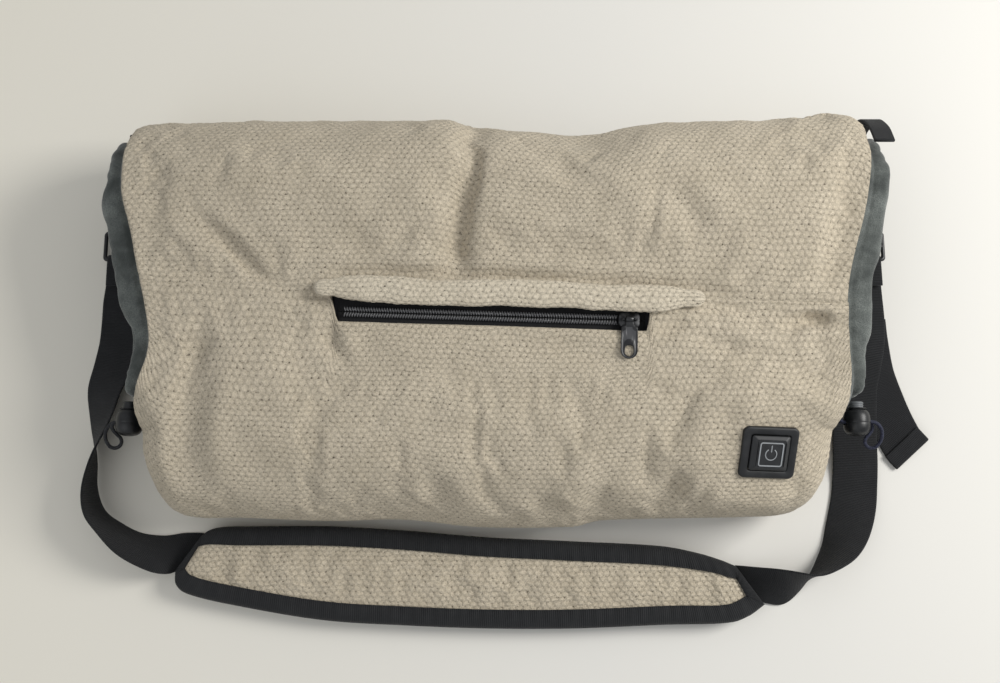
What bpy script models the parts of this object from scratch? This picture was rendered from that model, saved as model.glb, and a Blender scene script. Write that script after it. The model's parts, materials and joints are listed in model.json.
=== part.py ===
"""USB heated hand muff, lying on its back with its shoulder strap laid out below it.

+X is to the wearer's left, +Y is the top edge, and +Z comes out of the front. Metres.
The origin is on the flat of the back, which rests on z = 0.
"""

import math

import bmesh
import bpy
from mathutils import Matrix, Vector

# Driving sizes of the padded body.
HALF_WIDTH = 0.190
HALF_DEPTH = 0.110
CENTRE_Y = 0.006
THICK_TOP = 0.076
THICK_LOW = 0.069
SEAM_HEIGHT = 0.022
TOP_MID_HEIGHT = 0.040
TOP_FRONT_ROLL = 0.038
TOP_BACK_ROLL = 0.034
LOW_FRONT_ROLL = 0.060
LOW_BACK_ROLL = 0.028
SEAM_GAP = 0.0016
SLIP_GAP = 0.0003

# Layers of the wall, outside to inside, and where the end of each stops short of the shell's.
FLEECE = 0.0038
LAYER_GAP = 0.0007
FOLD_ROOM = 0.0026
WADDING = 0.0094
PAD_THICKNESS = 0.0007
PAD_GAP = 0.0005
LINING = 0.0024
WADDING_SETBACK = 0.0150
LINING_SETBACK = 0.0052

# The hand tunnel's own section, and the closed ends of the pouch below it.
TUNNEL_LOW_SHARE = -0.5636
TUNNEL_LOW_Y = CENTRE_Y + TUNNEL_LOW_SHARE * HALF_DEPTH
TUNNEL_ROLL = 0.030
TURN_ABOVE = 0.019
TURN_BELOW = 0.006
TURN_TOP_Y = TUNNEL_LOW_Y + TURN_ABOVE
TURN_LOW_Y = TUNNEL_LOW_Y - TURN_BELOW
CLOSURE_RUN = 0.035
CLOSURE_RADIUS = 0.022

# Places on the outline, as shares of the half depth or half width.
LEFT_EDGE_SHARES = (
    (-1.0, -0.975), (-0.74, -0.997), (-0.46, -0.995), (-0.24, -0.958),
    (-0.12, -0.953), (0.17, -0.987), (0.42, -1.021), (0.58, -1.044), (1.0, -1.053),
)
RIGHT_EDGE_SHARES = (
    (-1.0, 0.93), (-0.80, 0.94), (-0.60, 0.944), (-0.42, 0.968),
    (-0.10, 0.963), (0.13, 0.975), (0.49, 1.03), (0.70, 1.048), (1.0, 1.052),
)
TOP_EDGE_SHARES = (
    (-1.0, 0.965), (-0.96, 0.987), (-0.55, 1.013), (-0.14, 1.014), (-0.06, 0.985),
    (0.25, 0.942), (0.42, 0.995), (0.82, 1.022), (0.96, 1.03), (1.0, 0.985),
)
BOTTOM_EDGE_SHARES = (
    (-1.0, -0.80), (-0.96, -0.91), (-0.90, -0.975), (-0.75, -0.982), (-0.48, -0.998),
    (-0.26, -0.992), (-0.03, -1.028), (0.25, -1.025), (0.34, -0.995), (0.78, -0.978),
    (0.89, -0.962), (0.95, -0.90), (1.0, -0.79),
)

# Main folds of the front: two ends, then the width and the height of each, all as shares.
FOLD_SHARES = (
    (-0.06, 1.00, -0.11, 0.16, 0.075, -0.052),
    (-0.16, 1.00, -0.22, 0.16, 0.10, 0.016),
    (-0.86, -0.20, -0.84, -0.80, 0.09, -0.040),
    (-0.75, -0.25, -0.73, -0.75, 0.08, 0.012),
    (-0.80, 0.40, -0.59, 0.09, 0.08, -0.014),
    (0.44, -0.75, 0.50, -0.98, 0.10, -0.024),
    (0.40, 0.50, 0.75, 0.45, 0.30, 0.022),
    (-0.60, 0.55, -0.25, 0.50, 0.30, 0.018),
    (0.55, 0.02, 0.90, -0.06, 0.08, -0.022),
    (0.94, 0.60, 0.93, 0.20, 0.09, -0.018),
)

# Sampling of the cloth solids.
FRONT_ROWS = 7
ROLL_ROWS = 4
TURN_ROWS = 6
COLUMN_SHARES = (
    -1.0, -0.995, -0.98, -0.95, -0.91, -0.845, -0.74, -0.62, -0.44, -0.22, -0.105, 0.0,
    0.12, 0.26, 0.40, 0.52, 0.66, 0.80, 0.91, 0.95, 0.98, 0.995, 1.0,
)
RING_STEPS = 36

# Zip: the place of its middle on the front, its tilt, and its own sizes.
ZIP_X = -0.003
ZIP_Y = 0.0008
ZIP_TILT_SHARE = -0.0308
ZIP_LENGTH = 0.154
TAPE_WIDTH = 0.0120
TAPE_THICKNESS = 0.0006
COIL_WIDTH = 0.0026
COIL_HEIGHT = 0.0018
POCKET_MOUTH_ABOVE = 0.0135
POCKET_MOUTH_BELOW = 0.0062
SLIDER_LENGTH = 0.0110
SLIDER_WIDTH = 0.0090
SLIDER_PLATE = 0.0010
BRIDGE_LENGTH = 0.0080
BRIDGE_HEIGHT = 0.0026
BRIDGE_WIDTH = 0.0012
BRIDGE_WALL = 0.0010
PULL_LENGTH = 0.0205
PULL_WIDTH = 0.0085
PULL_THICKNESS = 0.0018
PULL_EYE_BORE = 0.0021
PULL_EYE_OUTER = 0.0035
PULL_EYE_LENGTH = 0.0040
ZIP_END_ROOM = 0.0030
PULL_TIP_SHARES = (
    (0.95, 0.20), (1.0, 0.26), (1.0, 0.82), (0.86, 0.91), (0.55, 0.97), (0.12, 1.0),
)
PULL_WINDOW_SHARES = (
    (0.0, 0.945), (0.42, 0.90), (0.54, 0.82), (0.36, 0.68),
    (-0.36, 0.68), (-0.54, 0.82), (-0.42, 0.90),
)

# Welt: a soft roll over the zip's upper edge.
WELT_LENGTH = 0.192
WELT_SHIFT = 0.0060
WELT_LOW = 0.0036
WELT_HEIGHT = 0.0150
WELT_LIFT = 0.0072
WELT_REST = -0.0003

# Pocket bag behind the zip.
BAG_LENGTH = 0.168
BAG_DROP = 0.052
BAG_RISE = 0.0160
BAG_ROOM = 0.0056
BAG_WALL = 0.0008
BAG_DEPTH = 0.0052
BAG_MOUTH = 0.0260
GROMMET_OUTER = 0.0070
GROMMET_BORE = 0.0042
GROMMET_HEIGHT = 0.0030

# Button, on a seat that leans towards the lower right corner.
BUTTON_IN = 0.0505
BUTTON_UP = 0.0350
BUTTON_X = HALF_WIDTH - BUTTON_IN
BUTTON_Y = CENTRE_Y - HALF_DEPTH + BUTTON_UP
BUTTON_TURN_SHARE = -0.085
BUTTON_LEAN_SHARE = 0.40
BUTTON_SIDE_LEAN_SHARE = 0.13
BUTTON_SINK = 0.0020
SEAT_FADE = 0.60
BEZEL_LENGTH = 0.0300
BEZEL_DEPTH = 0.0275
BEZEL_HEIGHT = 0.0026
BEZEL_CORNER = 0.0032
KEY_LENGTH = 0.0205
KEY_DEPTH = 0.0185
KEY_TOP_INSET = 0.0022
KEY_RISE = 0.0046
KEY_BELOW = 0.0010
KEY_STEM = 0.0022
KEY_TRAVEL = 0.0010
ICON_SIDE = 0.0122
ICON_LINE = 0.0006
ICON_RADIUS = 0.0030
ICON_BAR = 0.0032
ICON_GAP_SHARE = 0.20
LIGHT_PLATE = 0.0006
CASE_LENGTH = 0.0262
CASE_DEPTH = 0.0238
CASE_HEIGHT = 0.0100
CASE_WALL = 0.0010
BOARD_THICKNESS = 0.0010
SWITCH_SIDE = 0.0060
LIGHT_HEIGHT = 0.0010

# Cuffs: how far they bulge past the shell's ends, and the hem's roll round its cord.
BULGE = 0.0190
LEFT_BULGE_SHARES = (
    (-0.60, 0.02), (-0.47, 0.03), (-0.43, 0.10), (-0.39, 0.40), (-0.31, 0.48), (-0.24, 0.54),
    (-0.10, 0.58), (-0.02, 0.77), (0.05, 0.815), (0.34, 0.77), (0.52, 0.71), (0.63, 0.49),
    (0.78, 0.45), (0.90, 0.44), (1.1, 0.40),
)
RIGHT_BULGE_SHARES = (
    (-0.60, 0.02), (-0.47, 0.03), (-0.43, 0.10), (-0.39, 0.40), (-0.31, 0.46), (-0.24, 0.52),
    (-0.10, 0.67), (0.05, 0.70), (0.27, 0.67), (0.49, 0.58), (0.70, 0.57), (0.78, 0.48),
    (0.90, 0.44), (1.1, 0.40),
)
CUFF_WALL = 0.0020
CUFF_FLANGE = 0.0120
CUFF_START_DEPTH = 0.0063
CUFF_FULL_DEPTH = 0.0125
HEM_DEPTH = 0.0195
HEM_ROLL = 0.0030
HEM_OUT = 0.0010
CORD_DIAMETER = 0.0020
CORD_GAP = 0.0005

# The cord's free loop: its middle's place from the lock's middle, half the distance between
# its strands, and how far the pair has turned from standing to lying, in degrees.
CORD_ROUTE = (
    (-0.0100, 0.0078, 0.0, 0.00125, 0),
    (-0.0098, 0.0017, 0.0, 0.00125, 0),
    (-0.0072, 0.0, 0.0, 0.00125, 0),
    (0.0, 0.0, 0.0, 0.00125, 0),
    (0.0072, -0.0001, 0.0, 0.00130, 12),
    (0.0100, -0.0017, -0.0004, 0.00180, 40),
    (0.0110, -0.0047, -0.0014, 0.00280, 66),
    (0.0104, -0.0079, -0.0028, 0.00355, 82),
    (0.0090, -0.0103, -0.0040, 0.00370, 90),
)
LOOP_STEPS = 6

# Cord locks.
LOCK_OUT = 0.0114
LOCK_RISE = 0.0055
RIGHT_LOCK_SHIFT = -0.0045
LOCK_X = HALF_WIDTH + LOCK_OUT
LOCK_Y = TUNNEL_LOW_Y + LOCK_RISE
LOCK_Z = 0.0300
BARREL_RADIUS = 0.0073
BARREL_HALF_HEIGHT = 0.0076
BARREL_POWER = 3
BORE_RADIUS = 0.0044
PLUNGER_RADIUS = 0.0040
PLUNGER_TOP = 0.0112
PLUNGER_BOTTOM = 0.0026
LOCK_TRAVEL = 0.0024
BARREL_FLOOR = 0.0012
SPRING_WIRE = 0.0005
SPRING_TURNS = 2.5
SPRING_POINTS_PER_TURN = 10

# Strap: webbing, hardware and the bars that it swings on.
WEBBING_WIDTH = 0.0250
WEBBING_THICKNESS = 0.0012
BAR_BELOW = 0.0680
BAR_Y = CENTRE_Y + HALF_DEPTH - BAR_BELOW
BAR_HEIGHT = 0.0029
BAR_RADIUS = 0.0010
BUCKLE_WIDTH = 0.0315
BUCKLE_SIDE = 0.0024
BUCKLE_LENGTH = 0.0180
LEFT_BUCKLE_OUT = 0.0263
RIGHT_BUCKLE_OUT = 0.0225
LEFT_BUCKLE_X = -HALF_WIDTH - LEFT_BUCKLE_OUT
RIGHT_BUCKLE_X = HALF_WIDTH + RIGHT_BUCKLE_OUT
TAB_WIDTH = 0.0200
TAB_OUT = 0.0005
LEFT_TAB_LIFT = 0.0000
RIGHT_TAB_LIFT = 0.0042
LEFT_TAB_TOP = 0.0070
RIGHT_TAB_TOP = 0.0110

# Shoulder pad.
PAD_LENGTH = 0.325
PAD_X = -0.0155
PAD_BELOW = 0.0300
PAD_Y = CENTRE_Y - HALF_DEPTH - PAD_BELOW
PAD_BASE = 0.0004
PAD_BACKING = 0.0010
PAD_FOAM = 0.0050
PAD_CROWN = 0.0022
PAD_FACE = 0.0022
BINDING_WIDTH = 0.0100
BINDING_THICKNESS = 0.0009
PAD_STEPS = 26
PAD_CROWN_RUN_SHARE = 0.08
PAD_EDGE_SHARES = (
    (0.00, -0.458, 0.068, -0.500, 0.010),
    (0.03, -0.446, 0.077, -0.498, -0.012),
    (0.07, -0.426, 0.082, -0.478, -0.028),
    (0.13, -0.383, 0.083, -0.408, -0.045),
    (0.26, -0.242, 0.083, -0.250, -0.071),
    (0.38, -0.111, 0.076, -0.109, -0.080),
    (0.50, 0.023, 0.065, 0.032, -0.085),
    (0.64, 0.171, 0.058, 0.177, -0.085),
    (0.78, 0.325, 0.050, 0.331, -0.079),
    (0.88, 0.392, 0.038, 0.435, -0.076),
    (0.95, 0.429, 0.027, 0.472, -0.065),
    (1.00, 0.454, 0.017, 0.500, -0.046),
)

# Webbing routes: how far out from the half width, how far up from the bottom edge, and the turn
# and roll in degrees. The edge lies on the floor.
LEFT_ROUTE = (
    (0.0285, 0.1275, 0, 0),
    (0.0290, 0.1056, -2, 4),
    (0.0315, 0.0895, -8, 10),
    (0.0350, 0.0740, -5, 24),
    (0.0348, 0.0560, 0, 46),
    (0.0362, 0.0360, -3, 76),
    (0.0372, 0.0195, 4, 88),
    (0.0335, 0.0050, 30, 98),
    (0.0242, -0.0045, 48, 108),
    (0.0130, -0.0125, 60, 122),
    (-0.0002, -0.0170, 74, 140),
    (-0.0100, -0.0175, 70, 164),
    (-0.0178, -0.0168, 57, 177),
)
RIGHT_ROUTE = (
    (0.0230, 0.1275, 0, 0),
    (0.0226, 0.1056, -4, 0),
    (0.0190, 0.0880, -12, 0),
    (0.0160, 0.0740, -5, 0),
    (0.0140, 0.0470, -2, 3),
    (0.0130, 0.0240, -4, 6),
    (0.0105, 0.0080, -14, 14),
    (0.0045, -0.0070, -30, 34),
    (-0.0035, -0.0185, -46, 62),
    (-0.0150, -0.0290, -58, 92),
    (-0.0260, -0.0335, -64, 126),
    (-0.0370, -0.0355, -62, 158),
    (-0.0495, -0.0342, -54.5, 177),
)
TAIL_ROUTE = (
    (0.0243, 0.1160, 3, 0),
    (0.0250, 0.1040, 4, 0),
    (0.0275, 0.0840, 12, 0),
    (0.0340, 0.0620, 32, 4),
    (0.0410, 0.0450, 42, 8),
    (0.0460, 0.0385, 43, 8),
)
TAIL_WIDTH = 0.0250
TAIL_LIFT = 0.0008
OVER_TAIL = 0.0021
OVER_TAIL_RISES = ((0.016, 0.038), (0.118, 0.140))
STRAP_END_SHARES = (0.4822, 0.4800)
LOOP_RUN = 0.0160
LOOP_LEAVE = 0.0245
LOOP_GAP = 0.0005
HEM_LENGTH = 0.0085

MATERIALS = {
    "fleece": ((0.44, 0.38, 0.30), 0.95, 0.0),
    "plush": ((0.17, 0.19, 0.20), 0.95, 0.0),
    "webbing": ((0.015, 0.015, 0.017), 0.8, 0.0),
    "black_plastic": ((0.012, 0.012, 0.013), 0.35, 0.0),
    "silicone": ((0.012, 0.013, 0.014), 0.5, 0.0),
    "icon": ((0.42, 0.43, 0.44), 0.5, 0.0),
    "zip_tape": ((0.012, 0.012, 0.013), 0.85, 0.0),
    "zip_metal": ((0.05, 0.05, 0.055), 0.35, 0.8),
    "wadding": ((0.75, 0.74, 0.72), 1.0, 0.0),
    "foam": ((0.30, 0.30, 0.30), 1.0, 0.0),
    "heating_film": ((0.02, 0.02, 0.02), 0.5, 0.0),
    "circuit": ((0.02, 0.12, 0.05), 0.5, 0.0),
    "steel": ((0.55, 0.55, 0.56), 0.3, 1.0),
    "lining_cloth": ((0.05, 0.05, 0.055), 0.9, 0.0),
}


def clear_scene():
    for old in list(bpy.data.objects):
        bpy.data.objects.remove(old, do_unlink=True)


def new_collection(name):
    found = bpy.data.collections.new(name)
    bpy.context.scene.collection.children.link(found)
    return found


def material(name):
    """The Principled material of this name, made once."""
    made = bpy.data.materials.get(name)
    if made is None:
        colour, roughness, metallic = MATERIALS[name]
        made = bpy.data.materials.new(name)
        made.use_nodes = True
        made.diffuse_color = (*colour, 1.0)
        shader = made.node_tree.nodes["Principled BSDF"]
        shader.inputs["Base Color"].default_value = (*colour, 1.0)
        shader.inputs["Roughness"].default_value = roughness
        shader.inputs["Metallic"].default_value = metallic
    return made


def claim(obj, name, finish, parent=None, cutter=False):
    """Name the object, give it its finish and parent, and file it in its collection."""
    obj.name = name
    obj.data.name = name
    for home in list(obj.users_collection):
        home.objects.unlink(obj)
    bpy.data.collections["cutters" if cutter else "hand_muff"].objects.link(obj)
    if cutter:
        obj.hide_render = True
        obj.display_type = "WIRE"
    else:
        obj.data.materials.append(material(finish))
    if parent is not None:
        obj.parent = parent
    return obj


def empty(name, matrix, parent=None):
    """An empty that carries pieces in its own frame."""
    frame = bpy.data.objects.new(name, None)
    frame.empty_display_size = WEBBING_WIDTH
    bpy.data.collections["hand_muff"].objects.link(frame)
    frame.parent = parent
    frame.matrix_basis = matrix
    return frame


def smooth(obj):
    for face in obj.data.polygons:
        face.use_smooth = True
    return obj


def box(name, finish, size, at, parent=None, bevel=0.0, cutter=False):
    """A box by its full sizes and its centre, in its parent's frame."""
    bpy.ops.mesh.primitive_cube_add(size=1)
    obj = bpy.context.object
    obj.data.transform(Matrix.Diagonal((*size, 1)))
    obj.location = at
    if bevel:
        rounding = obj.modifiers.new("Rounded edges", "BEVEL")
        rounding.width = bevel
        rounding.segments = 2
    return claim(obj, name, finish, parent, cutter)


def cylinder(name, finish, radius, depth, at, axis="Z", parent=None, cutter=False, sides=24):
    """A cylinder by its radius, depth and centre, along one axis of its parent's frame."""
    bpy.ops.mesh.primitive_cylinder_add(vertices=sides, radius=radius, depth=depth)
    obj = bpy.context.object
    if axis == "X":
        obj.data.transform(Matrix.Rotation(math.pi / 2, 4, "Y"))
    if axis == "Y":
        obj.data.transform(Matrix.Rotation(-math.pi / 2, 4, "X"))
    obj.location = at
    return claim(obj, name, finish, parent, cutter)


def combine(obj, other, operation="DIFFERENCE"):
    """A Boolean of the object with a helper that doesn't render."""
    change = obj.modifiers.new(other.name, "BOOLEAN")
    change.object = other
    change.operation = operation
    change.solver = "EXACT"
    return obj


def plate(name, finish, outline, holes, low, high, parent=None, cutter=False):
    """A flat 2D curve, with its holes, given thickness from low to high."""
    data = bpy.data.curves.new(name, "CURVE")
    data.dimensions = "2D"
    data.fill_mode = "BOTH"
    data.extrude = (high - low) / 2
    for points in (outline, *holes):
        spline = data.splines.new("POLY")
        spline.points.add(len(points) - 1)
        for point, (x, y) in zip(spline.points, points):
            point.co = (x, y, 0, 1)
        spline.use_cyclic_u = True
    obj = bpy.data.objects.new(name, data)
    bpy.context.scene.collection.objects.link(obj)
    obj.location = (0, 0, (high + low) / 2)
    return claim(obj, name, finish, parent, cutter)


def meshed(curve):
    """The curve object made a mesh, its caps welded, so that Booleans can use it."""
    bpy.context.view_layer.update()
    graph = bpy.context.evaluated_depsgraph_get()
    mesh = bpy.data.meshes.new_from_object(curve.evaluated_get(graph))
    shape = bmesh.new()
    shape.from_mesh(mesh)
    bmesh.ops.remove_doubles(shape, verts=shape.verts, dist=SLIP_GAP / 100)
    bmesh.ops.recalc_face_normals(shape, faces=shape.faces)
    shape.to_mesh(mesh)
    shape.free()
    name = curve.name
    obj = bpy.data.objects.new(name, mesh)
    for home in list(curve.users_collection):
        home.objects.link(obj)
    obj.hide_render = curve.hide_render
    obj.display_type = curve.display_type
    obj.parent = curve.parent
    obj.matrix_basis = curve.matrix_basis.copy()
    bpy.data.objects.remove(curve, do_unlink=True)
    obj.name = name
    return obj


def tube(name, finish, points, diameter, parent=None, closed=False, resolution=2, radii=None):
    """A round cord or wire through the points."""
    data = bpy.data.curves.new(name, "CURVE")
    data.dimensions = "3D"
    data.bevel_depth = diameter / 2
    data.bevel_resolution = resolution
    data.use_fill_caps = True
    spline = data.splines.new("POLY")
    spline.points.add(len(points) - 1)
    for index, place in enumerate(points):
        spline.points[index].co = (*place, 1)
        spline.points[index].radius = radii[index] if radii else 1.0
    spline.use_cyclic_u = closed
    spline.use_smooth = True
    obj = bpy.data.objects.new(name, data)
    bpy.context.scene.collection.objects.link(obj)
    return claim(obj, name, finish, parent)


def rounded(length, depth, corner, steps=3):
    """The outline of a rectangle about the origin, its corners as arcs."""
    points = []
    for quarter in range(4):
        side_x = 1 if quarter in (0, 3) else -1
        side_y = 1 if quarter in (0, 1) else -1
        for step in range(steps + 1):
            angle = (quarter + step / steps) * math.pi / 2
            points.append((
                side_x * (length / 2 - corner) + corner * math.cos(angle),
                side_y * (depth / 2 - corner) + corner * math.sin(angle),
            ))
    return points


def through(table, at):
    """The value at one place of a smooth curve through the table's (place, value) pairs."""
    at = min(max(at, table[0][0]), table[-1][0])
    index = 0
    while index < len(table) - 2 and table[index + 1][0] < at:
        index += 1
    before, start, end, after = (
        table[max(0, min(len(table) - 1, index + shift))] for shift in (-1, 0, 1, 2)
    )
    run = end[0] - start[0]
    t = (at - start[0]) / run
    leave = (end[1] - before[1]) / (end[0] - before[0]) * run
    arrive = (after[1] - start[1]) / (after[0] - start[0]) * run
    return (
        (2 * t**3 - 3 * t**2 + 1) * start[1] + (t**3 - 2 * t**2 + t) * leave
        + (3 * t**2 - 2 * t**3) * end[1] + (t**3 - t**2) * arrive
    )


def step_between(low, high, at):
    """0 below low, 1 above high, and smooth between."""
    t = min(max((at - low) / (high - low), 0.0), 1.0)
    return t * t * (3 - 2 * t)


def y_share(y):
    return (y - CENTRE_Y) / HALF_DEPTH


def ends_at(y):
    """The x of the left end and of the right end at this height up the muff."""
    share = y_share(y)
    left = HALF_WIDTH * through(LEFT_EDGE_SHARES, share)
    return left, HALF_WIDTH * through(RIGHT_EDGE_SHARES, share)


def x_at(x_share, y):
    left, right = ends_at(y)
    return left + (right - left) * (x_share + 1) / 2


def share_at(x, y):
    left, right = ends_at(y)
    return 2 * (x - left) / (right - left) - 1


def top_y(x_share):
    return CENTRE_Y + HALF_DEPTH * through(TOP_EDGE_SHARES, x_share)


def bottom_y(x_share):
    return CENTRE_Y + HALF_DEPTH * through(BOTTOM_EDGE_SHARES, x_share)


def front_slope():
    """How much the flat of the front falls for each metre towards the bottom."""
    flat = 2 * HALF_DEPTH - TOP_FRONT_ROLL - LOW_FRONT_ROLL
    return (THICK_TOP - THICK_LOW) / flat


def front_z(y):
    return THICK_TOP - (CENTRE_Y + HALF_DEPTH - TOP_FRONT_ROLL - y) * front_slope()


def fold_height(x_share, y):
    """What the folds add to the front there."""
    here = Vector((x_share * HALF_WIDTH, y_share(y) * HALF_DEPTH))
    height = 0.0
    for x0, y0, x1, y1, width, rise in FOLD_SHARES:
        start = Vector((x0 * HALF_WIDTH, y0 * HALF_DEPTH))
        run = Vector((x1 * HALF_WIDTH, y1 * HALF_DEPTH)) - start
        along = min(max((here - start).dot(run) / run.length_squared, 0.0), 1.0)
        away = (here - start - along * run).length / (width * HALF_DEPTH)
        height += rise * HALF_DEPTH * math.exp(-away * away)
    return height * flat_keep(x_share, y)


def flat_keep(x_share, y):
    """1 where folds may be, and 0 over the zip, which stays flat."""
    off_x = abs(x_at(x_share, y) - WELT_SHIFT) - WELT_LENGTH / 2
    off_y = max(y - ZIP_Y - BAG_RISE, ZIP_Y - BAG_RISE - y)
    return step_between(0, BAG_RISE, max(off_x, off_y))


def button_matrix():
    """The button's frame: on its seat, turned and leaning as the cloth lies there."""
    turn = Matrix.Rotation(BUTTON_TURN_SHARE, 4, "Z")
    lean = Matrix.Rotation(BUTTON_LEAN_SHARE, 4, "X")
    side = Matrix.Rotation(BUTTON_SIDE_LEAN_SHARE, 4, "Y")
    share = share_at(BUTTON_X, BUTTON_Y)
    cloth = section_point(False, front_u(share, BUTTON_Y), share, 0.0, seated=False)
    place = Matrix.Translation((BUTTON_X, BUTTON_Y, cloth.z - BUTTON_SINK))
    return place @ lean @ side @ turn


def seat_height(x, y, z):
    """The height of the front after the button's seat has drawn it to its own plane."""
    frame = SEAT["frame"]
    normal = frame.to_3x3() @ Vector((0, 0, 1))
    base = frame.translation
    plane = base.z - ((x - base.x) * normal.x + (y - base.y) * normal.y) / normal.z
    away = math.hypot((x - base.x) / BEZEL_LENGTH, (y - base.y) / BEZEL_DEPTH)
    hold = 1 - step_between(0.85, 1.7, away)
    return z + (plane - z) * hold


SEAT = {}


def front_u(x_share, y):
    """The section place, from 0 to 2, of a point of the front at this height up the muff."""
    start = top_y(x_share) - TOP_FRONT_ROLL
    end = bottom_y(x_share) + LOW_FRONT_ROLL
    if y >= end:
        return (start - y) / (start - end)
    sine = min(1.0, (end - y) / LOW_FRONT_ROLL)
    return 1 + math.asin(sine) / (math.pi / 2)


def back_u(x_share, y):
    """The section place, from 2 to 4, of a point of the back at this height up the muff."""
    turn = bottom_y(x_share) + LOW_BACK_ROLL
    if y >= turn:
        return 3 + (y - turn) / (top_y(x_share) - TOP_BACK_ROLL - turn)
    return 2 + math.acos(min(1.0, (turn - y) / LOW_BACK_ROLL)) / (math.pi / 2)


def closed_end(y):
    """How much of its height the shell's end keeps there, and the height that it closes to.

    Beside the tunnel the end follows the tunnel's lower roll, and below it the end is closed.
    """
    centre = TUNNEL_LOW_Y + TUNNEL_ROLL
    sine = min(max((centre - y) / TUNNEL_ROLL, 0.0), 1.0)
    rise = front_z(centre) / 2 - SEAM_HEIGHT
    seam = SEAM_HEIGHT + rise * step_between(TUNNEL_LOW_Y - CLOSURE_RUN, TUNNEL_LOW_Y, y)
    return math.sqrt(1 - sine**2), seam


def section_point(tunnel, u, x_share, depth, outward=0.0, seated=True):
    """A point of the body, or of the tunnel in it, this deep under its surface.

    u runs round the section: 0 to 1 the flat of the front, 1 to 3 the lower rolls, 3 to 4
    the flat of the back, 4 to 6 the upper rolls. Outward is how far past the end it lies.
    """
    top = top_y(x_share)
    bottom = TUNNEL_LOW_Y if tunnel else bottom_y(x_share)
    low_front = TUNNEL_ROLL if tunnel else LOW_FRONT_ROLL
    low_back = TUNNEL_ROLL if tunnel else LOW_BACK_ROLL
    front_low_y = bottom + low_front
    back_low_y = bottom + low_back
    middle = (front_z(front_low_y) / 2) if tunnel else SEAM_HEIGHT
    stretch = int(u) % 6
    angle = (u - int(u)) * math.pi / 2
    share = u - int(u)
    if stretch == 0:
        y = (top - TOP_FRONT_ROLL) * (1 - share) + front_low_y * share
        z = front_z(y) - depth
        front = 1.0
    elif stretch == 1:
        y = front_low_y - (low_front - depth) * math.sin(angle)
        z = middle + (front_z(front_low_y) - depth - middle) * math.cos(angle)
        front = math.cos(angle)
    elif stretch == 2:
        y = back_low_y - (low_back - depth) * math.cos(angle)
        z = middle - (middle - depth) * math.sin(angle)
        front = 0.0
    elif stretch == 3:
        y = back_low_y * (1 - share) + (top - TOP_BACK_ROLL) * share
        z = depth
        front = 0.0
    elif stretch == 4:
        y = top - TOP_BACK_ROLL + (TOP_BACK_ROLL - depth) * math.sin(angle)
        z = TOP_MID_HEIGHT - (TOP_MID_HEIGHT - depth) * math.cos(angle)
        front = 0.0
    else:
        y = top - TOP_FRONT_ROLL + (TOP_FRONT_ROLL - depth) * math.cos(angle)
        crest = front_z(top - TOP_FRONT_ROLL) - depth
        z = TOP_MID_HEIGHT + (crest - TOP_MID_HEIGHT) * math.sin(angle)
        front = math.sin(angle)
    x = x_at(x_share, y) + outward * math.copysign(1, x_share)
    if tunnel:
        return Vector((x, y, z))
    z += front * fold_height(x_share, y)
    if seated and front > 0:
        z += (seat_height(x, y, z + depth) - (z + depth)) * step_between(0, SEAT_FADE, front)
    inside = (1 - abs(x_share)) * HALF_WIDTH - outward
    pinch = min(max((CLOSURE_RADIUS - inside) / (CLOSURE_RADIUS - depth), 0.0), 1.0)
    side = 1 if stretch in (0, 1, 5) else -1
    keep, seam = closed_end(y)
    part = keep + (1 - keep) * math.sqrt(1 - pinch**2)
    z = seam + (z - seam) * part + side * pinch * (1 - keep) * SEAM_GAP
    return Vector((x, y, z))


def sheet(name, finish, columns, rows, thickness, place, offset=-1.0, even=False):
    """A grid placed by a formula of its column and row values, given thickness inward."""
    bpy.ops.mesh.primitive_grid_add(x_subdivisions=len(columns) - 1, y_subdivisions=len(rows) - 1)
    obj = bpy.context.object
    for index, vertex in enumerate(obj.data.vertices):
        vertex.co = place(columns[index % len(columns)], rows[index // len(columns)])
    solid = obj.modifiers.new("Cloth thickness", "SOLIDIFY")
    solid.thickness = thickness
    solid.offset = offset
    solid.use_even_offset = even
    return smooth(claim(obj, name, finish))


def ring(name, finish, around, across, place):
    """A torus placed by a formula: steps round it, and steps round its own section."""
    bpy.ops.mesh.primitive_torus_add(major_segments=around, minor_segments=across)
    obj = bpy.context.object
    for index, vertex in enumerate(obj.data.vertices):
        vertex.co = place(index // across, index % across)
    shape = bmesh.new()
    shape.from_mesh(obj.data)
    bmesh.ops.recalc_face_normals(shape, faces=shape.faces)
    shape.to_mesh(obj.data)
    shape.free()
    return smooth(claim(obj, name, finish))


def spaced(start, end, steps):
    return [start + (end - start) * step / steps for step in range(steps + 1)]


def seam_y(x_share):
    """The height of the seam between the two front panels, which lies along the zip's mouth."""
    return ZIP_Y + POCKET_MOUTH_ABOVE + ZIP_TILT_SHARE * (x_at(x_share, ZIP_Y) - ZIP_X)


def mouth_drop(x_share):
    """How far the lower panel's edge lies below the seam: more along the zip."""
    off = abs(x_at(x_share, ZIP_Y) - ZIP_X) - ZIP_LENGTH / 2 - ZIP_END_ROOM
    full = POCKET_MOUTH_ABOVE + POCKET_MOUTH_BELOW
    return SEAM_GAP + (full - SEAM_GAP) * (1 - step_between(0, SEAM_GAP, off))


def panel_columns():
    """The cloth's columns, with a close pair at each end of the zip's mouth."""
    ends = []
    for side in (-1, 1):
        edge = ZIP_X + side * (ZIP_LENGTH / 2 + ZIP_END_ROOM)
        ends += [share_at(edge, ZIP_Y), share_at(edge + side * SEAM_GAP, ZIP_Y)]
    return sorted([*COLUMN_SHARES, *ends])


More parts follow.
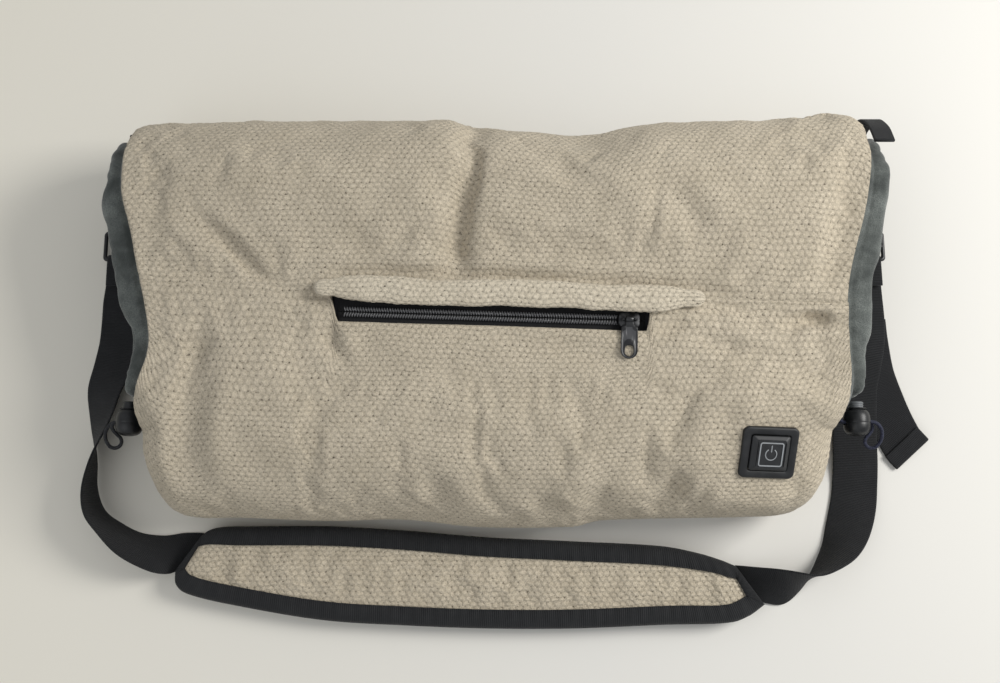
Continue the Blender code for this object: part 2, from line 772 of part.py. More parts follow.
def make_shell():
    """The two fleece panels. The main one wraps over the top and down the back."""
    columns = panel_columns()

    def lower(x_share, row):
        start = seam_y(x_share) - mouth_drop(x_share)
        if row <= 1:
            u = front_u(x_share, start + (TURN_TOP_Y - start) * row)
        elif row <= 2:
            u = front_u(x_share, TURN_TOP_Y + (TURN_LOW_Y - TURN_TOP_Y) * (row - 1))
        else:
            turned = front_u(x_share, TURN_LOW_Y)
            u = turned + (2 - SEAM_GAP / LOW_FRONT_ROLL - turned) * (row - 2)
        return section_point(False, u, x_share, 0.0)

    def upper(x_share, row):
        start = 2 + SEAM_GAP / LOW_BACK_ROLL
        if row <= 1:
            u = start + (back_u(x_share, TURN_LOW_Y) - start) * row
        elif row <= 2:
            u = back_u(x_share, TURN_LOW_Y + (TURN_TOP_Y - TURN_LOW_Y) * (row - 1))
        elif row <= 3:
            turned = back_u(x_share, TURN_TOP_Y)
            u = turned + (4 - turned) * (row - 2)
        elif row <= 5:
            u = row + 1
        else:
            u = 6 + front_u(x_share, seam_y(x_share)) * (row - 5)
        return section_point(False, u, x_share, 0.0)

    rows = [*spaced(0, 1, ROLL_ROWS + 1), *spaced(1, 2, TURN_ROWS)[1:]]
    rows += spaced(2, 3, ROLL_ROWS + 1)[1:]
    panel = sheet("lower_front_panel", "fleece", columns, rows[::-1], FLEECE, lower)
    combine(panel, box(
        "panel_hole", None, (CASE_LENGTH + 2 * SLIP_GAP, CASE_DEPTH + 2 * SLIP_GAP, 4 * FLEECE),
        (0, 0, 0), parent=bpy.data.objects["button_frame"], cutter=True,
    ))
    rows = [
        *spaced(0, 1, ROLL_ROWS), *spaced(1, 2, TURN_ROWS)[1:], *spaced(2, 3, ROLL_ROWS)[1:],
        *spaced(3, 5, 2 * ROLL_ROWS)[1:], *spaced(5, 6, FRONT_ROWS)[1:],
    ]
    sheet("main_panel", "fleece", COLUMN_SHARES, rows[::-1], FLEECE, upper)


def layer_depths():
    """The depth of each inner layer's outer and inner faces under the shell's surface."""
    wadding = FLEECE + LAYER_GAP
    film = wadding + WADDING + PAD_GAP
    lining = film + PAD_THICKNESS + PAD_GAP
    return wadding, film, lining


def sleeve(name, finish, outer, inner, setback):
    """A padded ring. Outer and inner are (whether it follows the tunnel, depth, columns)."""
    stations = []
    for follows_tunnel, depth, columns in (outer, (*inner[:2], inner[2][::-1])):
        for x_share in (columns[0] / abs(columns[0]), *columns, columns[-1] / abs(columns[-1])):
            outward = -setback if abs(x_share) == 1 else 0.0
            stations.append((follows_tunnel, x_share, depth, outward))

    def place(around, across):
        follows_tunnel, x_share, depth, outward = stations[across]
        return section_point(follows_tunnel, 6 * around / RING_STEPS, x_share, depth, outward)

    return ring(name, finish, RING_STEPS, len(stations), place)


def make_inner_layers():
    """Wadding, heating pads and lining, in the order in which they lie."""
    wadding, film, lining = layer_depths()
    inner = [share for share in COLUMN_SHARES if abs(share) < 1 - 1.2 * WADDING_SETBACK / HALF_WIDTH]
    body = sleeve(
        "wadding", "wadding", (False, wadding + FOLD_ROOM, inner),
        (True, wadding + WADDING, inner[::4]), WADDING_SETBACK,
    )
    combine(body, box(
        "pocket_room", None,
        (BAG_LENGTH + 2 * LAYER_GAP, BAG_DROP + BAG_RISE + 2 * LAYER_GAP, bag_height() * 2),
        (0, (BAG_RISE - BAG_DROP) / 2, -bag_floor() - LAYER_GAP + bag_height()),
        parent=bpy.data.objects["zip_frame"], cutter=True,
    ))
    combine(body, box(
        "controller_room", None,
        (CASE_LENGTH + 2 * LAYER_GAP, CASE_DEPTH + 2 * LAYER_GAP, 2 * CASE_HEIGHT),
        (0, 0, -CASE_HEIGHT - SLIP_GAP - LAYER_GAP + CASE_HEIGHT),
        parent=bpy.data.objects["button_frame"], cutter=True,
    ))
    sleeve(
        "tunnel_lining", "plush", (True, lining, inner[::4]), (True, lining + LINING, inner[::4]),
        LINING_SETBACK,
    )
    heating_pad("front_heating_pad", film, (0.86, 0.22))
    heating_pad("back_heating_pad", film, (3.90, 3.30))


def heating_pad(name, depth, u_range):
    def place(column, row):
        return section_point(True, row, column, depth)

    columns = spaced(-0.62, 0.62, 8)
    sheet(name, "heating_film", columns, spaced(*u_range, 4), PAD_THICKNESS, place)


def cuff_section():
    """The cuff wall's middle line: (share of the bulge, fixed run out, depth) points."""
    hem = HEM_DEPTH
    return (
        (0.0, -CUFF_FLANGE, CUFF_START_DEPTH),
        (0.0, 0.0, CUFF_START_DEPTH),
        (0.45, 0.0, CUFF_START_DEPTH + CUFF_WALL),
        (0.90, 0.0, (CUFF_START_DEPTH + CUFF_FULL_DEPTH) / 2),
        (1.00, 0.0, CUFF_FULL_DEPTH),
        (0.85, 0.0, hem - HEM_ROLL / 2),
        (0.35, HEM_OUT, hem + HEM_ROLL),
        (0.0, HEM_OUT - HEM_ROLL, hem + HEM_ROLL),
        (0.0, HEM_OUT - 2 * HEM_ROLL / 2, hem - HEM_ROLL / 2),
    )


def cuff_wall():
    """The outline round the cuff's wall, half its thickness to each side of the middle line."""
    line = [Vector((share * BULGE + run, depth)) for share, run, depth in cuff_section()]
    sides = ([], [])
    for index, point in enumerate(line):
        before = line[max(0, index - 1)]
        after = line[min(len(line) - 1, index + 1)]
        across = (after - before).orthogonal().normalized() * CUFF_WALL / 2
        sides[0].append(point + across)
        sides[1].append(point - across)
    return sides[0] + sides[1][::-1]


def make_cuff(side, name):
    """A plush cuff that bulges out of one end and rolls its hem round a cord."""
    outline = cuff_wall()
    steps = RING_STEPS
    bulges = RIGHT_BULGE_SHARES if side > 0 else LEFT_BULGE_SHARES

    def place(around, across):
        u = 6 * around / steps
        out, depth = outline[across]
        edge = section_point(True, u, side, depth)
        lively = through(bulges, y_share(edge.y))
        reach = out * lively if out > HEM_ROLL else out
        return section_point(True, u, side, depth, reach)

    ring(name + "_cuff", "plush", steps, len(outline), place)


def make_drawcord(side, name):
    """The cord that lies in the cuff's hem, open where its ends leave for the lock."""
    depth = HEM_DEPTH + SLIP_GAP
    out = HEM_OUT + CORD_DIAMETER / 2
    points = []
    start = 2.10
    steps = 44
    for step in range(steps + 1):
        u = start + (6 - 2 * (start - 2)) * step / steps
        points.append(section_point(True, u % 6, side, depth, out))
    tube(name + "_drawcord", "webbing", points, CORD_DIAMETER, resolution=1)


def zip_matrix():
    """The zip's frame: on the front's flat, along the zip."""
    lean = Matrix.Rotation(math.atan(front_slope()), 4, "X")
    tilt = Matrix.Rotation(math.atan(ZIP_TILT_SHARE), 4, "Z")
    place = Matrix.Translation((ZIP_X, ZIP_Y, front_z(ZIP_Y)))
    return place @ lean @ tilt


def make_zip(frame):
    """Tapes and coils. The slider stands at the right end, so the zip is closed."""
    tape_top = -FLEECE - SLIP_GAP
    for side, name in ((1, "upper"), (-1, "lower")):
        box(
            f"zip_{name}_tape", "zip_tape",
            (ZIP_LENGTH + 2 * ZIP_END_ROOM, TAPE_WIDTH, TAPE_THICKNESS),
            (0, side * (TAPE_WIDTH + SLIP_GAP) / 2, tape_top - TAPE_THICKNESS / 2),
            parent=frame,
        )
        box(
            f"zip_{name}_coil", "zip_tape",
            (slider_x() - SLIDER_LENGTH / 2 - SLIP_GAP + ZIP_LENGTH / 2, COIL_WIDTH, COIL_HEIGHT),
            ((slider_x() - SLIDER_LENGTH / 2 - SLIP_GAP - ZIP_LENGTH / 2) / 2,
             side * (COIL_WIDTH + SLIP_GAP) / 2, tape_top + SLIP_GAP + COIL_HEIGHT / 2),
            parent=frame, bevel=COIL_HEIGHT / 4,
        )
    return tape_top


def slider_x():
    """Where the slider stands along the zip when the zip is closed."""
    return ZIP_LENGTH / 2 - SLIDER_LENGTH / 2


def make_slider(frame, tape_top):
    """The slider over its coil, its bridge, and the pull that hangs from the bridge."""
    coil_top = tape_top + SLIP_GAP + COIL_HEIGHT
    high = coil_top + SLIP_GAP + SLIDER_PLATE
    low = tape_top + SLIP_GAP
    cart = empty("slider_frame", Matrix.Translation((slider_x(), 0, 0)), frame)
    body = box(
        "zip_slider", "zip_metal", (SLIDER_LENGTH, SLIDER_WIDTH, high - low),
        (0, 0, (high + low) / 2), parent=cart,
    )
    combine(body, box(
        "slider_bridge", None, (BRIDGE_LENGTH, BRIDGE_WIDTH, BRIDGE_HEIGHT + SLIDER_PLATE),
        (0, 0, high + (BRIDGE_HEIGHT - SLIDER_PLATE) / 2), parent=cart, cutter=True,
    ), "UNION")
    combine(body, box(
        "coil_channel", None,
        (2 * SLIDER_LENGTH, 2 * COIL_WIDTH + 3 * SLIP_GAP, 2 * (COIL_HEIGHT + SLIP_GAP)),
        (0, 0, low), parent=cart, cutter=True,
    ))
    eye = BRIDGE_HEIGHT - BRIDGE_WALL
    combine(body, box(
        "bridge_eye", None, (BRIDGE_LENGTH - 2 * BRIDGE_WALL, 2 * BRIDGE_WIDTH, eye),
        (0, 0, high + eye / 2), parent=cart, cutter=True,
    ))
    height = high + BRIDGE_HEIGHT - BRIDGE_WALL / 2
    make_pull(empty("pull_frame", Matrix.Translation((0, 0, height)), cart))


def make_pull(hinge):
    """The pull tab: an eye round the bridge's rod, a bar, and a window near its tip."""
    half = PULL_WIDTH / 2
    neck = PULL_EYE_LENGTH / 2
    start = (PULL_EYE_BORE + PULL_EYE_OUTER) / 4
    outline = [(neck, -start), (neck, -2 * start)]
    outline += [(half * x, -PULL_LENGTH * y) for x, y in PULL_TIP_SHARES]
    outline += [(-half * x, -PULL_LENGTH * y) for x, y in PULL_TIP_SHARES[::-1]]
    outline += [(-neck, -2 * start), (-neck, -start)]
    window = [(half * x, -PULL_LENGTH * y) for x, y in PULL_WINDOW_SHARES]
    lift = PULL_THICKNESS / 2
    pull = meshed(plate("zip_pull", "zip_metal", outline, (window,), -lift, lift, parent=hinge))
    combine(pull, cylinder(
        "pull_eye", None, PULL_EYE_OUTER / 2, PULL_EYE_LENGTH, (0, 0, 0), "X", hinge, True, 16,
    ), "UNION")
    combine(pull, cylinder(
        "pull_bore", None, PULL_EYE_BORE / 2, 2 * PULL_EYE_LENGTH, (0, 0, 0), "X", hinge, True, 12,
    ))


def make_welt(frame):
    """The rolled welt over the zip's upper edge, thinner towards its ends."""
    points = []
    radii = []
    steps = 16
    for step in range(steps + 1):
        share = 2 * step / steps - 1
        points.append((WELT_SHIFT - ZIP_X + share * WELT_LENGTH / 2, 0, 0))
        radii.append(max(0.35, (1 - abs(share) ** 6) ** 0.5))
    roll = tube("pocket_welt", "fleece", points, WELT_HEIGHT, parent=frame, radii=radii)
    roll.scale = (1, 1, WELT_LIFT / WELT_HEIGHT)
    roll.location = (0, WELT_LOW + WELT_HEIGHT / 2, WELT_LIFT / 2 + SLIP_GAP + WELT_REST)


def bag_height():
    return BAG_ROOM + 2 * BAG_WALL


def bag_floor():
    return BAG_DEPTH + bag_height()


def make_bag(frame):
    """The pocket's bag: a flat envelope with a slot along the zip, and the lead's grommet."""
    middle_y = (BAG_RISE - BAG_DROP) / 2
    middle_z = -BAG_DEPTH - bag_height() / 2
    size = (BAG_LENGTH, BAG_DROP + BAG_RISE, bag_height())
    bag = box("pocket_bag", "lining_cloth", size, (0, middle_y, middle_z), parent=frame)
    inner = [length - 2 * BAG_WALL for length in size]
    combine(bag, box("bag_room", None, inner, (0, middle_y, middle_z), parent=frame, cutter=True))
    combine(bag, box(
        "bag_mouth", None, (ZIP_LENGTH + ZIP_END_ROOM, 2 * TAPE_WIDTH, 4 * BAG_WALL),
        (0, 0, -BAG_DEPTH), parent=frame, cutter=True,
    ))
    hole_x = BAG_LENGTH / 2 - GROMMET_OUTER
    hole_y = -BAG_DROP + GROMMET_OUTER
    back = -bag_floor()
    combine(bag, cylinder(
        "grommet_hole", None, GROMMET_BORE / 2 + BAG_WALL + SLIP_GAP, 4 * BAG_WALL,
        (hole_x, hole_y, back), parent=frame, cutter=True,
    ))
    grommet = cylinder(
        "lead_grommet", "silicone", GROMMET_OUTER / 2, BAG_WALL,
        (hole_x, hole_y, back + 1.5 * BAG_WALL + SLIP_GAP), parent=frame,
    )
    combine(grommet, cylinder(
        "grommet_neck", None, GROMMET_BORE / 2 + BAG_WALL, 2 * BAG_WALL,
        (hole_x, hole_y, back + BAG_WALL), parent=frame, cutter=True,
    ), "UNION")
    combine(grommet, cylinder(
        "grommet_bore", None, GROMMET_BORE / 2, 9 * BAG_WALL, (hole_x, hole_y, back),
        parent=frame, cutter=True,
    ))


def make_button(frame):
    """The bezel, key, lit symbol, controller case, board, switch and light."""
    room = KEY_LENGTH + 2 * SLIP_GAP
    room_y = KEY_DEPTH + 2 * SLIP_GAP
    bezel = meshed(plate(
        "button_bezel", "silicone", rounded(BEZEL_LENGTH, BEZEL_DEPTH, BEZEL_CORNER),
        (rounded(room, room_y, SLIP_GAP),), SLIP_GAP, BEZEL_HEIGHT, parent=frame,
    ))
    rounding = bezel.modifiers.new("Soft edges", "BEVEL")
    rounding.width = BEZEL_HEIGHT / 5
    rounding.segments = 2
    rounding.limit_method = "ANGLE"
    cart = empty("key_frame", Matrix.Identity(4), frame)
    make_key(cart)
    make_controller(frame)


def make_key(cart):
    """The key, its top drawn in, with a pocket under it for the light plate."""
    bpy.ops.mesh.primitive_cube_add(size=1)
    key = bpy.context.object
    for vertex in key.data.vertices:
        inset = KEY_TOP_INSET if vertex.co.z > 0 else 0
        vertex.co.x *= KEY_LENGTH - 2 * inset
        vertex.co.y *= KEY_DEPTH - 2 * inset
        vertex.co.z = KEY_RISE if vertex.co.z > 0 else BEZEL_HEIGHT
    claim(key, "button_key", "silicone", cart)
    skirt = box(
        "key_skirt", None, (KEY_LENGTH, KEY_DEPTH, BEZEL_HEIGHT + KEY_BELOW + SLIP_GAP / 2),
        (0, 0, (BEZEL_HEIGHT - KEY_BELOW + SLIP_GAP / 2) / 2), parent=cart, cutter=True,
    )
    combine(key, skirt, "UNION")
    side = ICON_SIDE + 4 * ICON_LINE
    combine(key, box(
        "symbol_seat", None,
        (side + 2 * SLIP_GAP, side + 2 * SLIP_GAP, 2 * (LIGHT_PLATE + SLIP_GAP)),
        (0, 0, KEY_RISE), parent=cart, cutter=True,
    ))
    symbol = box(
        "power_symbol", "icon", (side, side, LIGHT_PLATE), (0, 0, KEY_RISE - LIGHT_PLATE / 2),
        parent=cart,
    )
    for number, (outline, holes) in enumerate(icon_outlines()):
        combine(symbol, meshed(plate(
            f"symbol_line_{number}", None, outline, holes, KEY_RISE - LIGHT_PLATE / 2,
            KEY_RISE + ICON_LINE / 2, parent=cart, cutter=True,
        )), "UNION")
    combine(key, cylinder(
        "key_stem", None, SWITCH_SIDE / 4, KEY_STEM + KEY_BELOW, (0, 0, -(KEY_STEM + KEY_BELOW) / 2),
        parent=cart, cutter=True,
    ), "UNION")


def make_controller(frame):
    """The open case behind the key, with the board, the switch and the light in it."""
    top = -SLIP_GAP - KEY_BELOW - KEY_STEM - KEY_TRAVEL
    case = box(
        "controller_case", "black_plastic", (CASE_LENGTH, CASE_DEPTH, CASE_HEIGHT),
        (0, 0, -CASE_HEIGHT / 2), parent=frame,
    )
    combine(case, box(
        "case_room", None,
        (CASE_LENGTH - 2 * CASE_WALL, CASE_DEPTH - 2 * CASE_WALL, 2 * (CASE_HEIGHT - CASE_WALL)),
        (0, 0, 0), parent=frame, cutter=True,
    ))
    board_low = -CASE_HEIGHT + CASE_WALL + SLIP_GAP
    board_size = [length - 2 * CASE_WALL - 2 * SLIP_GAP for length in (CASE_LENGTH, CASE_DEPTH)]
    board_high = board_low + BOARD_THICKNESS
    box(
        "circuit_board", "circuit", (*board_size, BOARD_THICKNESS),
        (0, 0, (board_low + board_high) / 2), parent=frame,
    )
    box(
        "press_switch", "steel", (SWITCH_SIDE, SWITCH_SIDE, top - board_high - SLIP_GAP),
        (0, 0, (top + board_high + SLIP_GAP) / 2), parent=frame, bevel=SLIP_GAP,
    )
    box(
        "indicator_light", "icon", (SWITCH_SIDE / 2, SWITCH_SIDE / 4, LIGHT_HEIGHT),
        (SWITCH_SIDE, 0, board_high + SLIP_GAP + LIGHT_HEIGHT / 2), parent=frame,
    )


def icon_outlines():
    """The square ring, the power symbol's arc and its bar."""
    half = ICON_LINE / 2
    square = rounded(ICON_SIDE + 2 * half, ICON_SIDE + 2 * half, ICON_LINE + half)
    hole = rounded(ICON_SIDE - 2 * half, ICON_SIDE - 2 * half, ICON_LINE)
    arc = []
    steps = 14
    for radius, order in ((ICON_RADIUS + half, 1), (ICON_RADIUS - half, -1)):
        for step in range(steps + 1)[::order]:
            angle = math.pi * (0.5 + ICON_GAP_SHARE + (2 - 2 * ICON_GAP_SHARE) * step / steps)
            arc.append((radius * math.cos(angle), radius * math.sin(angle)))
    low = ICON_RADIUS - ICON_BAR / 2
    high = low + ICON_BAR
    bar = [(-half, low), (half, low), (half, high), (-half, high)]
    return (square, (hole,)), (arc, ()), (bar, ())


def lock_shift(side):
    return RIGHT_LOCK_SHIFT if side > 0 else 0.0


def make_lock(side, name):
    """A cord lock: barrel, plunger and spring. The cord's two strands cross it along X."""
    centre = Matrix.Translation((side * LOCK_X + lock_shift(side), LOCK_Y, LOCK_Z))
    frame = empty(name + "_lock_frame", centre)
    bpy.ops.mesh.primitive_uv_sphere_add(segments=16, ring_count=8, radius=1)
    barrel = bpy.context.object
    barrel.data.transform(Matrix.Rotation(-math.pi / 2, 4, "X"))
    for vertex in barrel.data.vertices:
        flat = math.hypot(vertex.co.x, vertex.co.z)
        full = (1 - min(abs(vertex.co.y), 1) ** BARREL_POWER) ** (1 / BARREL_POWER)
        fuller = BARREL_RADIUS * full / max(flat, SLIP_GAP)
        vertex.co = (vertex.co.x * fuller, vertex.co.y * BARREL_HALF_HEIGHT, vertex.co.z * fuller)
    claim(barrel, name + "_lock_barrel", "black_plastic", frame)
    floor = -BARREL_HALF_HEIGHT + BARREL_FLOOR
    combine(barrel, cylinder(
        name + "_bore", None, BORE_RADIUS, 2 * BARREL_HALF_HEIGHT,
        (0, floor + BARREL_HALF_HEIGHT, 0), "Y", frame, True,
    ))
    slot = (4 * BARREL_RADIUS, CORD_DIAMETER + 2 * CORD_GAP, 2 * CORD_DIAMETER + 3 * CORD_GAP)
    combine(barrel, box(name + "_cord_way", None, slot, (0, 0, 0), frame, cutter=True))
    cart = empty(name + "_plunger_frame", Matrix.Identity(4), frame)
    plunger = cylinder(
        name + "_lock_plunger", "black_plastic", PLUNGER_RADIUS, PLUNGER_TOP + PLUNGER_BOTTOM,
        (0, (PLUNGER_TOP - PLUNGER_BOTTOM) / 2, 0), "Y", cart,
    )
    combine(plunger, box(
        name + "_plunger_way", None, (slot[0], slot[1] + LOCK_TRAVEL, slot[2]),
        (0, LOCK_TRAVEL / 2, 0), cart, cutter=True,
    ))
    low = floor + SLIP_GAP + SPRING_WIRE / 2
    high = -PLUNGER_BOTTOM - SLIP_GAP - SPRING_WIRE / 2
    radius = PLUNGER_RADIUS - SPRING_WIRE
    points = []
    steps = int(SPRING_TURNS * SPRING_POINTS_PER_TURN)
    for step in range(steps + 1):
        angle = 2 * math.pi * step / SPRING_POINTS_PER_TURN
        rise = low + (high - low) * step / steps
        points.append((radius * math.cos(angle), rise, radius * math.sin(angle)))
    tube(name + "_lock_spring", "steel", points, SPRING_WIRE, parent=frame, resolution=1)


def make_cord_tail(side, name):
    """The drawcord's free loop: out through the lock, round, and back through it."""
    centre = Vector((side * LOCK_X + lock_shift(side), LOCK_Y, LOCK_Z))
    middle = [centre + Vector((side * x, y, z)) for x, y, z, _, _ in CORD_ROUTE]
    out = []
    back = []
    for index, (_, _, _, apart, turn) in enumerate(CORD_ROUTE):
        ahead = middle[min(index + 1, len(middle) - 1)] - middle[max(index - 1, 0)]
        across = Vector((-ahead.y, ahead.x, 0)).normalized() * math.sin(math.radians(turn))
        across.z = math.cos(math.radians(turn))
        out.append(middle[index] + across * apart)
        back.append(middle[index] - across * apart)
    radius = out[-1] - middle[-1]
    onward = (middle[-1] - middle[-2]).normalized() * radius.length
    bend = [
        middle[-1] + radius * math.cos(math.pi * step / LOOP_STEPS)
        + onward * math.sin(math.pi * step / LOOP_STEPS)
        for step in range(1, LOOP_STEPS)
    ]
    points = smoothed(out + bend + back[::-1], 2)
    tube(name + "_cord_tail", "webbing", points, CORD_DIAMETER, resolution=1)


def smoothed(points, parts):
    """Points along a smooth curve through these."""
    tables = [[(index, point[axis]) for index, point in enumerate(points)] for axis in range(3)]
    count = (len(points) - 1) * parts
    return [
        Vector([through(table, step / parts) for table in tables]) for step in range(count + 1)
    ]


def buckle(name, centre_x, bars):
    """A flat buckle: its outer frame and the bars across it, the lowest on the strap's axis."""
    low = BAR_Y - BAR_RADIUS
    frame = empty(name + "_frame", Matrix.Translation((centre_x, low + BUCKLE_LENGTH / 2, 0)))
    holes = []
    clear = (BUCKLE_LENGTH - 2 * bars * BAR_RADIUS) / (bars - 1)
    for window in range(bars - 1):
        middle = -BUCKLE_LENGTH / 2 + 2 * BAR_RADIUS + clear / 2 + window * (clear + 2 * BAR_RADIUS)
        hole = rounded(BUCKLE_WIDTH - 2 * BUCKLE_SIDE, clear, BAR_RADIUS)
        holes.append([(x, y + middle) for x, y in hole])
    body = meshed(plate(
        name, "black_plastic", rounded(BUCKLE_WIDTH, BUCKLE_LENGTH, BUCKLE_SIDE), holes,
        BAR_HEIGHT - BAR_RADIUS, BAR_HEIGHT + BAR_RADIUS, parent=frame,
    ))
    rounding = body.modifiers.new("Round bars", "BEVEL")
    rounding.width = BAR_RADIUS / 2
    rounding.segments = 2
    rounding.limit_method = "ANGLE"


def ribbon(name, stations, width, across=2):
    """Webbing through stations of a centre and a width direction."""
    columns = spaced(-0.5, 0.5, across)
    rows = list(range(len(stations)))

    def place(column, row):
        centre, sideways = stations[row]
        return centre + sideways * width * column

    return sheet(name, "webbing", columns, rows, WEBBING_THICKNESS, place, 0.0, even=True)


def drawn(route, side, to_pad=True):
    """The route in the part's own frame, its far end drawn to the pad's end."""
    share = STRAP_END_SHARES[0 if side < 0 else 1]
    last_out, last_rise = route[-1][:2]
    slack = PAD_X + side * (share * PAD_LENGTH - HALF_WIDTH - last_out)
    low = CENTRE_Y - HALF_DEPTH
    stretch = (BAR_Y - LOOP_LEAVE - low) / LEFT_ROUTE[0][1]
    placed = []
    for out, rise, turn, roll in route:
        taken = 1 - step_between(last_rise, BINDING_WIDTH, rise) if to_pad else 0.0
        x = side * (HALF_WIDTH + out) + slack * taken
        placed.append((x, low + rise * (stretch if rise > 0 else 1), turn, roll))
    return placed


def lying(route, width, lift, over=0.0):
    """Stations along a route whose lower edge stays on the floor, or on the tail lying there."""
    stations = []
    first, last = OVER_TAIL_RISES
    for x, y, turn, roll in route:
        turn = math.radians(turn)
        roll = math.radians(roll)
        level = Vector((math.cos(turn), math.sin(turn), 0))
        sideways = level * math.cos(roll) + Vector((0, 0, math.sin(roll)))
        height = lift + width / 2 * abs(math.sin(roll))
        rise = y - CENTRE_Y + HALF_DEPTH
        height += over * step_between(*first, rise) * (1 - step_between(*last, rise))
        stations.append((Vector((x, y, height)), sideways))
    return stations


def fine(route, parts):
    """The route with more stations between its own, on smooth curves."""
    tables = [[(index, entry[axis]) for index, entry in enumerate(route)] for axis in range(4)]
    count = (len(route) - 1) * parts
    return [
        tuple(through(table, step / parts) for table in tables) for step in range(count + 1)
    ]


def bar_loop(x, direction, run):
    """Stations round a buckle's bar, from the sewn end on top to the run underneath."""
    radius = BAR_RADIUS + LOOP_GAP + WEBBING_THICKNESS / 2
    sideways = Vector((1, 0, 0))
    stations = [(Vector((x, BAR_Y - direction * run, BAR_HEIGHT + radius)), sideways)]
    for step in range(7):
        angle = math.pi / 2 - math.pi * step / 6
        y = BAR_Y + direction * radius * math.cos(angle)
        stations.append((Vector((x, y, BAR_HEIGHT + radius * math.sin(angle))), sideways))
    return stations


def make_strap():
    """Buckles, both runs of webbing with the loops round their bars, and the loose end."""
    buckle("left_strap_ring", LEFT_BUCKLE_X, 2)
    buckle("right_strap_adjuster", RIGHT_BUCKLE_X, 3)
    lift = BAR_HEIGHT - BAR_RADIUS - LOOP_GAP - WEBBING_THICKNESS / 2
    route = fine(drawn(LEFT_ROUTE, -1), 2)
    loop = bar_loop(LEFT_BUCKLE_X, 1, LOOP_RUN)
    ribbon("left_webbing", loop + lying(route, WEBBING_WIDTH, lift), WEBBING_WIDTH)
    loop = bar_loop(RIGHT_BUCKLE_X, 1, LOOP_RUN)
    route = lying(fine(drawn(RIGHT_ROUTE, 1), 2), WEBBING_WIDTH, lift, OVER_TAIL)
    ribbon("right_webbing", loop + route, WEBBING_WIDTH)
    make_tail()


def make_tail():
    """The strap's loose end, which lies under the right webbing and ends in a folded hem."""
    stations = lying(fine(drawn(TAIL_ROUTE, 1, False), 2), TAIL_WIDTH, TAIL_LIFT)
    last, sideways = stations[-1]
    onward = (last - stations[-2][0]).normalized()
    upward = onward.cross(sideways).normalized()
    upward *= math.copysign(1, upward.z)
    radius = (WEBBING_THICKNESS + SLIP_GAP) / 2
    for step in range(1, 5):
        angle = math.pi * step / 4
        reach = onward * radius * math.sin(angle) + upward * radius * (1 - math.cos(angle))
        stations.append((last + reach, sideways))
    stations.append((last - onward * HEM_LENGTH + upward * 2 * radius, sideways))
    ribbon("strap_tail", stations, TAIL_WIDTH)


def tab_lift(side):
    return RIGHT_TAB_LIFT if side > 0 else LEFT_TAB_LIFT


def tab_width(side, row):
    """The tab's width at this row: folded narrow over the top, full width behind."""
    top = RIGHT_TAB_TOP if side > 0 else LEFT_TAB_TOP
    return TAB_WIDTH + (top - TAB_WIDTH) * step_between(4, 4.9, row)


def make_tab(side, name, buckle_x):
    """The webbing from the top corner, over the roll and down behind the cuff to its buckle."""
    depth = WEBBING_THICKNESS * 1.5
    rows = (5.5, 5.25, 5.0, 4.75, 4.5, 4.25, 4.0, 3.93)[0 if side > 0 else 1:]
    top_bar = BAR_Y + BUCKLE_LENGTH - 2 * BAR_RADIUS
    radius = BAR_RADIUS + LOOP_GAP + WEBBING_THICKNESS / 2

    def corner(column, row):
        bow = math.sin(math.pi * (min(row, 5.5) - 4) / 3) if row > 4 else 0.0
        reach = TAB_OUT + (column + 0.5) * tab_width(side, row)
        return section_point(True, row, side, depth - bow * tab_lift(side), reach)

    stations = []
    for row in rows:
        first = corner(-0.5, row)
        last = corner(0.5, row)
        stations.append(((first + last) / 2, (last - first) / TAB_WIDTH))
    outward = Vector((side, 0, 0))
    for step in range(7):
        angle = -math.pi / 2 - math.pi * step / 6
        rise = radius * math.sin(angle)
        place = Vector((buckle_x, top_bar + radius * math.cos(angle), BAR_HEIGHT + rise))
        stations.append((place, outward))
    stations.append((Vector((buckle_x, top_bar + LOOP_RUN, BAR_HEIGHT + radius)), outward))
    ribbon(name + "_strap_tab", stations, TAB_WIDTH)


def pad_edges(share):
    """The pad's upper and lower edge points at this share of its length."""
    values = [
        PAD_LENGTH * through([(entry[0], entry[1 + axis]) for entry in PAD_EDGE_SHARES], share)
        for axis in range(4)
    ]
    middle = Vector((PAD_X, PAD_Y))
    return middle + Vector(values[:2]), middle + Vector(values[2:])


def pad_point(share, across, inset=0.0):
    """A point of the pad's plan: along it from 0 to 1, across it from 0, the lower edge, to 1."""
    upper, lower = pad_edges(share)
    edge_run = (upper - lower).length
    across = (inset + across * (edge_run - 2 * inset)) / edge_run
    return lower + (upper - lower) * across


def crown(share, across):
    """0 at the pad's edges and 1 along its middle."""
    side = 1 - (2 * across - 1) ** 4
    end = step_between(0, PAD_CROWN_RUN_SHARE, min(share, 1 - share))
    return side * end


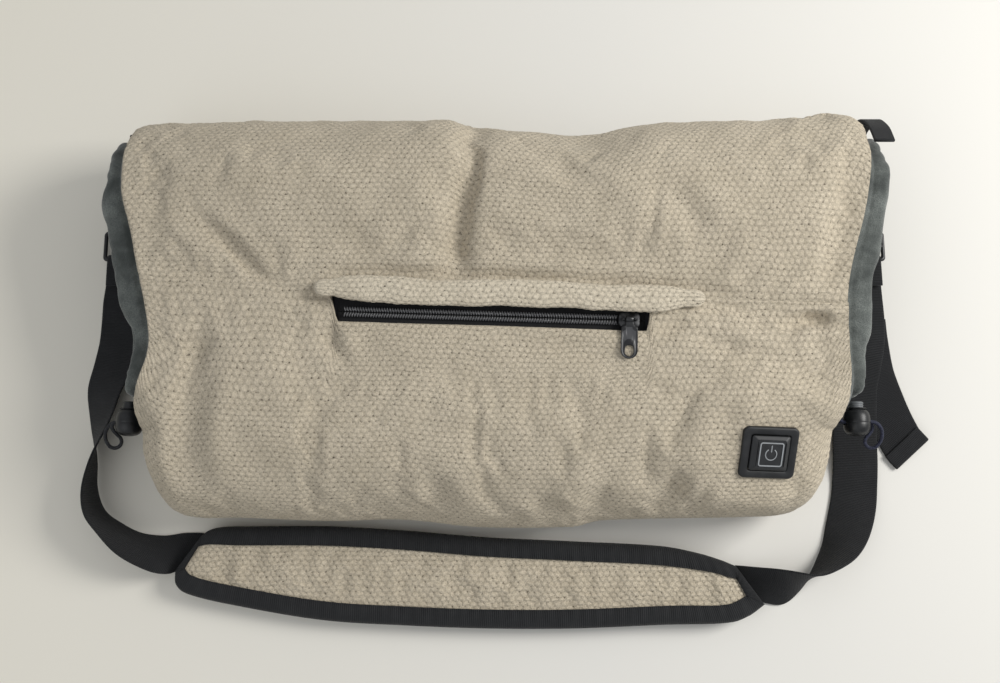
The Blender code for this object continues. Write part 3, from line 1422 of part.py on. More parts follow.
def pad_layer(name, finish, low, high, inset, low_crown, high_crown):
    """A layer of the pad between two heights, each with its own share of the crown."""
    shares = spaced(inset / PAD_LENGTH, 1 - inset / PAD_LENGTH, PAD_STEPS)
    lanes = spaced(0, 1, 6)
    bpy.ops.mesh.primitive_grid_add(x_subdivisions=PAD_STEPS, y_subdivisions=len(lanes) - 1)
    obj = bpy.context.object
    shape = bmesh.new()
    shape.from_mesh(obj.data)
    top = shape.faces[:]
    made = bmesh.ops.extrude_face_region(shape, geom=top)
    above = {item for item in made["geom"] if isinstance(item, bmesh.types.BMVert)}
    shape.verts.index_update()
    span = PAD_STEPS + 1
    for vertex in shape.verts:
        raised = vertex in above
        column = round((vertex.co.x + 1) / 2 * PAD_STEPS)
        lane = round((vertex.co.y + 1) / 2 * (len(lanes) - 1))
        share = shares[column % span]
        plan = pad_point(share, lanes[lane], inset)
        rise = (high if raised else low) + PAD_CROWN * crown(share, lanes[lane]) * (
            high_crown if raised else low_crown
        )
        vertex.co = (plan.x, plan.y, rise)
    bmesh.ops.recalc_face_normals(shape, faces=shape.faces)
    shape.to_mesh(obj.data)
    shape.free()
    return smooth(claim(obj, name, finish))


def make_pad():
    """The shoulder pad: backing, foam and face, and the binding folded over their edges."""
    inset = BINDING_THICKNESS + SLIP_GAP
    low = PAD_BASE + BINDING_THICKNESS + SLIP_GAP
    pad_layer("pad_backing", "lining_cloth", low, low + PAD_BACKING, inset, 0, 0)
    foam_low = low + PAD_BACKING + SLIP_GAP
    pad_layer("pad_foam", "foam", foam_low, foam_low + PAD_FOAM, inset, 0, 1)
    face_low = foam_low + PAD_FOAM + SLIP_GAP
    pad_layer("pad_face", "fleece", face_low, face_low + PAD_FACE, inset, 1, 1)
    make_binding(face_low + PAD_FACE + 2 * SLIP_GAP + BINDING_THICKNESS)


def make_binding(height):
    """The tape round the pad: a channel whose lips lie over the face and under the backing."""
    low = PAD_BASE + BINDING_THICKNESS
    high = height - BINDING_THICKNESS
    section = (
        (BINDING_WIDTH, PAD_BASE), (BINDING_THICKNESS, PAD_BASE), (0.0, low),
        (0.0, high), (BINDING_THICKNESS, height), (BINDING_WIDTH, height),
        (BINDING_WIDTH, high), (BINDING_THICKNESS, high), (BINDING_THICKNESS, low),
        (BINDING_WIDTH, low),
    )
    route = [(share, 0.0) for share in spaced(0, 1, PAD_STEPS)]
    route += [(1.0, lane) for lane in spaced(0, 1, 3)[1:-1]]
    route += [(share, 1.0) for share in spaced(1, 0, PAD_STEPS)]
    route += [(0.0, lane) for lane in spaced(1, 0, 3)[1:-1]]

    def place(around, across):
        share, lane = route[around]
        run_in, rise = section[across]
        inner_share = min(max(share, run_in / PAD_LENGTH), 1 - run_in / PAD_LENGTH)
        plan = pad_point(inner_share, lane, run_in)
        if rise > low:
            rise += PAD_CROWN * crown(inner_share, in_lane(inner_share, lane, run_in))
        return Vector((plan.x, plan.y, rise))

    ring("pad_binding", "webbing", len(route), len(section), place)


def in_lane(share, lane, run_in):
    """The lane of the pad's own layers at this distance in from its edge."""
    upper, lower = pad_edges(share)
    return (run_in + lane * ((upper - lower).length - 2 * run_in)) / (upper - lower).length


def main():
    clear_scene()
    new_collection("hand_muff")
    new_collection("cutters")
    SEAT["frame"] = button_matrix()
    zip_frame = empty("zip_frame", zip_matrix())
    empty("button_frame", SEAT["frame"])
    make_shell()
    make_inner_layers()
    for side, name in ((-1, "left"), (1, "right")):
        make_cuff(side, name)
        make_drawcord(side, name)
        make_lock(side, name)
        make_cord_tail(side, name)
        make_tab(side, name, LEFT_BUCKLE_X if side < 0 else RIGHT_BUCKLE_X)
    make_strap()
    make_pad()
    make_slider(zip_frame, make_zip(zip_frame))
    make_welt(zip_frame)
    make_bag(zip_frame)
    make_button(bpy.data.objects["button_frame"])


if __name__ == "__main__":
    main()
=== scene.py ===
"""Looks of the heated hand muff: fleece shell, plush cuffs, zip pocket, heat control, strap and pad.

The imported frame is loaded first, and every piece made here sits where its own solid lies in that
frame. Metres throughout, with +Z out of the muff's front and +Y towards its top edge.
"""

import json
import logging
from dataclasses import dataclass
from enum import Enum
from math import atan, copysign, cos, pi, radians, sin
from typing import Callable, Sequence

import bmesh
import bpy
import numpy as np
from mathutils import Matrix, Vector

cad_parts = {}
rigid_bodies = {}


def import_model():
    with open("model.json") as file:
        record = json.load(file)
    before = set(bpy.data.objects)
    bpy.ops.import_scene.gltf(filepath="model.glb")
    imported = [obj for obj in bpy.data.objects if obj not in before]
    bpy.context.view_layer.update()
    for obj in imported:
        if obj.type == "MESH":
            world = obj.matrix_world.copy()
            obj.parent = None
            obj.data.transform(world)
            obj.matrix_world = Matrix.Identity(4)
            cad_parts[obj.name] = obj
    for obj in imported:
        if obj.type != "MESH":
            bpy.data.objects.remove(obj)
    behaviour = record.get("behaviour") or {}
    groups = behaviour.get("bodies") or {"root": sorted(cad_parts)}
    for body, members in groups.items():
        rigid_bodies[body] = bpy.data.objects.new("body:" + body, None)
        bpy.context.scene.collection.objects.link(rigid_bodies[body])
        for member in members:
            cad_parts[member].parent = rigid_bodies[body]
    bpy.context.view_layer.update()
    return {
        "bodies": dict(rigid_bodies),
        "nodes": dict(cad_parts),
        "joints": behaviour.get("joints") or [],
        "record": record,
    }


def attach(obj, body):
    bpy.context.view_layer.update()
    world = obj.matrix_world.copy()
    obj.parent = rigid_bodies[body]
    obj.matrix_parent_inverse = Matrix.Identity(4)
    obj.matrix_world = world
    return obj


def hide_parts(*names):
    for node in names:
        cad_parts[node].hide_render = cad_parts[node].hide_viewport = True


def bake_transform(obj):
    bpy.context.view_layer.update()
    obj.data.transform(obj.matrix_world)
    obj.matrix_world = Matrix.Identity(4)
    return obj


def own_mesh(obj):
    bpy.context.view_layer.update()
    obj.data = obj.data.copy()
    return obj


LOG = logging.getLogger("hand_muff")
MM = 0.001
CAP_ANGLES = (0.55, 1.05, 1.45, 1.5707)
Array = np.ndarray
Piece = bpy.types.Object
Pair = tuple[float, float]
Triple = tuple[float, float, float]


# Curves and grids.

def through(table: Sequence[Pair], at: Array | float) -> Array:
    """Values of a smooth curve through (place, value) pairs.

    Args:
        table: The pairs, in order of place.
        at: The places asked for.

    Returns:
        The value at each place.
    """
    places, values = np.array(list(table), float).T
    at = np.clip(np.asarray(at, float), places[0], places[-1])
    last = len(places) - 1
    index = np.clip(np.searchsorted(places, at, side="left") - 1, 0, last - 1)
    before, start, end, after = (np.clip(index + shift, 0, last) for shift in (-1, 0, 1, 2))
    run = places[end] - places[start]
    t = (at - places[start]) / run
    leave = (values[end] - values[before]) / (places[end] - places[before]) * run
    arrive = (values[after] - values[start]) / (places[after] - places[start]) * run
    return (
        (2 * t**3 - 3 * t**2 + 1) * values[start] + (t**3 - 2 * t**2 + t) * leave
        + (3 * t**2 - 2 * t**3) * values[end] + (t**3 - t**2) * arrive
    )


def spline(places: Sequence[float], points: Sequence, at: Array) -> Array:
    """Points of a smooth curve through points that stand at these places along it."""
    return np.stack([through(zip(places, line), at) for line in np.array(points, float).T], -1)


def run_length(points: Array) -> Array:
    """How far along its own line each point lies."""
    return np.concatenate([[0], np.cumsum(np.linalg.norm(np.diff(points, axis=0), axis=1))])


def carried(points: Array, place: Matrix) -> Array:
    """Points of a place's own frame, in the part's frame."""
    return points @ np.array(place.to_3x3()).T + np.array(place.translation)


def ease(low: float, high: float, at: Array | float) -> Array:
    """0 below low, 1 above high and smooth between."""
    t = np.clip((np.asarray(at, float) - low) / (high - low), 0.0, 1.0)
    return t * t * (3 - 2 * t)


def unit(vectors: Array) -> Array:
    """The vectors at length one."""
    return vectors / np.maximum(np.linalg.norm(vectors, axis=-1, keepdims=True), 1e-12)


def grid_normals(points: Array) -> Array:
    """Unit normals of a grid of points, its columns' run crossed with its rows' run."""
    return unit(np.cross(np.gradient(points, axis=1), np.gradient(points, axis=0)))


def waves(points: Array, scale: float, seed: int, octaves: int = 3) -> Array:
    """Smooth noise from -1 to 1 from sums of slanted waves, the same on every run.

    Args:
        points: Any array whose last axis holds two or three coordinates.
        scale: The length of the longest wave, in metres.
        seed: Which pattern.
        octaves: How many halvings of the wave.

    Returns:
        One value a point.
    """
    rng = np.random.default_rng(seed)
    total = np.zeros(points.shape[:-1])
    weight = 0.0
    for octave in range(octaves):
        for _ in range(5):
            direction = rng.normal(size=points.shape[-1])
            direction /= np.linalg.norm(direction)
            turn = points @ direction * (2 * pi * 2**octave / scale * rng.uniform(0.7, 1.3))
            total += np.sin(turn + rng.uniform(0, 2 * pi)) / 2**octave
        weight += 2.2 / 2**octave
    return np.clip(total / weight, -1.0, 1.0)


def grid_piece(name: str, points: Array, uv: Array | None, finish: "Finish",
               wrap_rows: bool = False, wrap_columns: bool = False) -> Piece:
    """A smooth mesh object from a grid of points, linked to the scene.

    Args:
        name: The piece's name.
        points: Rows by columns by three.
        uv: Rows by columns by two, in the weave's own units, or None.
        finish: What it is made of.
        wrap_rows: Whether the last row joins the first.
        wrap_columns: Whether each row's last point joins its first.

    Returns:
        The object.
    """
    rows, columns = points.shape[:2]
    row = np.arange(rows if wrap_rows else rows - 1)
    column = np.arange(columns if wrap_columns else columns - 1)
    r, c = (side.ravel() for side in np.meshgrid(row, column, indexing="ij"))
    r2, c2 = (r + 1) % rows, (c + 1) % columns
    corners = ((r, c), (r, c2), (r2, c2), (r2, c))
    loops = np.stack([a * columns + b for a, b in corners], 1).ravel().astype(np.int32)
    mesh = bpy.data.meshes.new(name)
    mesh.vertices.add(rows * columns)
    mesh.vertices.foreach_set("co", points.astype(np.float32).ravel())
    mesh.loops.add(len(loops))
    mesh.loops.foreach_set("vertex_index", loops)
    mesh.polygons.add(len(loops) // 4)
    mesh.polygons.foreach_set("loop_start", np.arange(0, len(loops), 4, dtype=np.int32))
    mesh.update(calc_edges=True)
    mesh.polygons.foreach_set("use_smooth", np.ones(len(loops) // 4, bool))
    if uv is not None:
        layer = mesh.uv_layers.new(name="weave")
        layer.data.foreach_set("uv", uv.reshape(-1, 2)[loops].astype(np.float32).ravel())
    mesh.materials.append(finish.material())
    piece = bpy.data.objects.new(name, mesh)
    bpy.context.scene.collection.objects.link(piece)
    return piece


def capped_tube(name: str, path: Array, radius: float, sides: int, finish: "Finish",
                squash: float = 1.0) -> Piece:
    """A tube along a path, its ends rounded.

    Args:
        name: The piece's name.
        path: Points by three.
        radius: The tube's radius.
        sides: Points in each ring.
        finish: What it is made of.
        squash: The ring's height for a width of one.

    Returns:
        The object.
    """
    tangent = unit(np.gradient(path, axis=0))
    side = np.cross(tangent[0], (0.0, 0.0, 1.0))
    if np.linalg.norm(side) < 0.1:
        side = np.cross(tangent[0], (0.0, 1.0, 0.0))
    turn = np.linspace(0, 2 * pi, sides, endpoint=False)
    rings = []
    for spot, ahead in zip(path, tangent):
        side = side - ahead * (side @ ahead)
        side /= np.linalg.norm(side)
        up = np.cross(side, ahead)
        rings.append(spot + (np.outer(np.cos(turn), side) + np.outer(np.sin(turn) * squash, up)) * radius)
    ends = []
    for end, inner in ((0, 1), (-1, -2)):
        out = unit(path[end] - path[inner])
        ring = rings[end] - path[end]
        size = float(np.linalg.norm(ring, axis=1).mean())
        ends.append([path[end] + ring * cos(angle) + out * size * sin(angle) for angle in CAP_ANGLES])
    points = np.array([*ends[0][::-1], *rings, *ends[1]])
    around = np.linspace(0, 1, sides, endpoint=False)
    uv = np.stack(np.meshgrid(run_length(points.mean(1)) / MM, around, indexing="ij"), -1)
    return grid_piece(name, points, uv, finish, wrap_columns=True)


def lathe(name: str, profile: Sequence[Pair], place: Matrix, finish: "Finish",
          sides: int = 48) -> Piece:
    """A turned piece: (radius, height) points spun about the place's own Z.

    Args:
        name: The piece's name.
        profile: The outline, from its start to its end, closed if it joins up.
        place: Where the piece's own frame stands.
        finish: What it is made of.
        sides: Points in each ring.

    Returns:
        The object.
    """
    turn = np.linspace(0, 2 * pi, sides, endpoint=False)
    rows = np.array([
        np.stack([r * np.cos(turn), r * np.sin(turn), np.full(sides, z)], 1) for r, z in profile
    ])
    uv = np.stack(np.meshgrid(np.arange(len(rows)), turn, indexing="ij"), -1)
    return outward(grid_piece(name, carried(rows, place), uv, finish, wrap_columns=True))


def outward(piece: Piece) -> Piece:
    """Weld a closed mesh's doubled points, turn its faces out and hand it back.

    Args:
        piece: The closed mesh.

    Returns:
        The same piece.
    """
    shape = bmesh.new()
    shape.from_mesh(piece.data)
    bmesh.ops.remove_doubles(shape, verts=shape.verts, dist=1e-6)
    bmesh.ops.recalc_face_normals(shape, faces=shape.faces)
    shape.to_mesh(piece.data)
    shape.free()
    return piece


def rounded(length: float, depth: float, corner: float, steps: int = 6) -> Array:
    """The outline of a rectangle about the origin, its corners as arcs.

    Args:
        length: Its size along X.
        depth: Its size along Y.
        corner: The corners' radius.
        steps: Steps in each corner.

    Returns:
        Points by two.
    """
    points = []
    for quarter, (x, y) in enumerate(((1, 1), (-1, 1), (-1, -1), (1, -1))):
        for step in range(steps + 1):
            angle = (quarter + step / steps) * pi / 2
            points.append((x * (length / 2 - corner) + corner * cos(angle),
                           y * (depth / 2 - corner) + corner * sin(angle)))
    return np.array(points)


def grown(size: Sequence[float], more: float, corner: float, steps: int = 8) -> Array:
    """The outline of a rectangle of this size, made larger by more each way."""
    return rounded(size[0] + more, size[1] + more, corner, steps)


def stacked(name: str, layers: Sequence[tuple[Array, float]], place: Matrix, finish: "Finish",
            closed: bool = False) -> Piece:
    """A solid skinned over outlines of equal count, its first and last filled.

    Args:
        name: The piece's name.
        layers: Each an outline, points by two, and its height.
        place: Where the piece's own frame stands.
        finish: What it is made of.
        closed: Whether the last outline joins the first, as in a frame.

    Returns:
        The object.
    """
    rows = [np.column_stack([line, np.full(len(line), z)]) for line, z in layers]
    if not closed:
        rows = [rows[0] * (0, 0, 1) + rows[0].mean(0) * (1, 1, 0), *rows,
                rows[-1] * (0, 0, 1) + rows[-1].mean(0) * (1, 1, 0)]
    piece = grid_piece(name, carried(np.array(rows), place), None, finish, closed, True)
    return outward(piece)


def settle(piece: Piece, node: str, body: str = "muff", fill: float = 0.0) -> None:
    """Have a piece stand for its solid and ride a body.

    Args:
        piece: The piece.
        node: The solid that it stands for.
        body: The body that it rides.
        fill: How firmly it is stuffed, for a padded piece. Not used.
    """
    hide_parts(node)
    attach(piece, body)


# Finishes.

class NodeDesk:
    """Lays out the nodes of one procedural material."""

    def __init__(self, name: str) -> None:
        """Start a material of this name with its Principled shader."""
        self.material = bpy.data.materials.new(name)
        self.material.use_nodes = True
        self.tree = self.material.node_tree
        self.shader = self.tree.nodes["Principled BSDF"]

    def node(self, kind: str, inputs: dict | None = None, **settings: object) -> bpy.types.Node:
        """A node with its settings and inputs, each input a constant or another node's socket.

        Args:
            kind: The node's type, without the leading ShaderNode.
            inputs: Values or sockets by input name or index.
            **settings: Properties of the node.

        Returns:
            The node.
        """
        made = self.tree.nodes.new("ShaderNode" + kind)
        for key, value in settings.items():
            setattr(made, key, value)
        for key, value in (inputs or {}).items():
            self.put(made.inputs[key], value)
        return made

    def put(self, socket: bpy.types.NodeSocket, value: object) -> None:
        """Link the socket, or set its constant."""
        if isinstance(value, bpy.types.NodeSocket):
            self.tree.links.new(value, socket)
        else:
            socket.default_value = value

    def math(self, operation: str, *values: object) -> bpy.types.NodeSocket:
        """The result of one sum on constants or sockets."""
        return self.node("Math", dict(enumerate(values)), operation=operation).outputs[0]

    def times(self, first: object, second: object) -> bpy.types.NodeSocket:
        """One number times another."""
        return self.math("MULTIPLY", first, second)

    def woven(self) -> Sequence[bpy.types.NodeSocket]:
        """The piece's weave map, across and along."""
        return self.node("SeparateXYZ", {0: self.node("UVMap", uv_map="weave").outputs[0]}).outputs

    def mix(self, share: object, first: object, second: object) -> bpy.types.NodeSocket:
        """A colour between two."""
        made = self.node("Mix", data_type="RGBA")
        for index, value in ((0, share), (6, first), (7, second)):
            self.put(made.inputs[index], value)
        return made.outputs[2]

    def spread(self, value: object, low: float, high: float) -> bpy.types.NodeSocket:
        """The value stretched so that low is 0 and high is 1, and held between them."""
        return self.node("MapRange", {0: value, 1: low, 2: high}).outputs[0]

    def grain(self, size: float, detail: float = 3.0, rough: float = 0.55) -> bpy.types.NodeSocket:
        """Noise fixed to the object, its blobs about this long in metres."""
        place = self.node("TexCoord").outputs["Object"]
        made = self.node("TexNoise", {"Vector": place, "Scale": 1 / size, "Detail": detail,
                                      "Roughness": rough})
        return made.outputs[0]

    def bump(self, height: object, distance: float, strength: float = 1.0,
             **under: object) -> bpy.types.NodeSocket:
        """A bumped normal, on another if one is given as Normal."""
        inputs = {"Height": height, "Distance": distance, "Strength": strength, **under}
        return self.node("Bump", inputs).outputs[0]

    def finish(self, **inputs: object) -> bpy.types.Material:
        """Set the shader's inputs, underscores standing for spaces, and return the material."""
        for key, value in inputs.items():
            self.put(self.shader.inputs[key.replace("_", " ")], value)
        return self.material


def srgb(red: int, green: int, blue: int) -> tuple[float, float, float, float]:
    """A screen colour as the linear one that a shader takes."""
    parts = [value / 255 for value in (red, green, blue)]
    line = [p / 12.92 if p <= 0.04045 else ((p + 0.055) / 1.055) ** 2.4 for p in parts]
    return (*line, 1.0)


@dataclass(frozen=True)
class Finish:
    """A surface finish, whose material is made once."""

    name: str

    def material(self) -> bpy.types.Material:
        """The finish's material, made the first time that it is asked for."""
        found = bpy.data.materials.get(self.name)
        return found if found else self.build(NodeDesk(self.name))

    def build(self, desk: NodeDesk) -> bpy.types.Material:
        """Lay out the nodes. Each kind of finish has its own."""
        raise NotImplementedError


@dataclass(frozen=True)
class NubFleece(Finish):
    """Beige fleece in small round nubs, each row set half a nub over, with painted shade in the grooves
    between the nubs. Its map counts nubs.
    """

    light: tuple = srgb(222, 210, 189)
    shade: tuple = srgb(166, 155, 134)
    painted_groove_shade: tuple = srgb(52, 45, 33)
    painted_groove_shade_share: float = 1.0
    bump_height: float = 0.00034

    def build(self, desk: NodeDesk) -> bpy.types.Material:
        """Nubs from three crossed waves, broken by fibres and mottled, with painted shade in the grooves,
        darkest on one side of each row.

        Args:
            desk: What lays out the nodes.

        Returns:
            The material.
        """
        weave = desk.woven()
        across, along = desk.times(weave[0], 2 * pi), desk.times(weave[1], pi)
        twice = desk.times(along, 2.0)
        rising = desk.math("COSINE", desk.math("ADD", across, along))
        falling = desk.math("COSINE", desk.math("SUBTRACT", across, along))
        wave = desk.math("ADD", desk.math("ADD", rising, falling), desk.math("COSINE", twice))
        fuzz = desk.grain(0.0008, 5.0, 0.80)
        patch = desk.spread(desk.grain(0.0042, 2.0), 0.30, 0.62)
        frayed = desk.math("ADD", wave, desk.times(desk.math("SUBTRACT", fuzz, 0.5), 3.0))
        tone = desk.mix(desk.spread(fuzz, 0.34, 0.66), self.shade, self.light)
        # Painted shade: the grooves between the nubs are darkened towards the groove colour, most on one
        # side of each row of nubs.
        under = desk.spread(desk.math("SINE", twice), -0.7, 0.5)
        dark = desk.math("SUBTRACT", 1.0, desk.spread(frayed, -1.70, -0.95))
        dark = desk.times(desk.times(dark, patch), desk.math("ADD", desk.times(under, 0.7), 0.3))
        tone = desk.mix(desk.times(dark, self.painted_groove_shade_share), tone, self.painted_groove_shade)
        soil = desk.spread(desk.grain(0.020, 3.0), 0.60, 0.30)
        tone = desk.mix(desk.times(soil, 0.25), tone, self.shade)
        nubs = desk.bump(desk.spread(frayed, -1.6, 0.9), self.bump_height, 1.0)
        fibres = desk.bump(fuzz, self.bump_height * 0.7, 0.8, Normal=nubs)
        return desk.finish(
            Base_Color=tone, Normal=fibres, Roughness=0.96, Specular_IOR_Level=0.15,
            Sheen_Weight=0.12, Sheen_Roughness=0.6,
        )


@dataclass(frozen=True)
class Plush(Finish):
    """Short grey pile, brushed light and dark in soft patches."""

    light: tuple = srgb(124, 129, 125)
    dark: tuple = srgb(72, 76, 74)

    def build(self, desk: NodeDesk) -> bpy.types.Material:
        """Pile tone from slow noise, with fine fibres.

        Args:
            desk: What lays out the nodes.

        Returns:
            The material.
        """
        brushed = desk.spread(desk.grain(0.017, 3.0, 0.6), 0.36, 0.66)
        pile = desk.grain(0.0007, 4.0, 0.75)
        tone = desk.mix(brushed, self.dark, self.light)
        tone = desk.mix(desk.spread(pile, 0.62, 0.28), tone, self.dark)
        soft = desk.bump(desk.grain(0.006, 2.0), 0.0012, 0.5)
        return desk.finish(
            Base_Color=tone, Normal=desk.bump(pile, 0.0005, 0.8, Normal=soft), Roughness=0.9,
            Specular_IOR_Level=0.2, Sheen_Weight=0.35, Sheen_Roughness=0.45,
        )


@dataclass(frozen=True)
class RibbedWebbing(Finish):
    """Black webbing with a rib across it. The weave map is in millimetres along and across."""

    base: tuple = srgb(27, 28, 30)
    worn: tuple = srgb(52, 53, 55)
    rib: float = 0.95
    yarn: float = 0.8
    height: float = 0.00028

    def build(self, desk: NodeDesk) -> bpy.types.Material:
        """Ribs along the run, yarns across it, and a little dust.

        Args:
            desk: What lays out the nodes.

        Returns:
            The material.
        """
        weave = desk.woven()
        along = desk.math("SINE", desk.times(weave[0], 2 * pi / self.rib))
        cross = desk.times(along, desk.math("SINE", desk.times(weave[1], 2 * pi / self.yarn)))
        ribs = desk.math("ADD", desk.times(along, 0.6), desk.times(cross, 0.4))
        dust = desk.spread(desk.grain(0.012, 4.0), 0.48, 0.75)
        tone = desk.mix(desk.times(desk.spread(ribs, -0.2, 1.0), 0.45), self.base, self.worn)
        tone = desk.mix(desk.times(dust, 0.22), tone, self.worn)
        low = desk.bump(ribs, self.height, 0.9)
        fibre = desk.bump(desk.grain(0.0006, 3.0, 0.7), self.height * 0.5, 0.6, Normal=low)
        return desk.finish(
            Base_Color=tone, Normal=fibre, Roughness=0.78, Specular_IOR_Level=0.3,
            Sheen_Weight=0.06,
        )


@dataclass(frozen=True)
class Moulded(Finish):
    """Moulded plastic or silicone with a fine skin."""

    base: tuple = srgb(24, 25, 27)
    roughness: float = 0.42
    skin: float = 0.00005
    coat: float = 0.0

    def build(self, desk: NodeDesk) -> bpy.types.Material:
        """A plain colour with faint handling marks and a fine skin.

        Args:
            desk: What lays out the nodes.

        Returns:
            The material.
        """
        marks = desk.spread(desk.grain(0.006, 4.0), 0.42, 0.72)
        tone = desk.mix(desk.times(marks, 0.18), self.base, srgb(74, 76, 78))
        rough = desk.math("ADD", self.roughness, desk.times(marks, 0.12))
        return desk.finish(
            Base_Color=tone, Roughness=rough, Normal=desk.bump(desk.grain(0.0006), self.skin, 0.5),
            Specular_IOR_Level=0.45, Coat_Weight=self.coat, Coat_Roughness=0.15,
        )


@dataclass(frozen=True)
class Metal(Finish):
    """Painted or bare metal."""

    base: tuple = srgb(60, 60, 62)
    metallic: float = 0.6
    roughness: float = 0.34

    def build(self, desk: NodeDesk) -> bpy.types.Material:
        """Metal with small wear.

        Args:
            desk: What lays out the nodes.

        Returns:
            The material.
        """
        wear = desk.spread(desk.grain(0.0022, 4.0), 0.45, 0.7)
        tone = desk.mix(desk.times(wear, 0.25), self.base, srgb(150, 150, 150))
        rough = desk.math("ADD", self.roughness, desk.times(wear, 0.15))
        return desk.finish(
            Base_Color=tone, Roughness=rough, Metallic=self.metallic,
            Normal=desk.bump(desk.grain(0.0009), 0.00004, 0.5),
        )


@dataclass(frozen=True)
class PlainCloth(Finish):
    """A plain cloth, film or fibre fill, told apart by its colour and grain."""

    base: tuple = srgb(40, 40, 43)
    other: tuple = srgb(58, 58, 62)
    grain_size: float = 0.0011
    height: float = 0.0003

    def build(self, desk: NodeDesk) -> bpy.types.Material:
        """Two close tones mixed by a fine grain.

        Args:
            desk: What lays out the nodes.

        Returns:
            The material.
        """
        grain = desk.grain(self.grain_size, 4.0, 0.7)
        patch = desk.grain(self.grain_size * 14, 2.0)
        tone = desk.mix(desk.times(desk.math("ADD", grain, patch), 0.5), self.base, self.other)
        return desk.finish(
            Base_Color=tone, Roughness=0.92, Specular_IOR_Level=0.2,
            Normal=desk.bump(grain, self.height, 0.8),
        )


@dataclass(frozen=True)
class BraidedCord(Finish):
    """Round braided cord."""

    base: tuple = srgb(25, 26, 28)
    worn: tuple = srgb(66, 67, 70)
    cells: float = 1400.0

    def build(self, desk: NodeDesk) -> bpy.types.Material:
        """A braid of small cells fixed to the object.

        Args:
            desk: What lays out the nodes.

        Returns:
            The material.
        """
        place = desk.node("TexCoord").outputs["Object"]
        cells = desk.node("TexVoronoi", {"Scale": self.cells, "Vector": place})
        strands = desk.spread(cells.outputs[0], 0.1, 0.7)
        tone = desk.mix(desk.times(strands, desk.grain(0.0008, 2.0, 0.6)), self.base, self.worn)
        return desk.finish(
            Base_Color=tone, Roughness=0.7, Specular_IOR_Level=0.35,
            Normal=desk.bump(strands, 0.00022, 0.8),
        )


class Cloth(Enum):
    """The finishes that the muff is made in."""

    def material(self) -> bpy.types.Material:
        """The finish's material."""
        return self.value.material()

    FLEECE = NubFleece("nub_fleece")
    # Painted light: the welt is the panels' own fleece, painted lighter for the light that catches its top.
    WELT_PAINTED_LIGHT = NubFleece("welt_fleece_painted_light", srgb(236, 225, 204), srgb(184, 173, 152))
    PLUSH = Plush("grey_plush")
    LINING = Plush("tunnel_plush", srgb(112, 120, 119), srgb(58, 64, 65))
    WEBBING = RibbedWebbing("black_webbing")
    BINDING = RibbedWebbing("black_binding", srgb(28, 29, 31), srgb(58, 59, 60), 1.15, 0.7, 0.00022)
    TAPE = RibbedWebbing("zip_tape_weave", srgb(22, 22, 24), srgb(44, 44, 46), 0.7, 0.5, 0.00010)
    # Painted glints: the coil's light grey colour stands for the light that catches its dark turns.
    COIL = Moulded("zip_coil_painted_glints", srgb(104, 104, 106), 0.24, 0.00001, 0.8)
    PULL = Moulded("zip_pull_paint", srgb(22, 22, 24), 0.34, 0.00003, 0.2)
    PULL_FACE = Moulded("zip_pull_inset", srgb(70, 70, 72), 0.36, 0.00003)
    SILICONE = Moulded("black_silicone", srgb(25, 26, 28), 0.50, 0.00006)
    KEY = Moulded("key_silicone", srgb(33, 34, 36), 0.46, 0.00005)
    SYMBOL = Moulded("grey_print", srgb(150, 153, 156), 0.5, 0.00003)
    PLASTIC = Moulded("lock_plastic", srgb(22, 23, 25), 0.36, 0.00005)
    LOCK_GREY = Moulded("grey_plastic", srgb(104, 107, 110), 0.38, 0.00004)
    CORD = BraidedCord("black_cord")
    CORD_BLUE = BraidedCord("dark_blue_cord", srgb(30, 32, 46), srgb(56, 60, 82))
    BAG = PlainCloth("pocket_cloth")
    BACKING = PlainCloth("pad_backing_mesh", srgb(30, 30, 32), srgb(56, 56, 59), 0.0016, 0.0004)
    # Painted shade: the fibre fill is a darker grey-beige than white fill, so that where it shows in a
    # mouth's corner it reads as shaded cloth.
    WADDING = PlainCloth("fibre_wadding", srgb(122, 116, 103), srgb(146, 139, 124), 0.002, 0.0006)
    FOAM = PlainCloth("pad_foam", srgb(96, 96, 97), srgb(120, 120, 121), 0.0009, 0.0003)
    FILM = PlainCloth("film_sheet", srgb(48, 32, 26), srgb(74, 48, 36), 0.003, 0.0001)
    STEEL = Metal("spring_steel", srgb(150, 150, 152), 1.0, 0.25)
    SWITCH = Metal("switch_case", srgb(128, 128, 130), 0.9, 0.35)
    SLIDER = Metal("black_slider", srgb(44, 44, 46), 0.5, 0.34)
    BOARD = Moulded("circuit_board", srgb(30, 82, 52), 0.45, 0.00003)
    LIGHT = Moulded("indicator_light", srgb(196, 198, 200), 0.3, 0.00002)


# Camera, lights and floor.

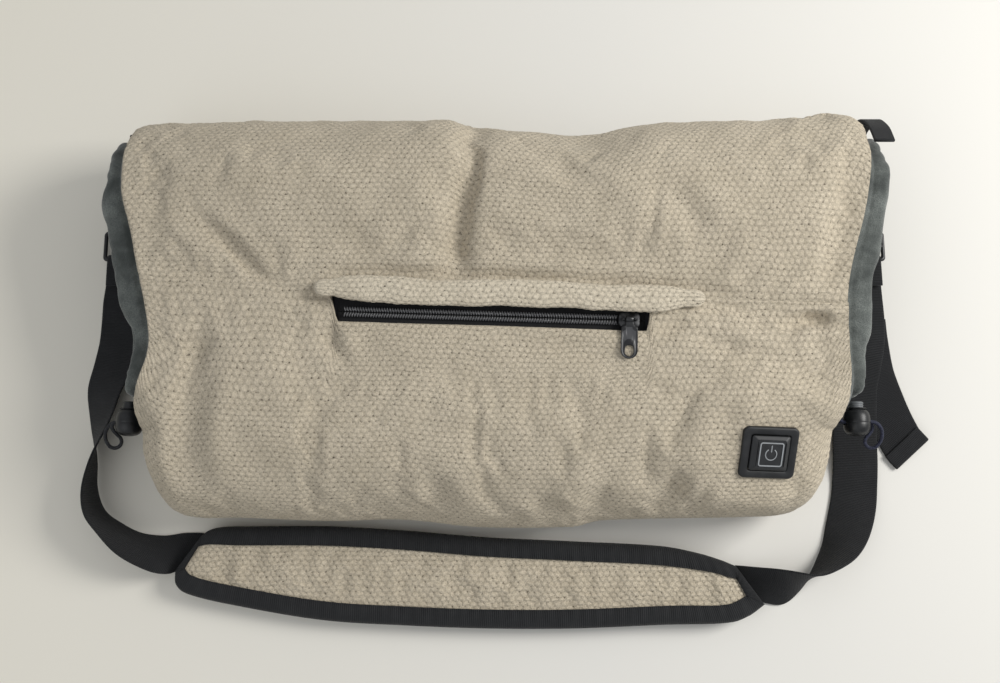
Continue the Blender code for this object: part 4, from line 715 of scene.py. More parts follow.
@dataclass
class Studio:
    """The photograph's view, a soft key from the right and a pale floor."""

    target: Triple = (0.0015, -0.0120, 0.0660)
    distance: float = 0.560
    elevation_deg: float = 80.0
    focal_pixels: float = 1075.0
    frame_pixels: Pair = (1000.0, 683.0)
    sensor: float = 36.0
    floor_half: float = 3.0
    lamps: tuple = (
        ("key", (0.84, 0.20, 0.70), 0.42, 9.0, (1.0, 0.985, 0.955)),
        ("fill", (-0.70, -0.55, 1.10), 1.10, 2.6, (0.97, 0.985, 1.0)),
    )
    sky: Triple = (0.95, 0.97, 1.0)
    sky_strength: float = 0.45

    def centre(self) -> Vector:
        """Where the camera stands."""
        rise = radians(self.elevation_deg)
        back = Vector((0, -cos(rise), sin(rise)))
        return Vector(self.target) + back * self.distance

    def world_of(self, pixel: Pair, height: float) -> Vector:
        """The point at this height that shows at this pixel.

        Args:
            pixel: Across and down in the frame.
            height: The point's z.

        Returns:
            The point.
        """
        rise = radians(self.elevation_deg)
        across, down = (
            (value - size / 2) / self.focal_pixels for value, size in zip(pixel, self.frame_pixels)
        )
        ray = Vector((across, cos(rise) - sin(rise) * down, -sin(rise) - cos(rise) * down))
        start = self.centre()
        return start + ray * ((height - start.z) / ray.z)

    def build(self) -> None:
        """Make the camera, lamps, world and floor."""
        scene = bpy.context.scene
        scene.view_settings.view_transform = "Standard"
        data = bpy.data.cameras.new("camera")
        data.sensor_width = self.sensor
        data.lens = self.focal_pixels / self.frame_pixels[0] * self.sensor
        data.clip_start = 0.01
        scene.camera = bpy.data.objects.new("camera", data)
        scene.camera.location = self.centre()
        scene.camera.rotation_euler = (radians(90 - self.elevation_deg), 0, 0)
        scene.collection.objects.link(scene.camera)
        for name, place, size, power, colour in self.lamps:
            self.lamp(name, place, size, power, colour)
        scene.world = bpy.data.worlds.new("studio")
        scene.world.use_nodes = True
        sky = scene.world.node_tree.nodes["Background"]
        sky.inputs[0].default_value = (*self.sky, 1)
        sky.inputs[1].default_value = self.sky_strength
        half = self.floor_half
        corners = [[(x * half, y * half, 0.0) for x in (-1, 1)] for y in (-1, 1)]
        grid_piece("floor", np.array(corners), None, FLOOR)

    def lamp(self, name: str, place: Triple, size: float, power: float, colour: Triple) -> None:
        """A square soft lamp that looks at the muff.

        Args:
            name: The lamp's name.
            place: Where it hangs.
            size: Its side.
            power: Its strength in watts.
            colour: The light's colour.
        """
        data = bpy.data.lights.new(name, "AREA")
        data.size, data.energy, data.color = size, power, colour
        lamp = bpy.data.objects.new(name, data)
        lamp.location = place
        toward = Vector(self.target) - Vector(place)
        lamp.rotation_euler = toward.to_track_quat("-Z", "Y").to_euler()
        bpy.context.scene.collection.objects.link(lamp)


@dataclass(frozen=True)
class PaleFloor(Finish):
    """A matt pale floor with painted light: warmer and brighter towards -X, darker towards +X."""

    light: tuple = srgb(228, 226, 220)
    warm: tuple = srgb(238, 233, 219)

    def build(self, desk: NodeDesk) -> bpy.types.Material:
        """A slow change of tone from side to side, a painted light.

        Args:
            desk: What lays out the nodes.

        Returns:
            The material.
        """
        place = desk.node("SeparateXYZ", {0: desk.node("TexCoord").outputs["Object"]})
        # Painted light: the floor turns to its brighter, yellower tone towards -X.
        side = desk.spread(place.outputs[0], 0.05, -0.36)
        return desk.finish(
            Base_Color=desk.mix(side, self.light, self.warm), Roughness=0.9,
            Specular_IOR_Level=0.1,
        )


FLOOR = PaleFloor("pale_floor")
STUDIO = Studio()


# The muff's own form.

@dataclass(frozen=True)
class MuffForm:
    """The padded body's surface and the hand tunnel's, as the frame's solids have them."""

    half_width: float = 0.190
    half_depth: float = 0.110
    centre_y: float = 0.006
    thick_top: float = 0.076
    thick_low: float = 0.069
    seam_height: float = 0.022
    top_mid: float = 0.040
    top_front_roll: float = 0.038
    top_back_roll: float = 0.034
    low_front_roll: float = 0.060
    low_back_roll: float = 0.028
    seam_gap: float = 0.0016
    fleece: float = 0.0038
    heart: Triple = (0.0, 0.0, 0.038)
    tunnel_low_share: float = -0.5636
    tunnel_roll: float = 0.030
    closure_run: float = 0.035
    closure_radius: float = 0.022
    zip_x: float = -0.003
    zip_y: float = 0.0008
    zip_tilt_share: float = -0.0308
    zip_length: float = 0.154
    end_room: float = 0.003
    mouth_above: float = 0.0135
    mouth_below: float = 0.0062
    left_edge: tuple = (
        (-1.0, -0.975), (-0.74, -0.997), (-0.46, -0.995), (-0.24, -0.958),
        (-0.12, -0.953), (0.17, -0.987), (0.42, -1.021), (0.58, -1.044), (1.0, -1.053),
    )
    right_edge: tuple = (
        (-1.0, 0.93), (-0.80, 0.94), (-0.60, 0.944), (-0.42, 0.968),
        (-0.10, 0.963), (0.13, 0.975), (0.49, 1.03), (0.70, 1.048), (1.0, 1.052),
    )
    top_edge: tuple = (
        (-1.0, 0.965), (-0.96, 0.987), (-0.55, 1.013), (-0.14, 1.014), (-0.06, 0.985),
        (0.25, 0.942), (0.42, 0.995), (0.82, 1.022), (0.96, 1.03), (1.0, 0.985),
    )
    bottom_edge: tuple = (
        (-1.0, -0.80), (-0.96, -0.91), (-0.90, -0.975), (-0.75, -0.982), (-0.48, -0.998),
        (-0.26, -0.992), (-0.03, -1.028), (0.25, -1.025), (0.34, -0.995), (0.78, -0.978),
        (0.89, -0.962), (0.95, -0.90), (1.0, -0.79),
    )
    folds: tuple = (
        (-0.06, 1.00, -0.11, 0.16, 0.075, -0.052),
        (-0.16, 1.00, -0.22, 0.16, 0.10, 0.016),
        (-0.86, -0.20, -0.84, -0.80, 0.09, -0.040),
        (-0.75, -0.25, -0.73, -0.75, 0.08, 0.012),
        (-0.80, 0.40, -0.59, 0.09, 0.08, -0.014),
        (0.44, -0.75, 0.50, -0.98, 0.10, -0.024),
        (0.40, 0.50, 0.75, 0.45, 0.30, 0.022),
        (-0.60, 0.55, -0.25, 0.50, 0.30, 0.018),
        (0.55, 0.02, 0.90, -0.06, 0.08, -0.022),
        (0.94, 0.60, 0.93, 0.20, 0.09, -0.018),
    )
    welt_length: float = 0.192
    welt_shift: float = 0.0060
    bag_rise: float = 0.0160
    button_in: float = 0.0505
    button_up: float = 0.0350
    button_turn: float = -0.085
    button_lean: float = 0.40
    button_side_lean: float = 0.13
    button_sink: float = 0.0020
    seat_fade: float = 0.60
    bezel: Pair = (0.0300, 0.0275)

    def tunnel_low_y(self) -> float:
        """The bottom of the hand tunnel."""
        return self.centre_y + self.tunnel_low_share * self.half_depth

    def y_share(self, y: Array) -> Array:
        """The place up the muff as a share of its half depth."""
        return (y - self.centre_y) / self.half_depth

    def ends_at(self, y: Array) -> tuple[Array, Array]:
        """The x of the left end and of the right end at this height up the muff."""
        share = self.y_share(y)
        return (self.half_width * through(self.left_edge, share),
                self.half_width * through(self.right_edge, share))

    def x_at(self, share: Array, y: Array) -> Array:
        """The x at this share of the width, -1 to 1."""
        left, right = self.ends_at(y)
        return left + (right - left) * (share + 1) / 2

    def share_at(self, x: float, y: float) -> float:
        """The share of the width at this x."""
        left, right = self.ends_at(y)
        return float(2 * (x - left) / (right - left) - 1)

    def top_y(self, share: Array) -> Array:
        """The top edge."""
        return self.centre_y + self.half_depth * through(self.top_edge, share)

    def bottom_y(self, share: Array) -> Array:
        """The bottom edge."""
        return self.centre_y + self.half_depth * through(self.bottom_edge, share)

    def slope(self) -> float:
        """How much the flat of the front falls for each metre towards the bottom."""
        flat = 2 * self.half_depth - self.top_front_roll - self.low_front_roll
        return (self.thick_top - self.thick_low) / flat

    def front_z(self, y: Array) -> Array:
        """The height of the front's flat."""
        crest = self.centre_y + self.half_depth - self.top_front_roll
        return self.thick_top - (crest - y) * self.slope()

    def flat_keep(self, share: Array, y: Array) -> Array:
        """1 where folds may be, and 0 over the zip, which stays flat."""
        off_x = np.abs(self.x_at(share, y) - self.welt_shift) - self.welt_length / 2
        off_y = np.maximum(y - self.zip_y - self.bag_rise, self.zip_y - self.bag_rise - y)
        return ease(0, self.bag_rise, np.maximum(off_x, off_y))

    def fold_height(self, share: Array, y: Array) -> Array:
        """What the main folds add to the front there.

        Args:
            share: Where it is along the half width, from -1 to 1.
            y: How far up the front it is.

        Returns:
            The height that the folds add.
        """
        x = share * self.half_width
        tall = self.y_share(y) * self.half_depth
        height = np.zeros_like(x)
        for x0, y0, x1, y1, width, rise in self.folds:
            start = np.array((x0 * self.half_width, y0 * self.half_depth))
            run = np.array((x1 * self.half_width, y1 * self.half_depth)) - start
            along = ((x - start[0]) * run[0] + (tall - start[1]) * run[1]) / (run @ run)
            along = np.clip(along, 0.0, 1.0)
            away = np.hypot(x - start[0] - along * run[0], tall - start[1] - along * run[1])
            height += rise * self.half_depth * np.exp(-((away / (width * self.half_depth)) ** 2))
        return height * self.flat_keep(share, y)

    def front_u(self, share: Array, y: Array) -> Array:
        """The section place, 0 to 2, of a point of the front at this height up the muff."""
        start = self.top_y(share) - self.top_front_roll
        end = self.bottom_y(share) + self.low_front_roll
        sine = np.clip((end - y) / self.low_front_roll, 0.0, 1.0)
        return np.where(y >= end, (start - y) / (start - end), 1 + np.arcsin(sine) / (pi / 2))

    def button_place(self) -> Matrix:
        """The heat button's frame: on its seat, turned and leaning as the cloth lies there."""
        x = self.half_width - self.button_in
        y = self.centre_y - self.half_depth + self.button_up
        share = self.share_at(x, y)
        cloth = self.points(False, self.front_u(share, y), share, 0.0, seated=False)
        turn = Matrix.Rotation(self.button_turn, 4, "Z")
        lean = Matrix.Rotation(self.button_lean, 4, "X")
        side = Matrix.Rotation(self.button_side_lean, 4, "Y")
        place = Matrix.Translation((x, y, float(cloth[..., 2]) - self.button_sink))
        return place @ lean @ side @ turn

    def zip_place(self) -> Matrix:
        """The zip's frame: on the front's flat, along the zip."""
        lean = Matrix.Rotation(atan(self.slope()), 4, "X")
        tilt = Matrix.Rotation(atan(self.zip_tilt_share), 4, "Z")
        height = float(self.front_z(self.zip_y))
        return Matrix.Translation((self.zip_x, self.zip_y, height)) @ lean @ tilt

    def seat_pull(self, x: Array, y: Array, z: Array) -> Array:
        """How far the button's seat draws the cloth to its own plane."""
        place = self.button_place()
        normal = place.to_3x3() @ Vector((0, 0, 1))
        base = place.translation
        plane = base.z - ((x - base.x) * normal.x + (y - base.y) * normal.y) / normal.z
        away = np.hypot((x - base.x) / self.bezel[0], (y - base.y) / self.bezel[1])
        return (plane - z) * (1 - ease(0.85, 1.7, away))

    def closed_end(self, y: Array) -> tuple[Array, Array]:
        """How much of its height the shell's end keeps there, and the height it closes to."""
        low = self.tunnel_low_y()
        centre = low + self.tunnel_roll
        sine = np.clip((centre - y) / self.tunnel_roll, 0.0, 1.0)
        rise = self.front_z(centre) / 2 - self.seam_height
        seam = self.seam_height + rise * ease(low - self.closure_run, low, y)
        return np.sqrt(1 - sine**2), seam

    def points(self, tunnel: bool, u: Array, share: Array, depth: Array,
               reach: Array = 0.0, seated: bool = True) -> Array:
        """Points of the body's surface, or of the tunnel's, this deep under it.

        Args:
            tunnel: Whether the section is the tunnel's.
            u: Round the section: 0 to 1 the front's flat, 1 to 3 the lower rolls, 3 to 4 the
                back's flat, 4 to 6 the upper rolls.
            share: Along the width, -1 to 1.
            depth: How deep under the surface.
            reach: How far past the end.
            seated: Whether the button's seat draws the cloth in.

        Returns:
            The points, with a last axis of three.
        """
        u, share, depth, reach = np.broadcast_arrays(
            *(np.asarray(value, float) for value in (u, share, depth, reach))
        )
        u = np.mod(u, 6.0)
        top = self.top_y(share)
        bottom = np.full_like(top, self.tunnel_low_y()) if tunnel else self.bottom_y(share)
        low_front = self.tunnel_roll if tunnel else self.low_front_roll
        low_back = self.tunnel_roll if tunnel else self.low_back_roll
        front_low, back_low = bottom + low_front, bottom + low_back
        middle = self.front_z(front_low) / 2 if tunnel else np.full_like(top, self.seam_height)
        stretch = np.floor(u).astype(int)
        part = u - stretch
        sine, cosine = np.sin(part * pi / 2), np.cos(part * pi / 2)
        front_start, back_end = top - self.top_front_roll, top - self.top_back_roll
        y0 = front_start * (1 - part) + front_low * part
        low_crest = self.front_z(front_low) - depth
        crest = self.front_z(front_start) - depth
        ys = (
            y0, front_low - (low_front - depth) * sine, back_low - (low_back - depth) * cosine,
            back_low * (1 - part) + back_end * part,
            back_end + (self.top_back_roll - depth) * sine,
            front_start + (self.top_front_roll - depth) * cosine,
        )
        zs = (
            self.front_z(y0) - depth, middle + (low_crest - middle) * cosine,
            middle - (middle - depth) * sine, depth,
            self.top_mid - (self.top_mid - depth) * cosine,
            self.top_mid + (crest - self.top_mid) * sine,
        )
        zero = np.zeros_like(part)
        fronts = (zero + 1, cosine, zero, zero, zero, sine)
        y, z, front = (np.choose(stretch, line) for line in (ys, zs, fronts))
        x = self.x_at(share, y) + reach * np.sign(share)
        if tunnel:
            return np.stack([x, y, z], -1)
        z = z + front * self.fold_height(share, y)
        if seated:
            z = z + self.seat_pull(x, y, z + depth) * ease(0, self.seat_fade, front)
        inside = (1 - np.abs(share)) * self.half_width - reach
        pinch = np.clip((self.closure_radius - inside) / (self.closure_radius - depth), 0.0, 1.0)
        side = np.where((stretch == 2) | (stretch == 3) | (stretch == 4), -1.0, 1.0)
        keep, seam = self.closed_end(y)
        held = keep + (1 - keep) * np.sqrt(1 - pinch**2)
        z = seam + (z - seam) * held + side * pinch * (1 - keep) * self.seam_gap
        return np.stack([x, y, z], -1)

    def seam_y(self, share: Array) -> Array:
        """Where the seam between the front panels lies, along the zip's mouth."""
        x = self.x_at(share, self.zip_y)
        return self.zip_y + self.mouth_above + self.zip_tilt_share * (x - self.zip_x)

    def mouth_drop(self, share: Array) -> Array:
        """How far the lower panel's edge lies below the seam: more along the zip."""
        off = np.abs(self.x_at(share, self.zip_y) - self.zip_x) - self.zip_length / 2 - self.end_room
        full = self.mouth_above + self.mouth_below
        return self.seam_gap + (full - self.seam_gap) * (1 - ease(0, self.fleece, off))


FORM = MuffForm()


# Cloth work.

def evenly(count: int, fine: int) -> Array:
    """The weights that carry count values smoothly to a finer row of them.

    Args:
        count: How many values there are.
        fine: How many are wanted.

    Returns:
        The weights, a row for each value that is wanted.
    """
    place = np.linspace(0, count - 1, fine)
    start = np.clip(np.floor(place).astype(int), 0, count - 2)
    t = place - start
    made = np.zeros((fine, count))
    parts = ((-t**3 + 2 * t**2 - t) / 2, (3 * t**3 - 5 * t**2 + 2) / 2,
             (-3 * t**3 + 4 * t**2 + t) / 2, (t**3 - t**2) / 2)
    for shift, part in zip((-1, 0, 1, 2), parts):
        np.add.at(made, (np.arange(fine), np.clip(start + shift, 0, count - 1)), part)
    return made


def lift_to(coarse: Array, rows: int, columns: int) -> Array:
    """A coarse grid of moves carried smoothly to one of rows by columns."""
    down, across = evenly(coarse.shape[0], rows), evenly(coarse.shape[1], columns)
    return np.einsum("ri,ijk,cj->rck", down, coarse, across)


def edge_steps(shape: Sequence[int]) -> tuple[Array, Array]:
    """How many rows and how many columns each point of a grid lies from its edges."""
    return tuple(
        np.minimum(steps, size - 1 - steps) for steps, size in zip(np.indices(shape[:2]), shape)
    )


@dataclass(frozen=True)
class Swelling:
    """A cloth simulation that fills a held sheet with air and keeps what it does."""

    pressure: float = 4.0
    growth: float = 0.012
    cap: float = 0.0035
    sink: float = 0.0010
    frames: int = 20
    bending: float = 0.6

    def swell(self, points: Array, held: Array, out: Array) -> Array:
        """How far the cloth moves.

        Args:
            points: The sheet at rest, rows by columns by three.
            held: How firmly each point is held, 0 to 1.
            out: The way out of the stuffing at each point, at length one.

        Returns:
            The move of each point, capped, and never deep into the stuffing. It is less the
            firmer the point is held.
        """
        sheet = grid_piece("swelling", points, None, Cloth.BAG)
        middle = out[points.shape[0] // 2, points.shape[1] // 2]
        if sheet.data.polygons[len(sheet.data.polygons) // 2].normal @ Vector(middle) < 0:
            sheet.data.flip_normals()
        pins = sheet.vertex_groups.new(name="held")
        firm = held.reshape(-1)
        for index in np.flatnonzero(firm > 0):
            pins.add([int(index)], float(firm[index]), "REPLACE")
        cloth = sheet.modifiers.new("Cloth", "CLOTH")
        for key, value in (
            ("quality", 5), ("mass", 0.3), ("tension_stiffness", 12),
            ("compression_stiffness", 12), ("bending_stiffness", self.bending),
            ("use_pressure", True), ("uniform_pressure_force", self.pressure),
            ("shrink_min", -self.growth), ("vertex_group_mass", "held"),
        ):
            setattr(cloth.settings, key, value)
        cloth.settings.effector_weights.gravity = 0
        cloth.collision_settings.use_collision = False
        cloth.point_cache.frame_start, cloth.point_cache.frame_end = 1, self.frames
        scene = bpy.context.scene
        for frame in range(1, self.frames + 1):
            scene.frame_set(frame)
        solved = sheet.evaluated_get(bpy.context.evaluated_depsgraph_get())
        moved = np.empty(points.size, np.float32)
        solved.to_mesh().vertices.foreach_get("co", moved)
        move = moved.reshape(points.shape).astype(float) - points
        solved.to_mesh_clear()
        scene.frame_set(1)
        bpy.data.objects.remove(sheet, do_unlink=True)
        rise = (move * out).sum(-1, keepdims=True)
        move = move + out * (np.maximum(rise, -self.sink) - rise)
        size = np.linalg.norm(move, axis=-1, keepdims=True)
        return move * np.minimum(1.0, self.cap / np.maximum(size, 1e-9)) * (1 - held)[..., None]


def nub_height(uv: Array) -> Array:
    """The height of the fleece's nubs, 0 to 1, where the weave map counts nubs."""
    across, along = 2 * pi * uv[..., 0], pi * uv[..., 1]
    wave = np.cos(across + along) + np.cos(across - along) + np.cos(2 * along)
    return ease(-1.7, 0.9, wave)


@dataclass(frozen=True)
class Weave:
    """The nub fleece's own sizes."""

    nub_width: float = 0.0039
    nub_length: float = 0.0027
    height: float = 0.0003
    wander: float = 0.22
    wobble: float = 0.10
    coarse: float = 0.030
    fine: float = 0.0095

    def chart(self, across: Array, along: Array) -> Array:
        """The weave map from lengths across and along, with the yarn's own wander."""
        place = np.stack([across, along], -1)
        return np.stack([
            length / size + self.wander * waves(place, self.coarse, seed, 1)
            + self.wobble * waves(place, self.fine, seed + 3, 2)
            for length, size, seed in ((across, self.nub_width, 11), (along, self.nub_length, 12))
        ], -1)

    def relief(self, uv: Array) -> Array:
        """The nubs' heights in metres, no two alike."""
        patch = 0.75 + 0.35 * waves(uv, 7.0, 13)
        return (nub_height(uv) - 0.55) * self.height * patch


WEAVE = Weave()


@dataclass(frozen=True)
class Crease:
    """A crease in the front: its pixels in the view, its depth, its width and its crest."""

    pixels: tuple
    depth: float
    width: float
    crest: float = 0.45
    side: float = 0.0
    plane: float = 0.074

    def height(self, points: Array) -> Array:
        """What the crease adds along the normal at each point of the front, less in its valley.

        Args:
            points: The points of the front.

        Returns:
            What is added at each point.
        """
        path = np.array([STUDIO.world_of(pixel, self.plane) for pixel in self.pixels])[:, :2]
        gone = run_length(path)
        best = np.full(points.shape[:-1], 1e3)
        share, lean = np.zeros_like(best), np.zeros_like(best)
        for a, b, start in zip(path, path[1:], gone / gone[-1]):
            run = b - a
            off = points[..., :2] - a
            along = np.clip(off @ run / (run @ run), 0, 1)
            away = np.linalg.norm(off - along[..., None] * run, axis=-1)
            nearer = away < best
            best = np.where(nearer, away, best)
            lean = np.where(nearer, np.sign(run[0] * off[..., 1] - run[1] * off[..., 0]), lean)
            share = np.where(nearer, start + along * np.linalg.norm(run) / gone[-1], share)
        fade = np.sin(pi * np.clip(share, 0.04, 0.96)) ** 0.7
        near = best / self.width
        crest = self.crest * (1 + self.side * lean)
        return self.depth * fade * (crest * np.exp(-((near - 2.0) ** 2)) - np.exp(-near**2))


CREASES = (
    Crease(((478, 122), (470, 170), (462, 225), (455, 270)), 0.0018, 0.0050, 0.4, -0.3),
    Crease(((428, 150), (448, 205), (452, 262)), 0.0016, 0.0070),
    Crease(((200, 222), (232, 246), (262, 278), (280, 288)), 0.0018, 0.0040, 0.5),
    Crease(((150, 262), (196, 274), (236, 286)), 0.0012, 0.0060),
    Crease(((648, 180), (672, 198), (694, 220), (702, 246)), 0.0022, 0.0080, 0.5),
    Crease(((700, 306), (728, 300), (758, 312)), 0.0018, 0.0045),
    Crease(((696, 332), (724, 344), (752, 352)), 0.0020, 0.0050, 0.6),
    Crease(((706, 320), (742, 326), (770, 330)), 0.0014, 0.0036),
    Crease(((788, 324), (812, 317), (842, 321)), 0.0034, 0.0036, 0.6),
    Crease(((150, 352), (178, 350), (206, 346)), 0.0013, 0.0050),
    Crease(((205, 352), (194, 400), (186, 450), (192, 494)), 0.0010, 0.0060, 0.4, 0.4),
    Crease(((322, 332), (334, 348), (346, 366)), 0.0020, 0.0044),
    Crease(((296, 296), (312, 292), (330, 300)), 0.0036, 0.0052, 0.3),
    Crease(((336, 322), (330, 332), (322, 344)), 0.0022, 0.0048, 0.5),
    Crease(((656, 332), (672, 326), (692, 318)), 0.0026, 0.0046, 0.4),
    Crease(((428, 470), (436, 500), (446, 520)), 0.0024, 0.0066, 0.6),
    Crease(((545, 490), (548, 512), (540, 528)), 0.0020, 0.0060, 0.5),
    Crease(((580, 520), (604, 492), (618, 462)), 0.0022, 0.0068, 0.6, 0.4),
    Crease(((664, 518), (678, 496), (690, 470)), 0.0030, 0.0062, 0.6),
    Crease(((694, 516), (706, 500), (718, 480)), 0.0018, 0.0036),
    Crease(((800, 470), (812, 496), (806, 520)), 0.0022, 0.0070, 0.4),
    Crease(((430, 372), (462, 384), (500, 380)), 0.0012, 0.0080),
    Crease(((520, 340), (580, 350), (632, 362)), 0.0013, 0.0065),
    Crease(((730, 400), (728, 430), (720, 470)), 0.0014, 0.0060),
    Crease(((560, 132), (590, 128), (622, 134)), 0.0020, 0.0080, 0.2),
    Crease(((300, 200), (340, 236), (392, 262)), 0.0010, 0.0090),
    Crease(((300, 272), (400, 273), (515, 276), (600, 281), (704, 288)), 0.0024, 0.0034, 0.35, 0.5),
    Crease(((850, 180), (838, 230), (846, 280)), 0.0008, 0.0070),
)


def rolled_edge(points: Array, normals: Array, radius: float, steps: int = 6) -> Array:
    """Rows that carry a sheet's last row round its edge and back under it.

    Args:
        points: The sheet, its last row the edge.
        normals: Its normals.
        radius: The roll's radius; it goes back under by three of them.
        steps: Steps round the roll.

    Returns:
        The rows to add after the last.
    """
    edge, normal = points[-1], normals[-1]
    out = unit(edge - points[-3])
    out = unit(out - normal * (out * normal).sum(-1, keepdims=True))
    turns = [pi * step / steps for step in range(1, steps + 1)]
    rows = [edge + out * radius * sin(turn) - normal * radius * (1 - cos(turn)) for turn in turns]
    return np.array([*rows, rows[-1] - out * 3 * radius])


@dataclass
class FleecePanel:
    """A panel of nub fleece on the muff's form, with creases, nubs and rolled edges."""

    name: str
    node: str
    section: Callable[[Array, Array], Array]
    sections: float
    coarse: tuple[int, int]
    roll: float = 0.0018
    columns: int = 330
    row_pitch: float = 0.00098
    swelling: Swelling = Swelling()
    billow: Pair = (0.0010, 0.070)
    ripple: Pair = (0.0005, 0.026)
    floor_gap: float = 0.0002
    stuffing: float = 0.55
    button_hold: Pair = (0.75, 1.3)
    zip_hold_x: Pair = (0.114, 0.101)
    zip_hold_y: Pair = (0.040, 0.024)
    front_hold: Pair = (0.045, 0.060)
    back_hold: Pair = (0.030, 0.010)

    def rows_at(self, count: int) -> Array:
        """Row values whose points lie evenly along the panel's middle."""
        fine = np.linspace(0, self.sections, 1200)
        length = run_length(FORM.points(False, self.section(fine, np.zeros_like(fine)), 0.0, 0.0))
        self.length = float(length[-1])
        return np.interp(np.linspace(0, self.length, count), length, fine)

    def surface(self, rows: Array, columns: int) -> Array:
        """The panel's points before creases and nubs."""
        end = 1 - self.roll / FORM.half_width
        share, row = np.meshgrid(np.linspace(-end, end, columns), rows)
        return FORM.points(False, self.section(row, share), share, 0.0)

    def firmness(self, points: Array) -> Array:
        """How firmly the cloth is held there: at its edges, the zip, the button and the back.

        Args:
            points: The panel's coarse grid.

        Returns:
            A share for each point, 1 where it is held.
        """
        rows, columns = edge_steps(points.shape)
        held = 1 - ease(0.0, 1.0, np.minimum(rows / 2, columns / 3))
        x, y, z = (points[..., axis] for axis in range(3))
        button = FORM.button_place().translation
        away = np.hypot((x - button.x) / FORM.bezel[0], (y - button.y) / FORM.bezel[1])
        near_zip = ease(*self.zip_hold_x, np.abs(x - FORM.welt_shift))
        near_zip = near_zip * ease(*self.zip_hold_y, np.abs(y - FORM.zip_y))
        seated = np.maximum(1 - ease(*self.button_hold, away), near_zip)
        held = np.maximum(held, seated * ease(*self.front_hold, z))
        return np.maximum(held, ease(*self.back_hold, z))

    def build(self) -> None:
        """Swell the panel, crease it, raise its nubs and roll its edges."""
        start = self.surface(self.rows_at(self.coarse[0]), self.coarse[1])
        move = self.swelling.swell(start, self.firmness(start), self.ways_out(start))
        count = int(self.length / self.row_pitch)
        points = self.surface(self.rows_at(count), self.columns) + lift_to(move, count, self.columns)
        normals = self.ways_out(points)
        front = ease(0.20, 0.55, normals[..., 2]) * ease(0.030, 0.045, points[..., 2])
        height = sum(crease.height(points) for crease in CREASES) * front
        rise, size = self.billow
        height += rise * waves(points, size, 21, 2) * (0.35 + 0.65 * front)
        rise, size = self.ripple
        height += rise * waves(points, size, 22, 2)
        height *= ease(0, 4, edge_steps(points.shape)[0])
        along = np.linspace(0, self.length, count)[:, None] + np.zeros(self.columns)
        uv = WEAVE.chart(points[..., 0], along)
        base = points + normals * height[..., None]
        normals = self.ways_out(base)
        cloth = base + normals * WEAVE.relief(uv)[..., None]
        cloth[..., 2] = np.maximum(cloth[..., 2], self.floor_gap)
        piece = grid_piece(self.name, *self.hemmed(cloth, normals, uv), Cloth.FLEECE)
        face = piece.data.polygons[len(piece.data.polygons) // 2]
        if face.normal @ (face.center - Vector(FORM.heart)) < 0:
            piece.data.flip_normals()
        settle(piece, self.node, fill=self.stuffing)

    def ways_out(self, points: Array) -> Array:
        """The panel's normals, turned away from the body's middle."""
        normals = grid_normals(points)
        row, column = points.shape[0] // 2, points.shape[1] // 2
        return normals * np.sign(normals[row, column] @ (points[row, column] - FORM.heart))

    def hemmed(self, cloth: Array, normals: Array, uv: Array) -> tuple[Array, Array]:
        """The cloth with its long edges rolled under, and its left end rolled twice.

        Args:
            cloth: The cloth's points.
            normals: Its normals.
            uv: Its weave map.

        Returns:
            The points and the map, with the rolled rows and columns.
        """
        for axis, end in ((0, 0), (0, 1), (1, 0), (1, 1)):
            def turned(values: Array) -> Array:
                """The sheet with the edge to be rolled as its last row."""
                values = values.swapaxes(0, 1) if axis else values
                return values if end else values[::-1]

            rows = rolled_edge(turned(cloth), turned(normals), self.roll)
            chart = turned(uv)
            steps = np.arange(1, len(rows) + 1)[:, None, None]
            extra = chart[-1] + (chart[-1] - chart[-2]) * steps
            flat = np.repeat(turned(normals)[-1:], len(rows), axis=0)
            cloth = turned(np.concatenate([turned(cloth), rows]))
            uv = turned(np.concatenate([chart, extra]))
            normals = turned(np.concatenate([turned(normals), flat]))
        return cloth, uv


